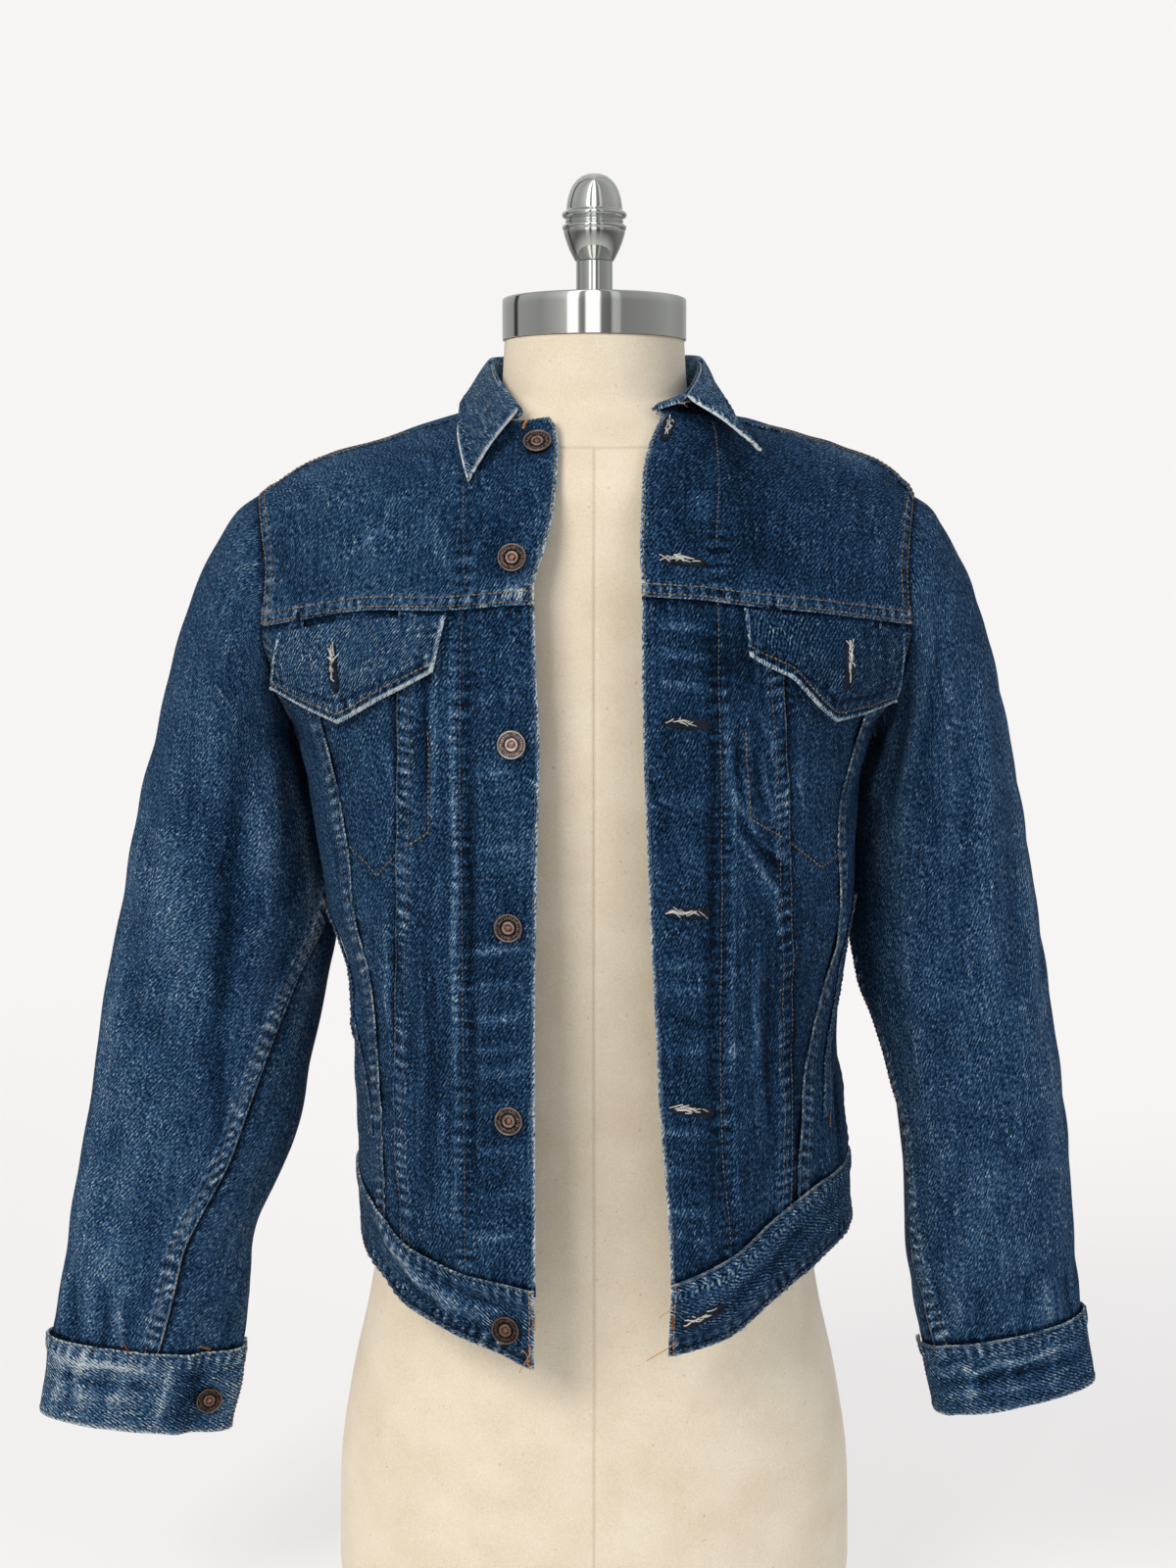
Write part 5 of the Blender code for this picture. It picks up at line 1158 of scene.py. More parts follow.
for side in ("right", "left"):
    seed = FRONT_SEED[side]
    creases = laid(FRONT_CREASES[side], front_line)
    for height, tone in PLACKET_PUCKERS[side]:
        outer, inner = PLACKET_REACH[side]
        line = front_line(((outer, height - 2), ((outer + inner) / 2, height), (inner, height + 2)))
        creases.append((2.8, 1.1, 1.15 * tone, line))
    rows = [front_line(PLACKET_ROW[side])] + [front_line(points) for points in POCKET_ROWS[side]]

    edge_x = np.abs(seam_place(FRONT_EDGE, side, YOKE_HEIGHT))
    edge_top = neckline(side, np.array([FRONT_NECK_TURN]))[0, 1]
    yoke_low = float(seam_place(FRONT_YOKE_SEAM, side, edge_x))
    last = armhole(side, np.linspace(YOKE_POINT, SHOULDER_POINT, FINE))
    bottom = front_yoke_seam(side, edge_x, abs(body(*last[0])[0]), FINE)
    bottom[-1] = last[0]
    tip = front_curve(FRONT_EDGE, side, np.array([edge_top]))[0]
    neck = neckline(side, np.linspace(float(mirrored(tip[0], side)), NECK_POINT, 40))
    neck[0] = tip
    edge = front_curve(FRONT_EDGE, side, np.linspace(yoke_low, edge_top, 60))
    first = np.concatenate([edge, neck[1:]])
    chart = filled(bottom, shoulder_seam(side, FINE), first, last, *YOKE_GRID, corner=len(edge) - 1)
    body_cloth("front_yoke_" + side, chart, seed, (
        ("first", "free", 0.9), ("bottom", "over", 1.0), ("last", "over", 0.8), ("top", "under", 1.0)),
        creases, rows[:1])

    inner = seam_to_waist(INNER_SEAM, side)
    outer = seam_to_waist(OUTER_SEAM, side)
    outline = side_outline(side, back=False)
    opening = front_curve(FRONT_EDGE, side, np.linspace(waist(0.0)[0], yoke_low, FINE))
    opening[0, 1] = waist(opening[0, 0])[0]
    for name, first, last, count, tucks, finish in (
            ("front_center_", opening, inner, 75, ("top", "bottom"), (
                ("first", "free", 1.0), ("last", "wide", 1.0), ("top", "under", 1.0),
                ("bottom", "under", 1.0))),
            ("front_mid_", inner, outer, 41, ("first", "last", "top", "bottom"), (
                ("first", "under", 0.8), ("last", "under", 0.8), ("top", "under", 0.7),
                ("bottom", "under", 1.0))),
            ("front_side_", outer, outline, 51, ("top", "bottom"), (
                ("first", "wide", 1.0), ("last", "over", 0.7, FELLED_FROM, 1.0),
                ("last", "under", 0.8, 0.0, FELLED_FROM), ("top", "under", 0.7),
                ("bottom", "under", 1.0)))):
        top = front_yoke_seam(side, abs(body(*first[-1])[0]), abs(body(*last[-1])[0]), FINE)
        top[[0, -1]] = first[-1], last[-1]
        chart = filled(waist_edge(first[0], last[0]), top, first, last, PANEL_ROWS, count)
        body_cloth(name + side, chart, seed + len(name), finish, creases, rows, tucks)

# ---------------------------------------------------------------------------
# Back: one yoke from shoulder to shoulder over a centre back and two side
# backs, felled as the fronts are.  It hangs straighter, with soft long folds.

# Shares of the yoke's upper edge between which it lies under the collar
YOKE_NECK = (0.27, 0.73)
BACK_YOKE_GRID = (71, 181)
BACK_ROWS = 181
BACK_SEED = 7.0
# Creases: width, height in millimetres and tone, pale wear on ridges and painted shade in troughs, then turn
# in degrees and height in metres for each point
BACK_CREASES = (
    (9, 2, 0.12, 172, 0.64, 170, 0.56, 172, 0.47), (7, -1.6, -0.12, 178, 0.63, 179, 0.54, 177, 0.43),
    (9, 1.8, 0.12, 192, 0.6, 190, 0.5, 194, 0.4), (6, 1.4, 0.14, 140, 0.42, 134, 0.37, 130, 0.325),
    (6, 1.4, 0.14, 222, 0.43, 226, 0.38, 231, 0.33), (6, -1.5, -0.14, 118, 0.64, 126, 0.6, 138, 0.56),
    (6, -1.5, -0.14, 243, 0.645, 236, 0.605, 224, 0.57), (5, 1.3, 0.16, 112, 0.625, 121, 0.585, 131, 0.548),
    (5, 1.3, 0.16, 249, 0.63, 241, 0.59, 230, 0.553), (4, 0.9, 0.16, 150, 0.745, 146, 0.715, 148, 0.685),
    (4, 0.9, 0.16, 205, 0.75, 212, 0.72, 208, 0.69), (7, 1.4, 0.1, 103, 0.52, 106, 0.44, 102, 0.36),
    (7, 1.4, 0.1, 257, 0.53, 254, 0.45, 258, 0.37),
)


def back_yoke_seam(turns):
    """Back yoke seam: a level line that rises a little to the centre."""
    end = armhole("right", np.array([BACK_YOKE_POINT]))[0]
    share = np.sin(np.radians((turns - end[0]) / (180.0 - end[0]) * 90.0))
    return np.stack([turns, end[1] + (BACK_YOKE_CENTRE_HEIGHT - end[1]) * share], axis=-1)


def back_seam(side):
    """Seam between the centre back and a side back, a line straight in turn and height."""
    top_turn, bottom_turn = (mirrored(turn, side) for turn in (BACK_SEAM_TOP_TURN, BACK_SEAM_BOTTOM_TURN))
    heights = np.linspace(waist(bottom_turn)[0], back_yoke_seam(np.array([top_turn]))[0, 1], FINE)
    return np.stack([np.linspace(bottom_turn, top_turn, FINE), heights], axis=-1)


creases = laid(BACK_CREASES, lambda points: body(*points.T))
sides = [armhole(side, np.linspace(BACK_YOKE_POINT, 360.0 + SHOULDER_POINT, FINE))
         for side in ("right", "left")]
neck_turns = np.linspace(NECK_POINT, 180.0, FINE)
top = np.concatenate([
    shoulder_seam("right", FINE)[::-1], neckline("right", neck_turns)[1:],
    neckline("left", neck_turns)[-2::-1], shoulder_seam("left", FINE)[1:]])
bottom = back_yoke_seam(np.linspace(sides[0][0, 0], sides[1][0, 0], FINE))
chart = filled(bottom, top, sides[0], sides[1], *BACK_YOKE_GRID)
body_cloth("back_yoke", chart, BACK_SEED, (
    ("bottom", "over", 1.0), ("first", "over", 0.8), ("last", "over", 0.8),
    ("top", "over", 0.35, 0.0, YOKE_NECK[0]), ("top", "over", 0.35, YOKE_NECK[1], 1.0)), creases)
for node, first, last, finish in (
        ("back_side_right", side_outline("right", True), back_seam("right"), (
            ("first", "over", 0.8, FELLED_FROM, 1.0), ("first", "over", 0.8, 0.0, FELLED_FROM),
            ("last", "over", 0.9))),
        ("back_center", back_seam("right"), back_seam("left"), (
            ("first", "under", 0.9), ("last", "under", 0.9))),
        ("back_side_left", back_seam("left"), side_outline("left", True), (
            ("first", "over", 0.9), ("last", "over", 0.8, FELLED_FROM, 1.0),
            ("last", "over", 0.8, 0.0, FELLED_FROM)))):
    top = back_yoke_seam(np.linspace(first[-1, 0], last[-1, 0], FINE))
    top[[0, -1]] = first[-1], last[-1]
    centre = node == "back_center"
    chart = filled(waist_edge(first[0], last[0]), top, first, last, BACK_ROWS, 61 if centre else 47)
    finish = finish + (("top", "under", 1.0), ("bottom", "under", 1.0))
    tucks = ("top", "bottom", "first", "last") if centre else ("top", "bottom")
    body_cloth(node, chart, BACK_SEED + 1 + len(node), finish, creases, tucks=tucks)

# ---------------------------------------------------------------------------
# Waistband: one strip of doubled denim, cut with its warp along it, over the
# gathered lower edge of the body.  Its long edges have shrunk into puckers.

# How far the band stands off the body, x and height of its ends, and how far up
# from the hem its row of thread runs
BAND_PROUD = 0.0008
BAND_ENDS = (-0.0355, 0.0445)
BAND_END_HEIGHT = 0.270
BAND_ROW_INSET = 0.004
BAND_GRID = (33, 521)
BAND_SEED = 11.0
# Creases of the band: width, height and tone, pale tones wear and dark ones painted shade, then x and height
# for each point, in millimetres
BAND_CREASES = (
    (5, 2.2, 0.42, -134, 305, -124, 285, -105, 268, -86, 260, -65, 254, -54, 258),
    (3, -1.2, -0.3, -128, 300, -112, 281, -95, 272, -76, 264, -52, 261),
    (4, -1, -0.2, -120, 272, -102, 256, -84, 246, -60, 240), (4, 1.2, 0.24, -92, 262, -84, 244),
    (4, 1.1, 0.24, -112, 280, -104, 262), (5, 1.4, 0.2, 58, 262, 80, 270, 102, 286, 122, 304),
    (4, -1.2, -0.24, 62, 254, 84, 261, 106, 276, 128, 298),
)
turn = np.linspace(*turn_of_x(np.array(BAND_ENDS), BAND_END_HEIGHT), BAND_GRID[1])
top, drop = waist(turn)
height = top - drop * (1 - close_at_ends(BAND_GRID[0], EDGE_PULL)[:, None])
base = body(turn, height)
outward = body_normal(turn, height)
edges = edges_of(base)
form = rumple(base, BAND_SEED)
for place, kind, strength, count in (
        ("top", "over", 1.0, 260), ("bottom", "free", 0.6, 260), ("first", "free", 0.9, 20),
        ("last", "free", 0.9, 20)):
    form = form + EDGE_FINISH[kind](base, few(edges[place], count), BAND_SEED + strength, strength)
for width, lift, tone, line in laid(BAND_CREASES, front_line):
    form = form + crease(base, line, width / 1000, lift / 1000, tone)
row = few(edges["bottom"], 260) + np.array([0, 0, BAND_ROW_INSET])
form = form + sewn_line(base, row, 3.0, 1.6)
grid = drawn_in(base + (BAND_PROUD + form[0])[..., None] * outward, CLOTH_GAP / 2)
cloth_wall("waistband", grid, outward, form[1], doubled=True, turned=True)

# ---------------------------------------------------------------------------
# Sleeves: an upper and an under piece each, felled down the inner front with
# strong puckers.  They hang hollow, bent a little at the elbow, and their ends
# are gathered into the cuffs.

# Rings from the armhole down: outer x and height, inner x and height, middle y,
# half depth, and how far the inner side is set back
SLEEVES = {
    "right": np.array([
        (-203, 742, -194, 594, 0, 70, 0), (-223.5, 730, -191.5, 585, 1, 70, 6),
        (-239.7, 708, -188, 574, 2, 69, 14), (-252.7, 683, -184.5, 561, 3, 68, 20),
        (-263.7, 650, -180.5, 546, 3, 66, 25), (-274.5, 610, -176.5, 527, 3, 63, 28),
        (-288, 558, -173, 503, 2, 60, 28), (-299.8, 499, -168.5, 470, 0, 56, 24),
        (-311.5, 442, -172.5, 430, -2, 51, 16), (-320.5, 385, -182.5, 383, -5, 47, 8),
        (-330.2, 325, -194.5, 325, -9, 44, 3), (-339.7, 267, -223.5, 250, -13, 38, 0),
        (-351.2, 203, -222.5, 193, -18, 29, 0), (-359, 150, -232, 137, -20, 24, 0),
    ]) / 1000,
    "left": np.array([
        (197, 742, 184, 594, 0, 70, 0), (212.7, 732, 180, 586, 1, 70, 6), (227, 709, 177, 575, 2, 70, 14),
        (240.2, 682, 174, 562, 3, 69, 20), (251.7, 646, 170.5, 546, 3, 68, 25),
        (261.7, 603, 169, 527, 3, 66, 28), (271, 552, 167.5, 502, 2, 64, 28),
        (280.3, 499, 166, 469, 0, 62, 24), (290.3, 442, 172, 430, -2, 59, 16),
        (298.5, 385, 187.7, 383, -5, 56, 8), (305, 325, 199.5, 325, -9, 51, 3),
        (310, 270, 201.5, 258, -13, 44, 0), (315.7, 219, 215, 197.5, -16, 32, 0),
        (324, 171, 224, 150, -18, 27, 0),
    ]) / 1000,
}
SLEEVE_END = 12
CUFF_END = 13
CUFF_DROP = 0.01
SLEEVE_POWER = 2.1
ARMHOLE_BLEND = 1.5
ARMHOLE_GAP = 0.0006
# Share of the first ring over which a sleeve's cloth levels out to its armhole
ARMHOLE_LEVEL = 0.12

# Turn of the felled front seam by ring, right and left, then of the elbow seam at
# the armhole and at the cuff
UNDERARM_SEAM = np.array([
    (0, 180, 180), (5, 176, 180), (7, 158, 178), (8, 138, 176), (9, 128, 174), (10, 119, 170),
    (11, 109, 162), (12, 98, 152),
])
ELBOW_SEAM_TURNS = (264.0, 290.0)

# Largest folds: turn and ring at both ends, width and height
SLEEVE_FOLDS = {
    "right": np.array([
        (104, 2.5, 98, 8.5, 14, -4), (70, 3, 72, 7.5, 16, 2.5), (128, 5, 112, 9, 12, 2.5),
        (285, 6, 255, 9, 12, -3.5), (40, 9.8, 80, 11.2, 10, -2),
    ]) / (1, 1, 1, 1, 1000, 1000),
    "left": np.array([
        (118, 1.5, 138, 5, 10, -3.5), (136, 2, 150, 5, 10, 2.5), (84, 3.5, 92, 9.5, 14, -3.8),
        (62, 4, 66, 8.5, 16, 2.5), (270, 6, 300, 9, 12, -3.5),
    ]) / (1, 1, 1, 1, 1000, 1000),
}
FOLD_CHART_RADIUS = 0.060
FOLD_CHART_RING = 0.046
FOLD_END_SHARE = 0.35
FOLD_TAPER = (0.05, 0.95)
CUFF_GRID = (37, 201)
SLEEVE_SEED = {"right": 13.0, "left": 17.0}
# Turns at both ends of the cuff's opening, then the shallow step round its inner
# side: where it rises, how deep it is, and the turns and rings where it fades
CUFF_OPENING_TURNS = {"right": (184.0, 204.0), "left": (192.0, 207.0)}
CUFF_STEP_TURNS = {"right": (113.0, 126.0), "left": (140.0, 150.0)}
CUFF_STEP_DEPTH = {"right": 0.0050, "left": -0.0030}
CUFF_STEP_LAST_TURN = 236.0
CUFF_STEP_FADE_TURN = 40.0
CUFF_STEP_FIRST_RING = 11.4
CUFF_STEP_FADE_RINGS = 0.6
# Creases: width, height and tone, where pale tones are wear and dark ones painted shade, then turn and ring
# for each point
SLEEVE_CREASES = {
    "right": (
        (7, -2.6, -0.6, 112, 2.4, 108, 4, 98, 6.6, 100, 8.4),
        (6, 0, -0.7, 92, 4.4, 92, 6.6, 98, 8.6, 114, 10.4), (9, 0, 0.5, 112, 3, 106, 5, 112, 6.4),
        (12, 0, 0.4, 62, 6.2, 72, 7.6, 84, 8.8), (10, 0, 0.44, 26, 6, 32, 9, 38, 11.8),
        (12, 0, 0.4, 60, 9.4, 64, 10.6, 62, 11.8), (11, 0, 0.9, 134, 2.4, 146, 6, 150, 9),
        (7, 1.6, 0.2, 126, 3, 122, 5, 116, 7), (9, 1.3, 0.14, 34, 1.6, 60, 2.4, 76, 2.9, 86, 4.9),
        (8, -1.3, -0.14, 62, 4.6, 74, 6.2, 76, 8), (7, 1.5, 0.16, 48, 5, 58, 7, 60, 8.8),
        (6, -1.3, -0.16, 30, 7.4, 52, 8.4, 84, 9), (6, 1.2, 0.14, 28, 8.2, 56, 9.3, 88, 9.8),
        (5, -1.2, -0.16, 34, 10, 60, 10.6, 92, 10.6), (3, -1.2, -0.28, 36, 11.4, 46, 11.95),
        (3, -1.2, -0.28, 62, 11.3, 70, 11.95), (3, -1.2, -0.24, 80, 11.4, 83, 11.95),
        (4, 1.2, 0.24, 52, 11.3, 58, 11.95), (4, 1.2, 0.24, 74, 11.3, 77, 11.95),
        (4, 1.2, 0.2, 22, 11.3, 28, 11.95), (3, -1.1, -0.22, 8, 11.3, 12, 11.95),
        (3, -1.1, -0.22, 150, 11.3, 146, 11.95), (3, -1.1, -0.22, 230, 11.3, 234, 11.95),
        (3, -1.1, -0.22, 270, 11.3, 272, 11.95), (3, -1.1, -0.22, 305, 11.3, 302, 11.95),
        (7, -1.8, -0.16, 225, 6.3, 262, 6.9, 300, 7.5), (6, -1.6, -0.16, 232, 7.6, 268, 7.9, 305, 8.1),
        (7, 1.6, 0.14, 228, 7, 264, 7.4, 303, 7.8), (9, 1.6, 0.12, 300, 1.5, 310, 3.5, 318, 5.5),
        (8, -1.5, -0.12, 255, 2, 262, 3.6, 275, 5), (8, 1.4, 0.12, 330, 5.5, 336, 7.5, 332, 9.5),
    ),
    "left": (
        (5, 2, 0.24, 80, 1.2, 90, 2.4, 108, 3.1, 116, 4.1, 126, 5.6),
        (5, -2.4, -0.34, 68, 1.4, 78, 2.5, 96, 3.4, 105, 4.6, 114, 6.2),
        (8, 1.3, 0.14, 58, 1.8, 64, 2.5, 84, 4.1, 92, 6.4), (10, 0, 0.44, 22, 3.4, 28, 6, 36, 8.4, 40, 11),
        (8, 0, 0.44, 130, 1.6, 138, 4, 142, 6.4), (9, 0, -0.3, 96, 4.6, 100, 6, 104, 7.4),
        (6, -1.9, -0.22, 62, 3.2, 72, 4.6, 82, 6.7, 98, 7.9, 122, 9.2),
        (7, 1.7, 0.2, 52, 3.4, 62, 5.2, 72, 7, 84, 8.4), (6, -1.3, -0.14, 30, 5.4, 44, 6.8, 62, 8.2),
        (6, 1.3, 0.16, 24, 6.6, 42, 8, 70, 9.4), (5, 1.5, 0.24, 118, 6.6, 124, 8, 138, 9.6),
        (5, -1.4, -0.22, 104, 9.4, 118, 10.4, 134, 11.2), (5, 1.3, 0.2, 88, 9.8, 104, 10.6, 118, 11.3),
        (3, -1.2, -0.28, 136, 11.2, 148, 11.95), (5, 1.3, 0.34, 118, 11.1, 130, 11.95),
        (3, -1.2, -0.26, 104, 11.3, 110, 11.95), (3, -1.2, -0.24, 76, 11.3, 80, 11.95),
        (4, 1.2, 0.2, 60, 11.3, 64, 11.95), (3, -1.2, -0.24, 38, 11.4, 42, 11.95),
        (3, -1.1, -0.22, 12, 11.3, 14, 11.95), (3, -1.1, -0.22, 232, 11.3, 230, 11.95),
        (3, -1.1, -0.22, 268, 11.3, 266, 11.95), (3, -1.1, -0.22, 310, 11.3, 314, 11.95),
        (7, -1.8, -0.16, 232, 6.4, 270, 7, 308, 7.4), (6, -1.6, -0.16, 236, 7.7, 272, 8, 306, 8.3),
        (7, 1.6, 0.14, 234, 7, 271, 7.5, 308, 7.9), (9, 1.6, 0.12, 298, 1.8, 306, 3.6, 322, 5.4),
        (8, -1.5, -0.12, 250, 2.2, 260, 3.8, 272, 5.2), (8, 1.4, 0.12, 334, 6, 338, 8, 330, 10),
    ),
}


def fold_height(table, turn, ring):
    """Sum of soft ridges and troughs laid along lines on a sleeve."""
    total = np.zeros(np.broadcast(turn, ring).shape)
    for start_turn, start_ring, end_turn, end_ring, width, height in table:
        line = np.array([
            np.radians(end_turn - start_turn) * FOLD_CHART_RADIUS,
            (end_ring - start_ring) * FOLD_CHART_RING,
        ])
        apart = (turn - start_turn + 180.0) % 360.0 - 180.0
        across = np.radians(apart) * FOLD_CHART_RADIUS
        along = (ring - start_ring) * FOLD_CHART_RING
        share = np.clip((across * line[0] + along * line[1]) / (line @ line), 0, 1)
        distance = np.hypot(across - share * line[0], along - share * line[1])
        fade = np.sin(np.pi * np.clip(share, *FOLD_TAPER))
        fade = FOLD_END_SHARE + (1 - FOLD_END_SHARE) * fade
        total += height * fade * bell(distance, width)
    return total


def sleeve_base(side, turn, ring):
    """Sleeve tube: turn 0 is its outer side, 90 its front, 180 its inner side."""
    table = SLEEVES[side]
    rows = np.arange(len(table))
    outer_x, outer_z, inner_x, inner_z, middle_y, half_depth, set_back = (
        smooth(rows, values, ring) for values in table.T)
    c = np.cos(np.radians(turn))
    s = np.sin(np.radians(turn))
    lengthways = np.sign(c) * np.abs(c) ** (2 / SLEEVE_POWER)
    sideways = np.sign(s) * np.abs(s) ** (2 / SLEEVE_POWER)
    x = (outer_x + inner_x) / 2 + (outer_x - inner_x) / 2 * lengthways
    z = (outer_z + inner_z) / 2 + (outer_z - inner_z) / 2 * lengthways
    y = middle_y - half_depth * sideways + set_back * np.maximum(-lengthways, 0) ** 2
    return np.stack(np.broadcast_arrays(x, y, z), axis=-1)


def sleeve_smooth(side, turn, ring):
    """Sleeve tube that starts exactly on the armhole."""
    base = sleeve_base(side, turn, ring)
    seam = armhole(side, turn)
    correction = body(*np.moveaxis(seam, -1, 0)) - sleeve_base(side, turn, ring * 0)
    fade = np.clip(1 - ring / ARMHOLE_BLEND, 0, 1) ** 2
    return base + correction * fade[..., None]


def sleeve_normal(function, side, turn, ring):
    """Outward normal of a sleeve surface, from its slopes by turn and by ring."""
    before = function(side, turn - 1.0, ring)
    around = function(side, turn + 1.0, ring) - before
    down = (function(side, turn, np.minimum(ring + 0.02, CUFF_END))
            - function(side, turn, np.maximum(ring - 0.02, 0)))
    return unit(np.cross(around, down)) * (-1.0 if side == "right" else 1.0)


def sleeve(side, turn, ring):
    """Sleeve tube with its largest folds."""
    height = fold_height(SLEEVE_FOLDS[side], turn, ring) * np.clip(ring / ARMHOLE_BLEND, 0, 1)
    height = height * np.clip(SLEEVE_END - ring, 0, 1)
    step = rise(turn, *CUFF_STEP_TURNS[side])
    step = step * np.clip((CUFF_STEP_LAST_TURN - turn) / CUFF_STEP_FADE_TURN, 0, 1)
    fade = np.clip((ring - CUFF_STEP_FIRST_RING) / CUFF_STEP_FADE_RINGS, 0, 1)
    step = step * fade * CUFF_STEP_DEPTH[side]
    normal = sleeve_normal(sleeve_smooth, side, turn, ring)
    return sleeve_smooth(side, turn, ring) + (height - step)[..., None] * normal


def sleeve_line(side, points):
    """Points given as turn and ring, put on a sleeve with a few more between them."""
    turn, ring = np.array(points, float).T
    at = np.linspace(0, len(turn) - 1, 5 * len(turn))
    order = np.arange(len(turn))
    return sleeve(side, np.interp(at, order, turn), np.interp(at, order, ring))


def sleeve_cloth(node, side, turn, ring, seed, finish, creases, tucks=(), doubled=False):
    """Piece on a sleeve tube; the ring at the armhole stands a little off the body."""
    base = sleeve(side, turn, ring)
    normal = sleeve_normal(sleeve, side, turn, ring)
    outward = np.array([-1.0 if side == "right" else 1.0, 0.0, 0.0])
    at_armhole = np.clip(1 - ring / ARMHOLE_LEVEL, 0, 1)[..., None]
    flat = unit(normal - np.maximum(normal @ outward, 0)[..., None] * outward)
    normal = unit(normal * (1 - at_armhole) + flat * at_armhole)
    base = base + ARMHOLE_GAP * at_armhole * outward
    lift, worn = finished(base, seed, finish, creases)
    lift = lift * (1 - at_armhole[..., 0]) + (BAND_PROUD if doubled else 0.0)
    grid = drawn_in(base + lift[..., None] * normal, CLOTH_GAP / 2)
    cloth_wall(node, *with_tucks(grid, normal, worn, tucks), doubled=doubled, turned=doubled)


# Creases of the cuffs: width, height and tone, pale tones wear and dark ones painted shade, then turn and
# ring for each point
CUFF_CREASES = {
    "right": (
        (2.5, 1.2, 0.55, 20, 12.2, 50, 12.24, 75, 12.2, 100, 12.26),
        (3, -0.9, -0.26, 24, 12.4, 60, 12.44, 96, 12.42), (2.6, 0.8, 0.24, 30, 12.58, 66, 12.62, 90, 12.6),
        (2, 1.1, 0.42, 105, 12.1, 104, 12.5, 101, 12.95), (12, 0, -0.42, 121, 12, 120, 12.5, 119, 12.98),
        (4, 0.7, 0.26, 34, 12.15, 38, 12.5, 32, 12.9), (3, 0.6, 0.26, 56, 12.1, 52, 12.45, 60, 12.8),
        (4, -0.7, -0.22, 46, 12.3, 48, 12.6, 42, 12.9), (3, 0.6, 0.22, 78, 12.1, 82, 12.4, 76, 12.8),
        (3.6, -0.6, -0.2, 68, 12.35, 71, 12.7, 66, 12.9),
    ),
    "left": (
        (2, 1.4, 0.44, 160, 12.26, 146, 12.4, 132, 12.3, 118, 12.42, 104, 12.3, 84, 12.36, 60, 12.3,
         30, 12.38),
        (2.4, -1, -0.3, 158, 12.48, 132, 12.52, 104, 12.5, 60, 12.52, 28, 12.54),
        (2.4, 0.7, 0.22, 150, 12.72, 110, 12.7, 60, 12.74),
        (3.4, 0.6, 0.24, 128, 12.2, 124, 12.5, 130, 12.9),
        (3.4, -0.6, -0.2, 112, 12.3, 116, 12.6, 110, 12.9), (3, 0.6, 0.22, 92, 12.15, 96, 12.5, 90, 12.85),
        (3.4, 0.6, 0.2, 66, 12.2, 62, 12.5, 68, 12.9),
    ),
}
for side in ("right", "left"):
    seed = SLEEVE_SEED[side]
    creases = [(width, 1.3 * lift, (0.35 if width > 4 else 0.8) * tone, line) for width, lift, tone, line
               in laid(SLEEVE_CREASES[side], lambda points: sleeve_line(side, points))]
    rings = np.concatenate([[0.0, 0.04, 0.10, 0.18, 0.28, 0.4], np.linspace(0.5, 11.6, 220),
                            11.6 + 0.4 * (1 - np.linspace(1, 0, 16)[1:] ** 1.5)])
    seam = seam_place(UNDERARM_SEAM, side, rings)
    elbow = np.interp(rings, (0, SLEEVE_END), ELBOW_SEAM_TURNS)
    for name, start, end, count, tucks, finish in (
            ("sleeve_top_", elbow - 360.0, seam, 111, ("top",), (
                ("first", "over", 0.8), ("last", "wide", 1.5), ("bottom", "under", 0.6),
                ("top", "under", 0.9))),
            ("sleeve_under_", seam, elbow, 61, ("top", "first", "last"), (
                ("first", "under", 1.2), ("last", "under", 0.8), ("bottom", "under", 0.6),
                ("top", "under", 0.9)))):
        turn = start[:, None] + (end - start)[:, None] * close_at_ends(count, EDGE_PULL)
        ring = np.broadcast_to(rings[:, None], turn.shape)
        sleeve_cloth(name + side, side, turn, ring, seed, finish, creases, tucks)
    # Cuff: a doubled band, its warp along it, buttoned over an opening at the back
    creases = laid(CUFF_CREASES[side], lambda points: sleeve_line(side, points))
    start, end = CUFF_OPENING_TURNS[side]
    turn, ring = np.meshgrid(
        end - 360.0 + (start - end + 360.0) * close_at_ends(CUFF_GRID[1], END_PULL),
        SLEEVE_END + CUFF_DROP + (1 - CUFF_DROP) * close_at_ends(CUFF_GRID[0], EDGE_PULL))
    sleeve_cloth("cuff_" + side, side, turn, ring, seed + 5, (
        ("bottom", "over", 1.0), ("top", "free", 0.8), ("first", "free", 0.9), ("last", "free", 0.9)),
        creases, doubled=True)

# ---------------------------------------------------------------------------
# Collar: two layers on a narrow stand, folded down, with its points spread.
# Washing has bleached its fold and frayed its edges to the white weft.

# Stations from the front end to the middle of the back: share, then x, y and
# height of the fold, then of the edge
COLLARS = {
    "right": np.array([
        (0, -46, -70, 790.5, -75, -108, 746), (0.1, -51.5, -54, 797.5, -79.5, -92, 761),
        (0.25, -59, -32, 808, -83.2, -69, 780), (0.42, -64, -3, 819, -83.5, -30, 792.5),
        (0.6, -65.5, 24, 826.5, -80, 24, 796.5), (0.75, -56, 47, 829, -72.5, 64, 788),
        (0.88, -33, 62, 829.5, -45, 90, 779), (1, 0, 68, 829, 0, 100, 774.5),
    ]) / (1, 1000, 1000, 1000, 1000, 1000, 1000),
    "left": np.array([
        (0, 56, -66, 800, 98.5, -105, 764), (0.1, 60, -50, 806, 91, -82, 774.5),
        (0.25, 64.5, -30, 814, 85, -54, 787), (0.42, 67, -2, 821, 80, -18, 796.5),
        (0.6, 67, 24, 827, 78.5, 26, 797.5), (0.75, 57.5, 47, 830, 72.5, 64, 789.5),
        (0.88, 34, 62, 830, 45, 90, 779.5), (1, 0, 68, 829, 0, 100, 774.5),
    ]) / (1, 1000, 1000, 1000, 1000, 1000, 1000),
}
COLLAR_START_TURN = 24.0
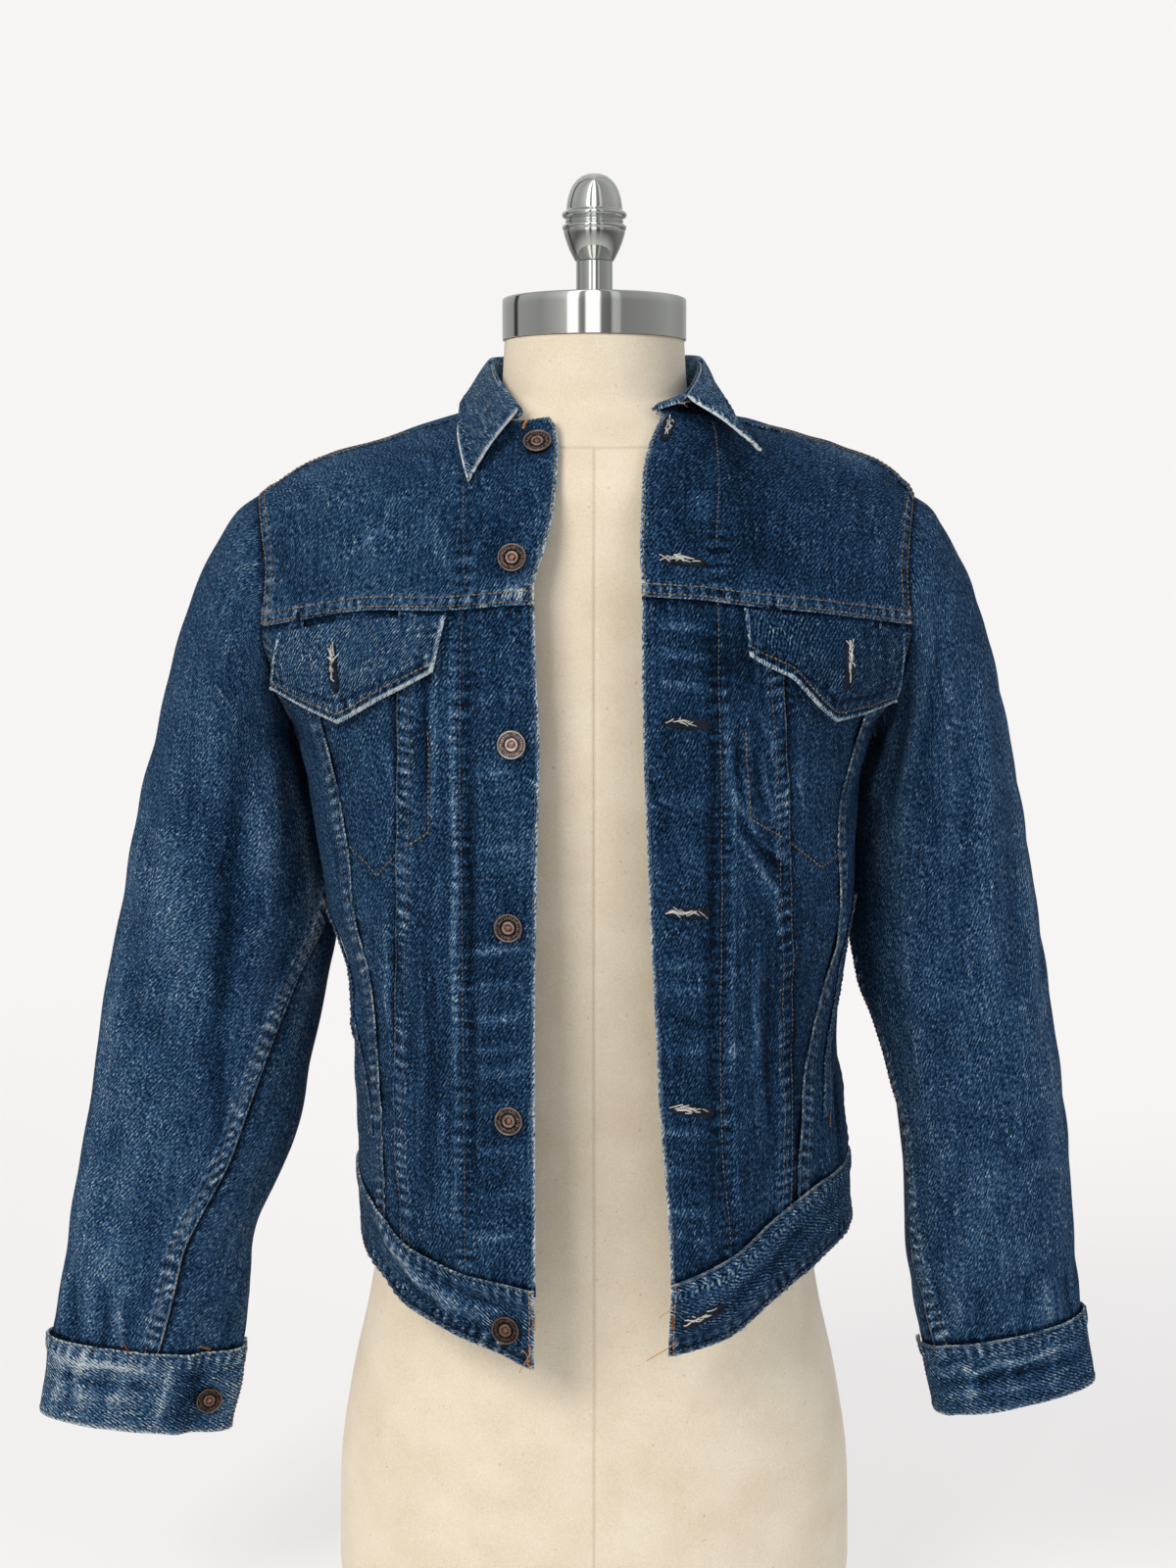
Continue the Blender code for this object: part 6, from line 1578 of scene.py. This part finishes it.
COLLAR_LIFT = 0.0013
COLLAR_ROLL = 0.0030
COLLAR_ROLL_SHARE = 0.45
COLLAR_BULGE = 0.0015
COLLAR_STATIONS = (0.0, 0.26, 0.34, 0.42, 0.70, 1.0)
COLLAR_ROW_SHARE = 0.93
# Pale wear along the fold: row of the grid, width and wear
COLLAR_FOLD_WEAR = ((18, 0.0100, 0.40), (16, 0.0030, 0.40))
# Creases of the leaf: width, height and wear, then the points at both its ends
COLLAR_CREASES = (
    (4.0, 0.9, 0.18, ((-0.078, -0.100, 0.770), (-0.066, -0.082, 0.790))),
    (4.0, 0.9, 0.20, ((0.098, -0.098, 0.770), (0.076, -0.070, 0.792))),
    (5.0, 0.8, 0.16, ((-0.080, 0.020, 0.800), (-0.070, 0.050, 0.812))),
    (5.0, 0.8, 0.16, ((0.040, 0.095, 0.790), (0.030, 0.080, 0.812))))
COLLAR_SEED = 21.0
# Thickness of the doubled cloth whose middle the stations follow
DOUBLE_CLOTH = 0.0024


def collar_half(side, share):
    """Six stations of the collar: base, inner roll, fold, outer roll, middle, edge."""
    columns = read(COLLARS[side], share)
    fold, edge = np.stack(columns[:3], axis=-1), np.stack(columns[3:], axis=-1)
    turns = np.interp(share, [0.0, 1.0], [COLLAR_START_TURN, 180.0])
    base = body(*neckline(side, turns).T)
    away = edge - fold
    away[:, 2] = 0
    away = unit(away)
    base = base - 0.5 * DOUBLE_CLOTH * away
    base[:, 2] += COLLAR_LIFT
    roll = np.minimum(COLLAR_ROLL, COLLAR_ROLL_SHARE * (fold[:, 2] - base[:, 2]))[:, None]
    down = np.array([0.0, 0.0, -1.0])
    inner_roll = fold - roll * away + roll * down
    outer_roll = fold + roll * away + roll * down
    middle = 0.5 * (outer_roll + edge)
    lift = unit(np.cross(np.cross(down, away), edge - outer_roll))
    middle = middle + COLLAR_BULGE * lift * np.sign(lift[:, 2:3])
    return np.stack([base, inner_roll, fold, outer_roll, middle, edge])


shares = np.linspace(0, 1, 130) ** 1.15
right = collar_half("right", shares)
left = collar_half("left", shares)[:, ::-1]
stations = np.concatenate([right, left[:, 1:]], axis=1)
down = np.concatenate([np.linspace(0, 0.26, 9)[:-1], np.linspace(0.26, 0.42, 15)[:-1],
                       0.42 + 0.58 * (1 - (1 - np.linspace(0, 1, 29)) ** 1.4)])
middle = np.array([smooth(COLLAR_STATIONS, track, down) for track in stations.reshape(6, -1).T])
middle = middle.T.reshape(len(down), -1, 3)
outward = unit(np.cross(np.gradient(middle, axis=0), np.gradient(middle, axis=1)))
edges = edges_of(middle)
form = rumple(middle, COLLAR_SEED) * 0.5
leaf = rise(down, 0.30, 0.45)[:, None]
for place, count in (("top", 200), ("first", 24), ("last", 24)):
    form = form + rolled_edge(middle, few(edges[place], count), COLLAR_SEED, 1.8) * leaf
for station, width, tone in COLLAR_FOLD_WEAR:
    form = form + crease(middle, few(middle[station], 160), width, 0.0, tone)
row = few(middle[np.abs(down - COLLAR_ROW_SHARE).argmin()], 200)
form = form + sewn_line(middle, row, COLLAR_SEED + 1, 1.3) * leaf
for width, lift, tone, points in COLLAR_CREASES:
    form = form + crease(middle, np.array(points), width / 1000, lift / 1000, tone) * leaf
grid = middle + (DOUBLE_CLOTH / 2 - CLOTH_GAP + form[0])[..., None] * outward
cloth_wall("collar", grid, outward, form[1], doubled=True, turned=True)

# ---------------------------------------------------------------------------
# Pocket flaps: two layers with a point, sewn on under the yoke and topstitched
# round the edge.  They button down, and their lower edges have rolled.

# Share along the flap, x and height of its top, then of its edge, and how far
# the edge hangs out
FLAPS = {
    "right": np.array([
        (0, -188, 656, -194.5, 622.5, 2.2), (0.22, -165, 660.5, -172, 613, 2.8),
        (0.43, -145, 664, -149, 604, 3.2), (0.7, -115, 665.5, -119, 619.5, 3.6),
        (1, -86, 667, -92, 635, 4.5),
    ]) / (1, 1000, 1000, 1000, 1000, 1000),
    "left": np.array([
        (0, 185, 655, 182, 615.5, 2), (0.22, 163, 659.5, 163, 610, 2.8),
        (0.45, 140, 663.5, 140, 605.5, 3.6), (0.62, 122, 666, 118, 620, 5), (0.82, 102, 669, 102, 635, 4.2),
        (1, 86, 671, 87, 644, 7.5),
    ]) / (1, 1000, 1000, 1000, 1000, 1000),
}
FLAP_GRID = (37, 77)
FLAP_SEED = 25.0
FLAP_BULGE = 0.0050
FLAP_LIFT = 0.0006
FLAP_CLOTH = 0.0019
FLAP_TIP = {"right": 0.43, "left": 0.45}
FLAP_WAVE = {"right": 0.0012, "left": 0.0058}
FLAP_WAVE_SHARE = 0.67
FLAP_WAVE_WIDTH = 0.12
FLAP_ROW_SHARE = 0.80
# Rise of the flap over its button: x and height of both its ends
FLAP_RISE = {"right": ((-150, 626), (-149, 608)), "left": ((145, 628), (142, 610))}

for side, table in FLAPS.items():
    share = close_at_ends(FLAP_GRID[1], EDGE_PULL)
    share[np.argmin(np.abs(share - FLAP_TIP[side]))] = FLAP_TIP[side]
    top_x, top_z, low_x, low_z, hang = read_along(table[:, 1:], table[:, 0], share).T
    low_z = low_z + FLAP_WAVE[side] * bell(share - FLAP_WAVE_SHARE, FLAP_WAVE_WIDTH)
    down = (1 - close_at_ends(FLAP_GRID[0], EDGE_PULL))[:, None]
    x = top_x + (low_x - top_x) * down
    z = top_z + (low_z - top_z) * down
    turn = turn_of_x(x, z)
    outward = body_normal(turn, z)
    bulge = np.sin(np.pi * down) * np.sin(np.pi * np.clip(share, 0.08, 0.92))
    base = body(turn, z) + (FLAP_LIFT + FLAP_CLOTH + hang * down + FLAP_BULGE * bulge)[..., None] * outward
    form = rumple(base, FLAP_SEED) * 0.4
    edges = edges_of(base)
    for place, strength in (("bottom", 1.35), ("first", 0.8), ("last", 0.8)):
        form = form + rolled_edge(base, few(edges[place]), FLAP_SEED, strength)
    row = base[np.abs(down[:, 0] - FLAP_ROW_SHARE).argmin(), 4:-4]
    form = form + sewn_line(base, few(row, 40), FLAP_SEED + 1, 1.2)
    form = form + crease(base, front_line(FLAP_RISE[side]), 0.006, 0.0012, 0.2)
    grid = base + form[0][..., None] * outward
    cloth_wall("pocket_flap_" + side, grid, outward, form[1], FLAP_CLOTH, doubled=True)

# ---------------------------------------------------------------------------
# Side pocket welts: a narrow folded strip each, felled to the side panel along both edges and bar-tacked at
# one end.

# Turn and height of the upper end, then of the lower end
WELTS = {"right": (82.0, 0.480, 62.0, 0.345), "left": (80.0, 0.490, 61.0, 0.358)}
WELT_WIDTH = 0.012
WELT_LIFT = 0.0014
WELT_CLOTH = 0.0015
WELT_GRID = (91, 17)
WELT_SEED = 31.0
for side, (high_turn, high, low_turn, low) in WELTS.items():
    heights = np.linspace(low, high, WELT_GRID[0])
    turns = mirrored(np.interp(heights, [low, high], [low_turn, high_turn]), side)
    middle = body(turns, heights)
    half_turn = 0.5 * np.degrees(WELT_WIDTH / np.hypot(middle[:, 0], middle[:, 1]))
    turn = turns[:, None] + half_turn[:, None] * (2 * close_at_ends(WELT_GRID[1], 0.5) - 1)
    height = np.broadcast_to(heights[:, None], turn.shape)
    outward = body_normal(turn, height)
    base, outward = (part.reshape(*turn.shape, 3) for part in drop_on(
        "front_side_" + side, body(turn, height).reshape(-1, 3)))
    base = base + WELT_LIFT * outward
    form = rumple(base, WELT_SEED) * 0.3
    for place, strength in (("first", 0.25), ("last", 0.25), ("bottom", 0.1), ("top", 0.1)):
        form = form + free_edge(base, few(edges_of(base)[place]), WELT_SEED, strength)
    waves = rope(np.abs(base[..., 2]), WELT_SEED + 1)
    form = form + np.array([0.0003 * waves, 0.14 * waves])
    grid = base + form[0][..., None] * outward
    cloth_wall("pocket_welt_" + side, grid, outward, form[1], WELT_CLOTH)

# ---------------------------------------------------------------------------
# Stitching: lockstitched rows of spun thread, 3.1 mm to the stitch, two at each
# felled seam and one at each edge.  Brown thread still shows on yokes, flaps,
# collar and ends; on the long seams it has faded into the cloth.

FELL = (0.0014, 0.0074)
YOKE_FELL = (0.0026, 0.0082)
WIDE_FELL = (0.0014, 0.0092)
EDGE_ROW = 0.0022
# Piece, where * is its side; thread; then each edge, its rows' insets, and the part sewn
SEWN = (
    ("front_yoke_*", "tan", (("bottom", YOKE_FELL), ("last", FELL), ("first", (EDGE_ROW,)))),
    ("front_center_*", "dull", (("last", WIDE_FELL), ("first", (EDGE_ROW,)))),
    ("front_side_*", "dull", (("first", WIDE_FELL), ("last", FELL, FELLED_FROM, 1.0))),
    ("back_yoke", "tan", (("bottom", YOKE_FELL), ("first", FELL), ("last", FELL),
                          ("top", FELL, 0.0, YOKE_NECK[0]), ("top", FELL, YOKE_NECK[1], 1.0))),
    ("back_side_*", "dull", (("first", FELL), ("last", FELL))),
    ("waistband", "dull", (("bottom", (0.003,)), ("top", (0.0018,)))),
    ("waistband", "orange", (("first", (0.003,)), ("last", (0.003,)))),
    ("collar", "tan", (("top", (0.008,)), ("first", (0.008,), 0.45, 1.0), ("last", (0.008,), 0.45, 1.0))),
    ("pocket_flap_*", "tan", (("bottom", (0.0074,)),)),
    ("pocket_welt_*", "dull", (("first", (0.0018,)), ("last", (0.0018,)))),
    ("sleeve_top_*", "dull", (("last", WIDE_FELL), ("first", FELL))),
    ("cuff_*", "dull", (("bottom", (0.0018,)), ("top", (0.003,)))),
    ("cuff_*", "orange", (("first", (0.002,)), ("last", (0.002,)))),
)
THREADS = {"tan": thread_tan, "dull": thread_dull, "orange": thread_orange}
sewn_pieces = {}
for name, tone, sides in SEWN:
    for node in dict.fromkeys(name.replace("*", side) for side in ("right", "left")):
        lines = [inset_row(node, place, inset, *part) for place, insets, *part in sides for inset in insets]
        row = stitches("stitches_%s_%s" % (tone, node), THREADS[tone], *lines)
        sewn_pieces.setdefault(node, []).append(row)
for side in ("right", "left"):
    line = drop_on("front_center_" + side, few(front_line(PLACKET_ROW[side][1:]), 240))
    sewn_pieces["front_center_" + side].append(stitches("placket_row_" + side, thread_dull, line))
    line = drop_on("front_yoke_" + side, few(front_line(PLACKET_ROW[side][:2]), 60))
    sewn_pieces["front_yoke_" + side].append(stitches("placket_row_yoke_" + side, thread_dull, line))
    lines = [drop_on(("front_mid_" + side, "front_center_" + side), few(front_line(points), 70))
             for points in POCKET_ROWS[side]]
    sewn_pieces["front_mid_" + side] = [stitches("pocket_row_" + side, thread_tan, *lines)]

# ---------------------------------------------------------------------------
# Buttons: riveted shank buttons, pressed from brass and plated in dark copper,
# worn bright on the rim.  The crown carries plain rings and a ring of dots.

BUTTON_SIDES = 78
# Half section from the middle of the crown to the middle of the foot, as shares
# of the button's radius and height
BUTTON_SECTION = (
    (0.000, 0.88), (0.080, 0.88), (0.150, 0.86), (0.200, 0.82), (0.240, 0.82), (0.290, 0.87),
    (0.360, 0.91), (0.420, 0.90), (0.450, 0.86), (0.480, 0.76), (0.520, 0.76), (0.560, 0.80),
    (0.640, 0.81), (0.820, 0.81), (0.860, 0.84), (0.890, 0.95), (0.930, 1.00), (0.965, 0.97),
    (0.995, 0.84), (1.000, 0.66), (0.990, 0.50), (0.955, 0.42), (0.900, 0.38), (0.540, 0.36),
    (0.520, 0.30), (0.520, 0.00), (0.300, 0.00), (0.000, 0.00))
BUTTON_DOTS = 26
BUTTON_DOT_RADIUS = 0.68
BUTTON_DOT_HEIGHT = 0.10
# Share of the height above which the surface is the crown's
BUTTON_CROWN = 0.7
# Radius and height
BUTTON_SIZE = (0.0085, 0.0042)


def aged_metal(name, high, low, patina):
    """Plated brass, worn: bright metal on raised rings, brown-black patina in the hollows."""
    material, tree, output = material_tree(name)
    place = add(tree, "TexCoord")
    wear = add(tree, "Attribute", attribute_name="worn")
    spots = add(tree, "TexNoise", {"Vector": place.outputs["Object"], "Scale": 700.0, "Detail": 4.0})
    cloud = add(tree, "TexNoise", {"Vector": place.outputs["Object"], "Scale": 220.0, "Detail": 3.0})
    total = add(tree, "Math", {0: wear.outputs["Fac"], 1: spots.outputs[0]}, operation="ADD")
    share = add(tree, "MapRange", {0: total.outputs[0], 1: 0.55, 2: 1.15})
    metal = add(tree, "Mix", {0: cloud.outputs[0], 6: linear(low), 7: linear(high)}, data_type="RGBA")
    core = add(tree, "Attribute", attribute_name="core")
    metal = add(tree, "Mix", {0: core.outputs["Fac"], 6: metal.outputs[2], 7: linear("#BC8066")},
                data_type="RGBA")
    shade = add(tree, "Mix", {0: share.outputs[0], 6: linear(patina), 7: metal.outputs[2]}, data_type="RGBA")
    rough = add(tree, "MapRange", {0: share.outputs[0], 3: 0.62, 4: 0.34})
    bump = add(tree, "Bump", {"Height": spots.outputs[0], "Strength": 0.4, "Distance": 0.0002})
    shader = add(tree, "BsdfPrincipled", {
        "Base Color": shade.outputs[2], "Metallic": 1.0, "Roughness": rough.outputs[0],
        "Normal": bump.outputs[0]})
    tree.links.new(shader.outputs[0], output.inputs[0])
    return material


copper_dark = aged_metal("aged copper plate", "#B3A39A", "#80695E", "#2A2322")
copper_bright = aged_metal("worn copper plate", "#E2DAD6", "#BCA79E", "#5A4A46")
metal_bronze = aged_metal("dark bronze plate", "#8A766A", "#5C4B43", "#211C1B")
BUTTON_METALS = {
    "button_front_3": copper_bright, "button_front_6": metal_bronze, "button_cuff_right": metal_bronze}
button_places = {}
for node in [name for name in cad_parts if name.startswith("button_")]:
    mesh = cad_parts[node].data
    points = np.zeros(3 * len(mesh.vertices), np.float32)
    mesh.vertices.foreach_get("co", points)
    points = np.unique(points.reshape(-1, 3).round(6), axis=0).astype(float)
    middle = points.mean(axis=0)
    axis = np.linalg.svd(points - middle)[2][2]
    along_axis = (points - middle) @ axis
    off = np.linalg.norm(points - middle - along_axis[:, None] * axis, axis=1)
    # The crown is the wider end, so the axis is turned to point from foot to crown
    axis = axis * np.sign((off ** 2 * (along_axis - (along_axis.max() + along_axis.min()) / 2)).sum())
    along_axis = (points - middle) @ axis
    foot = middle + along_axis.min() * axis
    across = unit(np.cross(axis, [0.0, 0.0, 1.0]))
    up = np.cross(across, axis)
    radius, high = (column[1:-1] for column in finer_profile(BUTTON_SECTION, 2))
    turn = np.linspace(0, 2 * np.pi, BUTTON_SIDES, endpoint=False)[None, :]
    dots = bell(radius - BUTTON_DOT_RADIUS, 0.08) * np.maximum(np.cos(BUTTON_DOTS * turn), 0) ** 0.7
    high = high + BUTTON_DOT_HEIGHT * dots * (high > BUTTON_CROWN)
    worn = np.clip((high - 0.79) * 5, -0.25, 0.60)
    core = np.broadcast_to(bell(radius, 0.21) * (high > BUTTON_CROWN), high.shape)
    radius = radius * BUTTON_SIZE[0]
    rows = (foot + (radius * np.cos(turn))[..., None] * across + (radius * np.sin(turn))[..., None] * up
            + (high * BUTTON_SIZE[1])[..., None] * axis)
    metal = BUTTON_METALS.get(node, copper_dark)
    piece = closed_tube(node + "_metal", rows[::-1], metal)
    mark(piece, "worn", np.concatenate([worn[::-1].ravel(), [0.0, 0.0]]))
    mark(piece, "core", np.concatenate([core[::-1].ravel(), [0.0, 1.0]]))
    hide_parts(node)
    button_places[node] = (foot, across, up, axis)

# ---------------------------------------------------------------------------
# Buttonholes: a slit whipped round with navy twist, frayed by wear, so white
# weft ends stand out of its lips.

# Piece, both ends as x and height in millimetres, and how frayed it is
BUTTONHOLES = (
    ("front_yoke_left", (46, 783), (41, 770), 0.5), ("front_yoke_left", (39, 701), (64, 698), 0.9),
    ("front_center_left", (41, 606), (66, 604), 0.3), ("front_center_left", (42, 495), (67, 493), 0.8),
    ("front_center_left", (45, 378), (70, 374), 0.8), ("waistband", (52, 248), (76, 257), 0.8),
    ("pocket_flap_right", (-151, 648), (-148, 624), 1.0), ("pocket_flap_left", (146, 650), (144, 626), 1.0),
)
LIP_HALF_WIDTH = 0.0020
LIP_RADIUS = 0.0014
WHIP_TURNS = 34
HAIR_RADIUS = 0.00032
rng = np.random.default_rng(8)


def cord_mesh(lines, radius, sides):
    """Points and faces of thin tubes: rings across each line, closed to a point at both ends."""
    points, faces, base = [], [], 0
    turn = np.linspace(0, 2 * np.pi, sides, endpoint=False)
    for line in lines:
        tangent = unit(np.gradient(line, axis=0))
        helper = np.where(np.abs(tangent[:, 2:3]) > 0.9, [[1.0, 0.0, 0.0]], [[0.0, 0.0, 1.0]])
        first = unit(np.cross(tangent, helper))
        second = np.cross(tangent, first)
        ring = (line[:, None] + radius * (np.cos(turn)[None, :, None] * first[:, None]
                                          + np.sin(turn)[None, :, None] * second[:, None]))
        points += [ring.reshape(-1, 3), line[:1] - radius * tangent[:1], line[-1:] + radius * tangent[-1:]]
        faces += tube_faces(len(line), sides, base)
        base += len(line) * sides + 2
    return np.concatenate(points), faces


for number, (node, start, end, fray) in enumerate(BUTTONHOLES, 1):
    line, facing = drop_on(node, few(front_line((start, end)), 24))
    facing = unit(facing.mean(axis=0))
    heading = unit(line[-1] - line[0])
    beside = np.cross(facing, heading)
    centre = line.mean(axis=0)
    half = np.linalg.norm(line[-1] - line[0]) / 2
    share = np.linspace(0, 2 * np.pi, 61)[:, None]
    lips = (centre + half * np.cos(share) * heading
            + LIP_HALF_WIDTH * np.sign(np.sin(share)) * np.abs(np.sin(share)) ** 0.6 * beside)
    lips, lifted = drop_on(node, lips)
    whip = 0.0003 * np.sin(share * WHIP_TURNS)
    points, faces = cord_mesh([lips + (0.0002 + whip) * lifted, line + 0.0001 * facing], LIP_RADIUS, 6)
    new_piece("buttonhole_%d" % number, points, faces, thread_navy)
    # Frayed ends: short bowed hairs strewn along the slit, most of them lying along it
    hairs = []
    for _ in range(int(6 + 14 * fray)):
        at = np.clip(rng.normal(-0.25, 0.36), -0.85, 0.7)
        root = centre + at * half * heading + rng.normal(0.0004, 0.0009) * beside
        lean = unit(rng.choice([-1, 1]) * heading + rng.normal(0, 0.45) * beside)
        reach = rng.uniform(0.003, 0.0095)
        way = np.linspace(-0.5, 0.5, 6)[:, None]
        bow = rng.uniform(0.0004, 0.0016) * np.cos(np.pi * way)
        hair = root + reach * way * lean + (0.0010 + bow) * facing
        hairs.append(hair + rng.normal(0, 0.0006) * way ** 2 * beside)
    points, faces = cord_mesh(hairs, HAIR_RADIUS, 4)
    new_piece("buttonhole_fray_%d" % number, points, faces, thread_white)

# ---------------------------------------------------------------------------
# Bar tacks and loose ends: dense zigzags of orange thread where a seam takes strain, and the few threads that
# have worked loose at the hem.

TACK_LENGTH = 0.0075
TACK_WIDTH = 0.0016
TACK_THREAD = 0.00032
LOOSE_THREAD = 0.00030
THREAD_LIFT = 0.0006
# Piece, place as x and height, or on a sleeve as turn and ring, and lean in degrees
TACKS = (
    ("front_yoke_right", (-42, 780), 95.0), ("front_side_right", (-168, 481), 80.0),
    ("sleeve_top_right", (81, 11.96), 60.0), ("sleeve_under_right", (126, 11.97), 25.0),
    ("front_side_left", (145, 354), 100.0), ("waistband", (-36, 250), 90.0), ("waistband", (46, 250), 90.0))
# Piece, place as x and height, and how far the end reaches, in millimetres
THREAD_ENDS = (
    ("waistband", (-38, 236), (-5, -6, -13)), ("waistband", (-43, 234), (6, -4, -10)),
    ("waistband", (47, 262), (-8, -5, -6)), ("waistband", (48, 238), (-16, -5, -9)))
zigzag = []
for node, place, lean in TACKS:
    line = sleeve_line("right", (place, place)) if node.startswith("sleeve") else front_line((place, place))
    spot, facing = drop_on(node, line)
    spot, facing = spot[0], facing[0]
    side = unit(np.cross(facing, [0.0, 0.0, 1.0]))
    heading = math.cos(math.radians(lean)) * side + math.sin(math.radians(lean)) * np.cross(side, facing)
    beside = np.cross(facing, heading)
    step = np.linspace(-0.5, 0.5, 25)[:, None]
    weave = (np.arange(25) % 2 - 0.5)[:, None]
    zigzag.append(spot + TACK_LENGTH * step * heading + TACK_WIDTH * weave * beside
                  + THREAD_LIFT * facing)
points, faces = cord_mesh(zigzag, TACK_THREAD, 4)
new_piece("bar_tacks", points, faces, thread_orange)
ends = []
for node, place, reach in THREAD_ENDS:
    spot, facing = drop_on(node, front_line((place, place)))
    way = np.linspace(0, 1, 9)[:, None]
    bend = 0.0012 * np.sin(5 * way) * np.array([1.0, 0.0, 0.3])
    ends.append(spot[0] + THREAD_LIFT * facing[0] + way * np.array(reach) / 1000 + bend)
points, faces = cord_mesh(ends, LOOSE_THREAD, 4)
new_piece("thread_ends", points, faces, thread_orange)
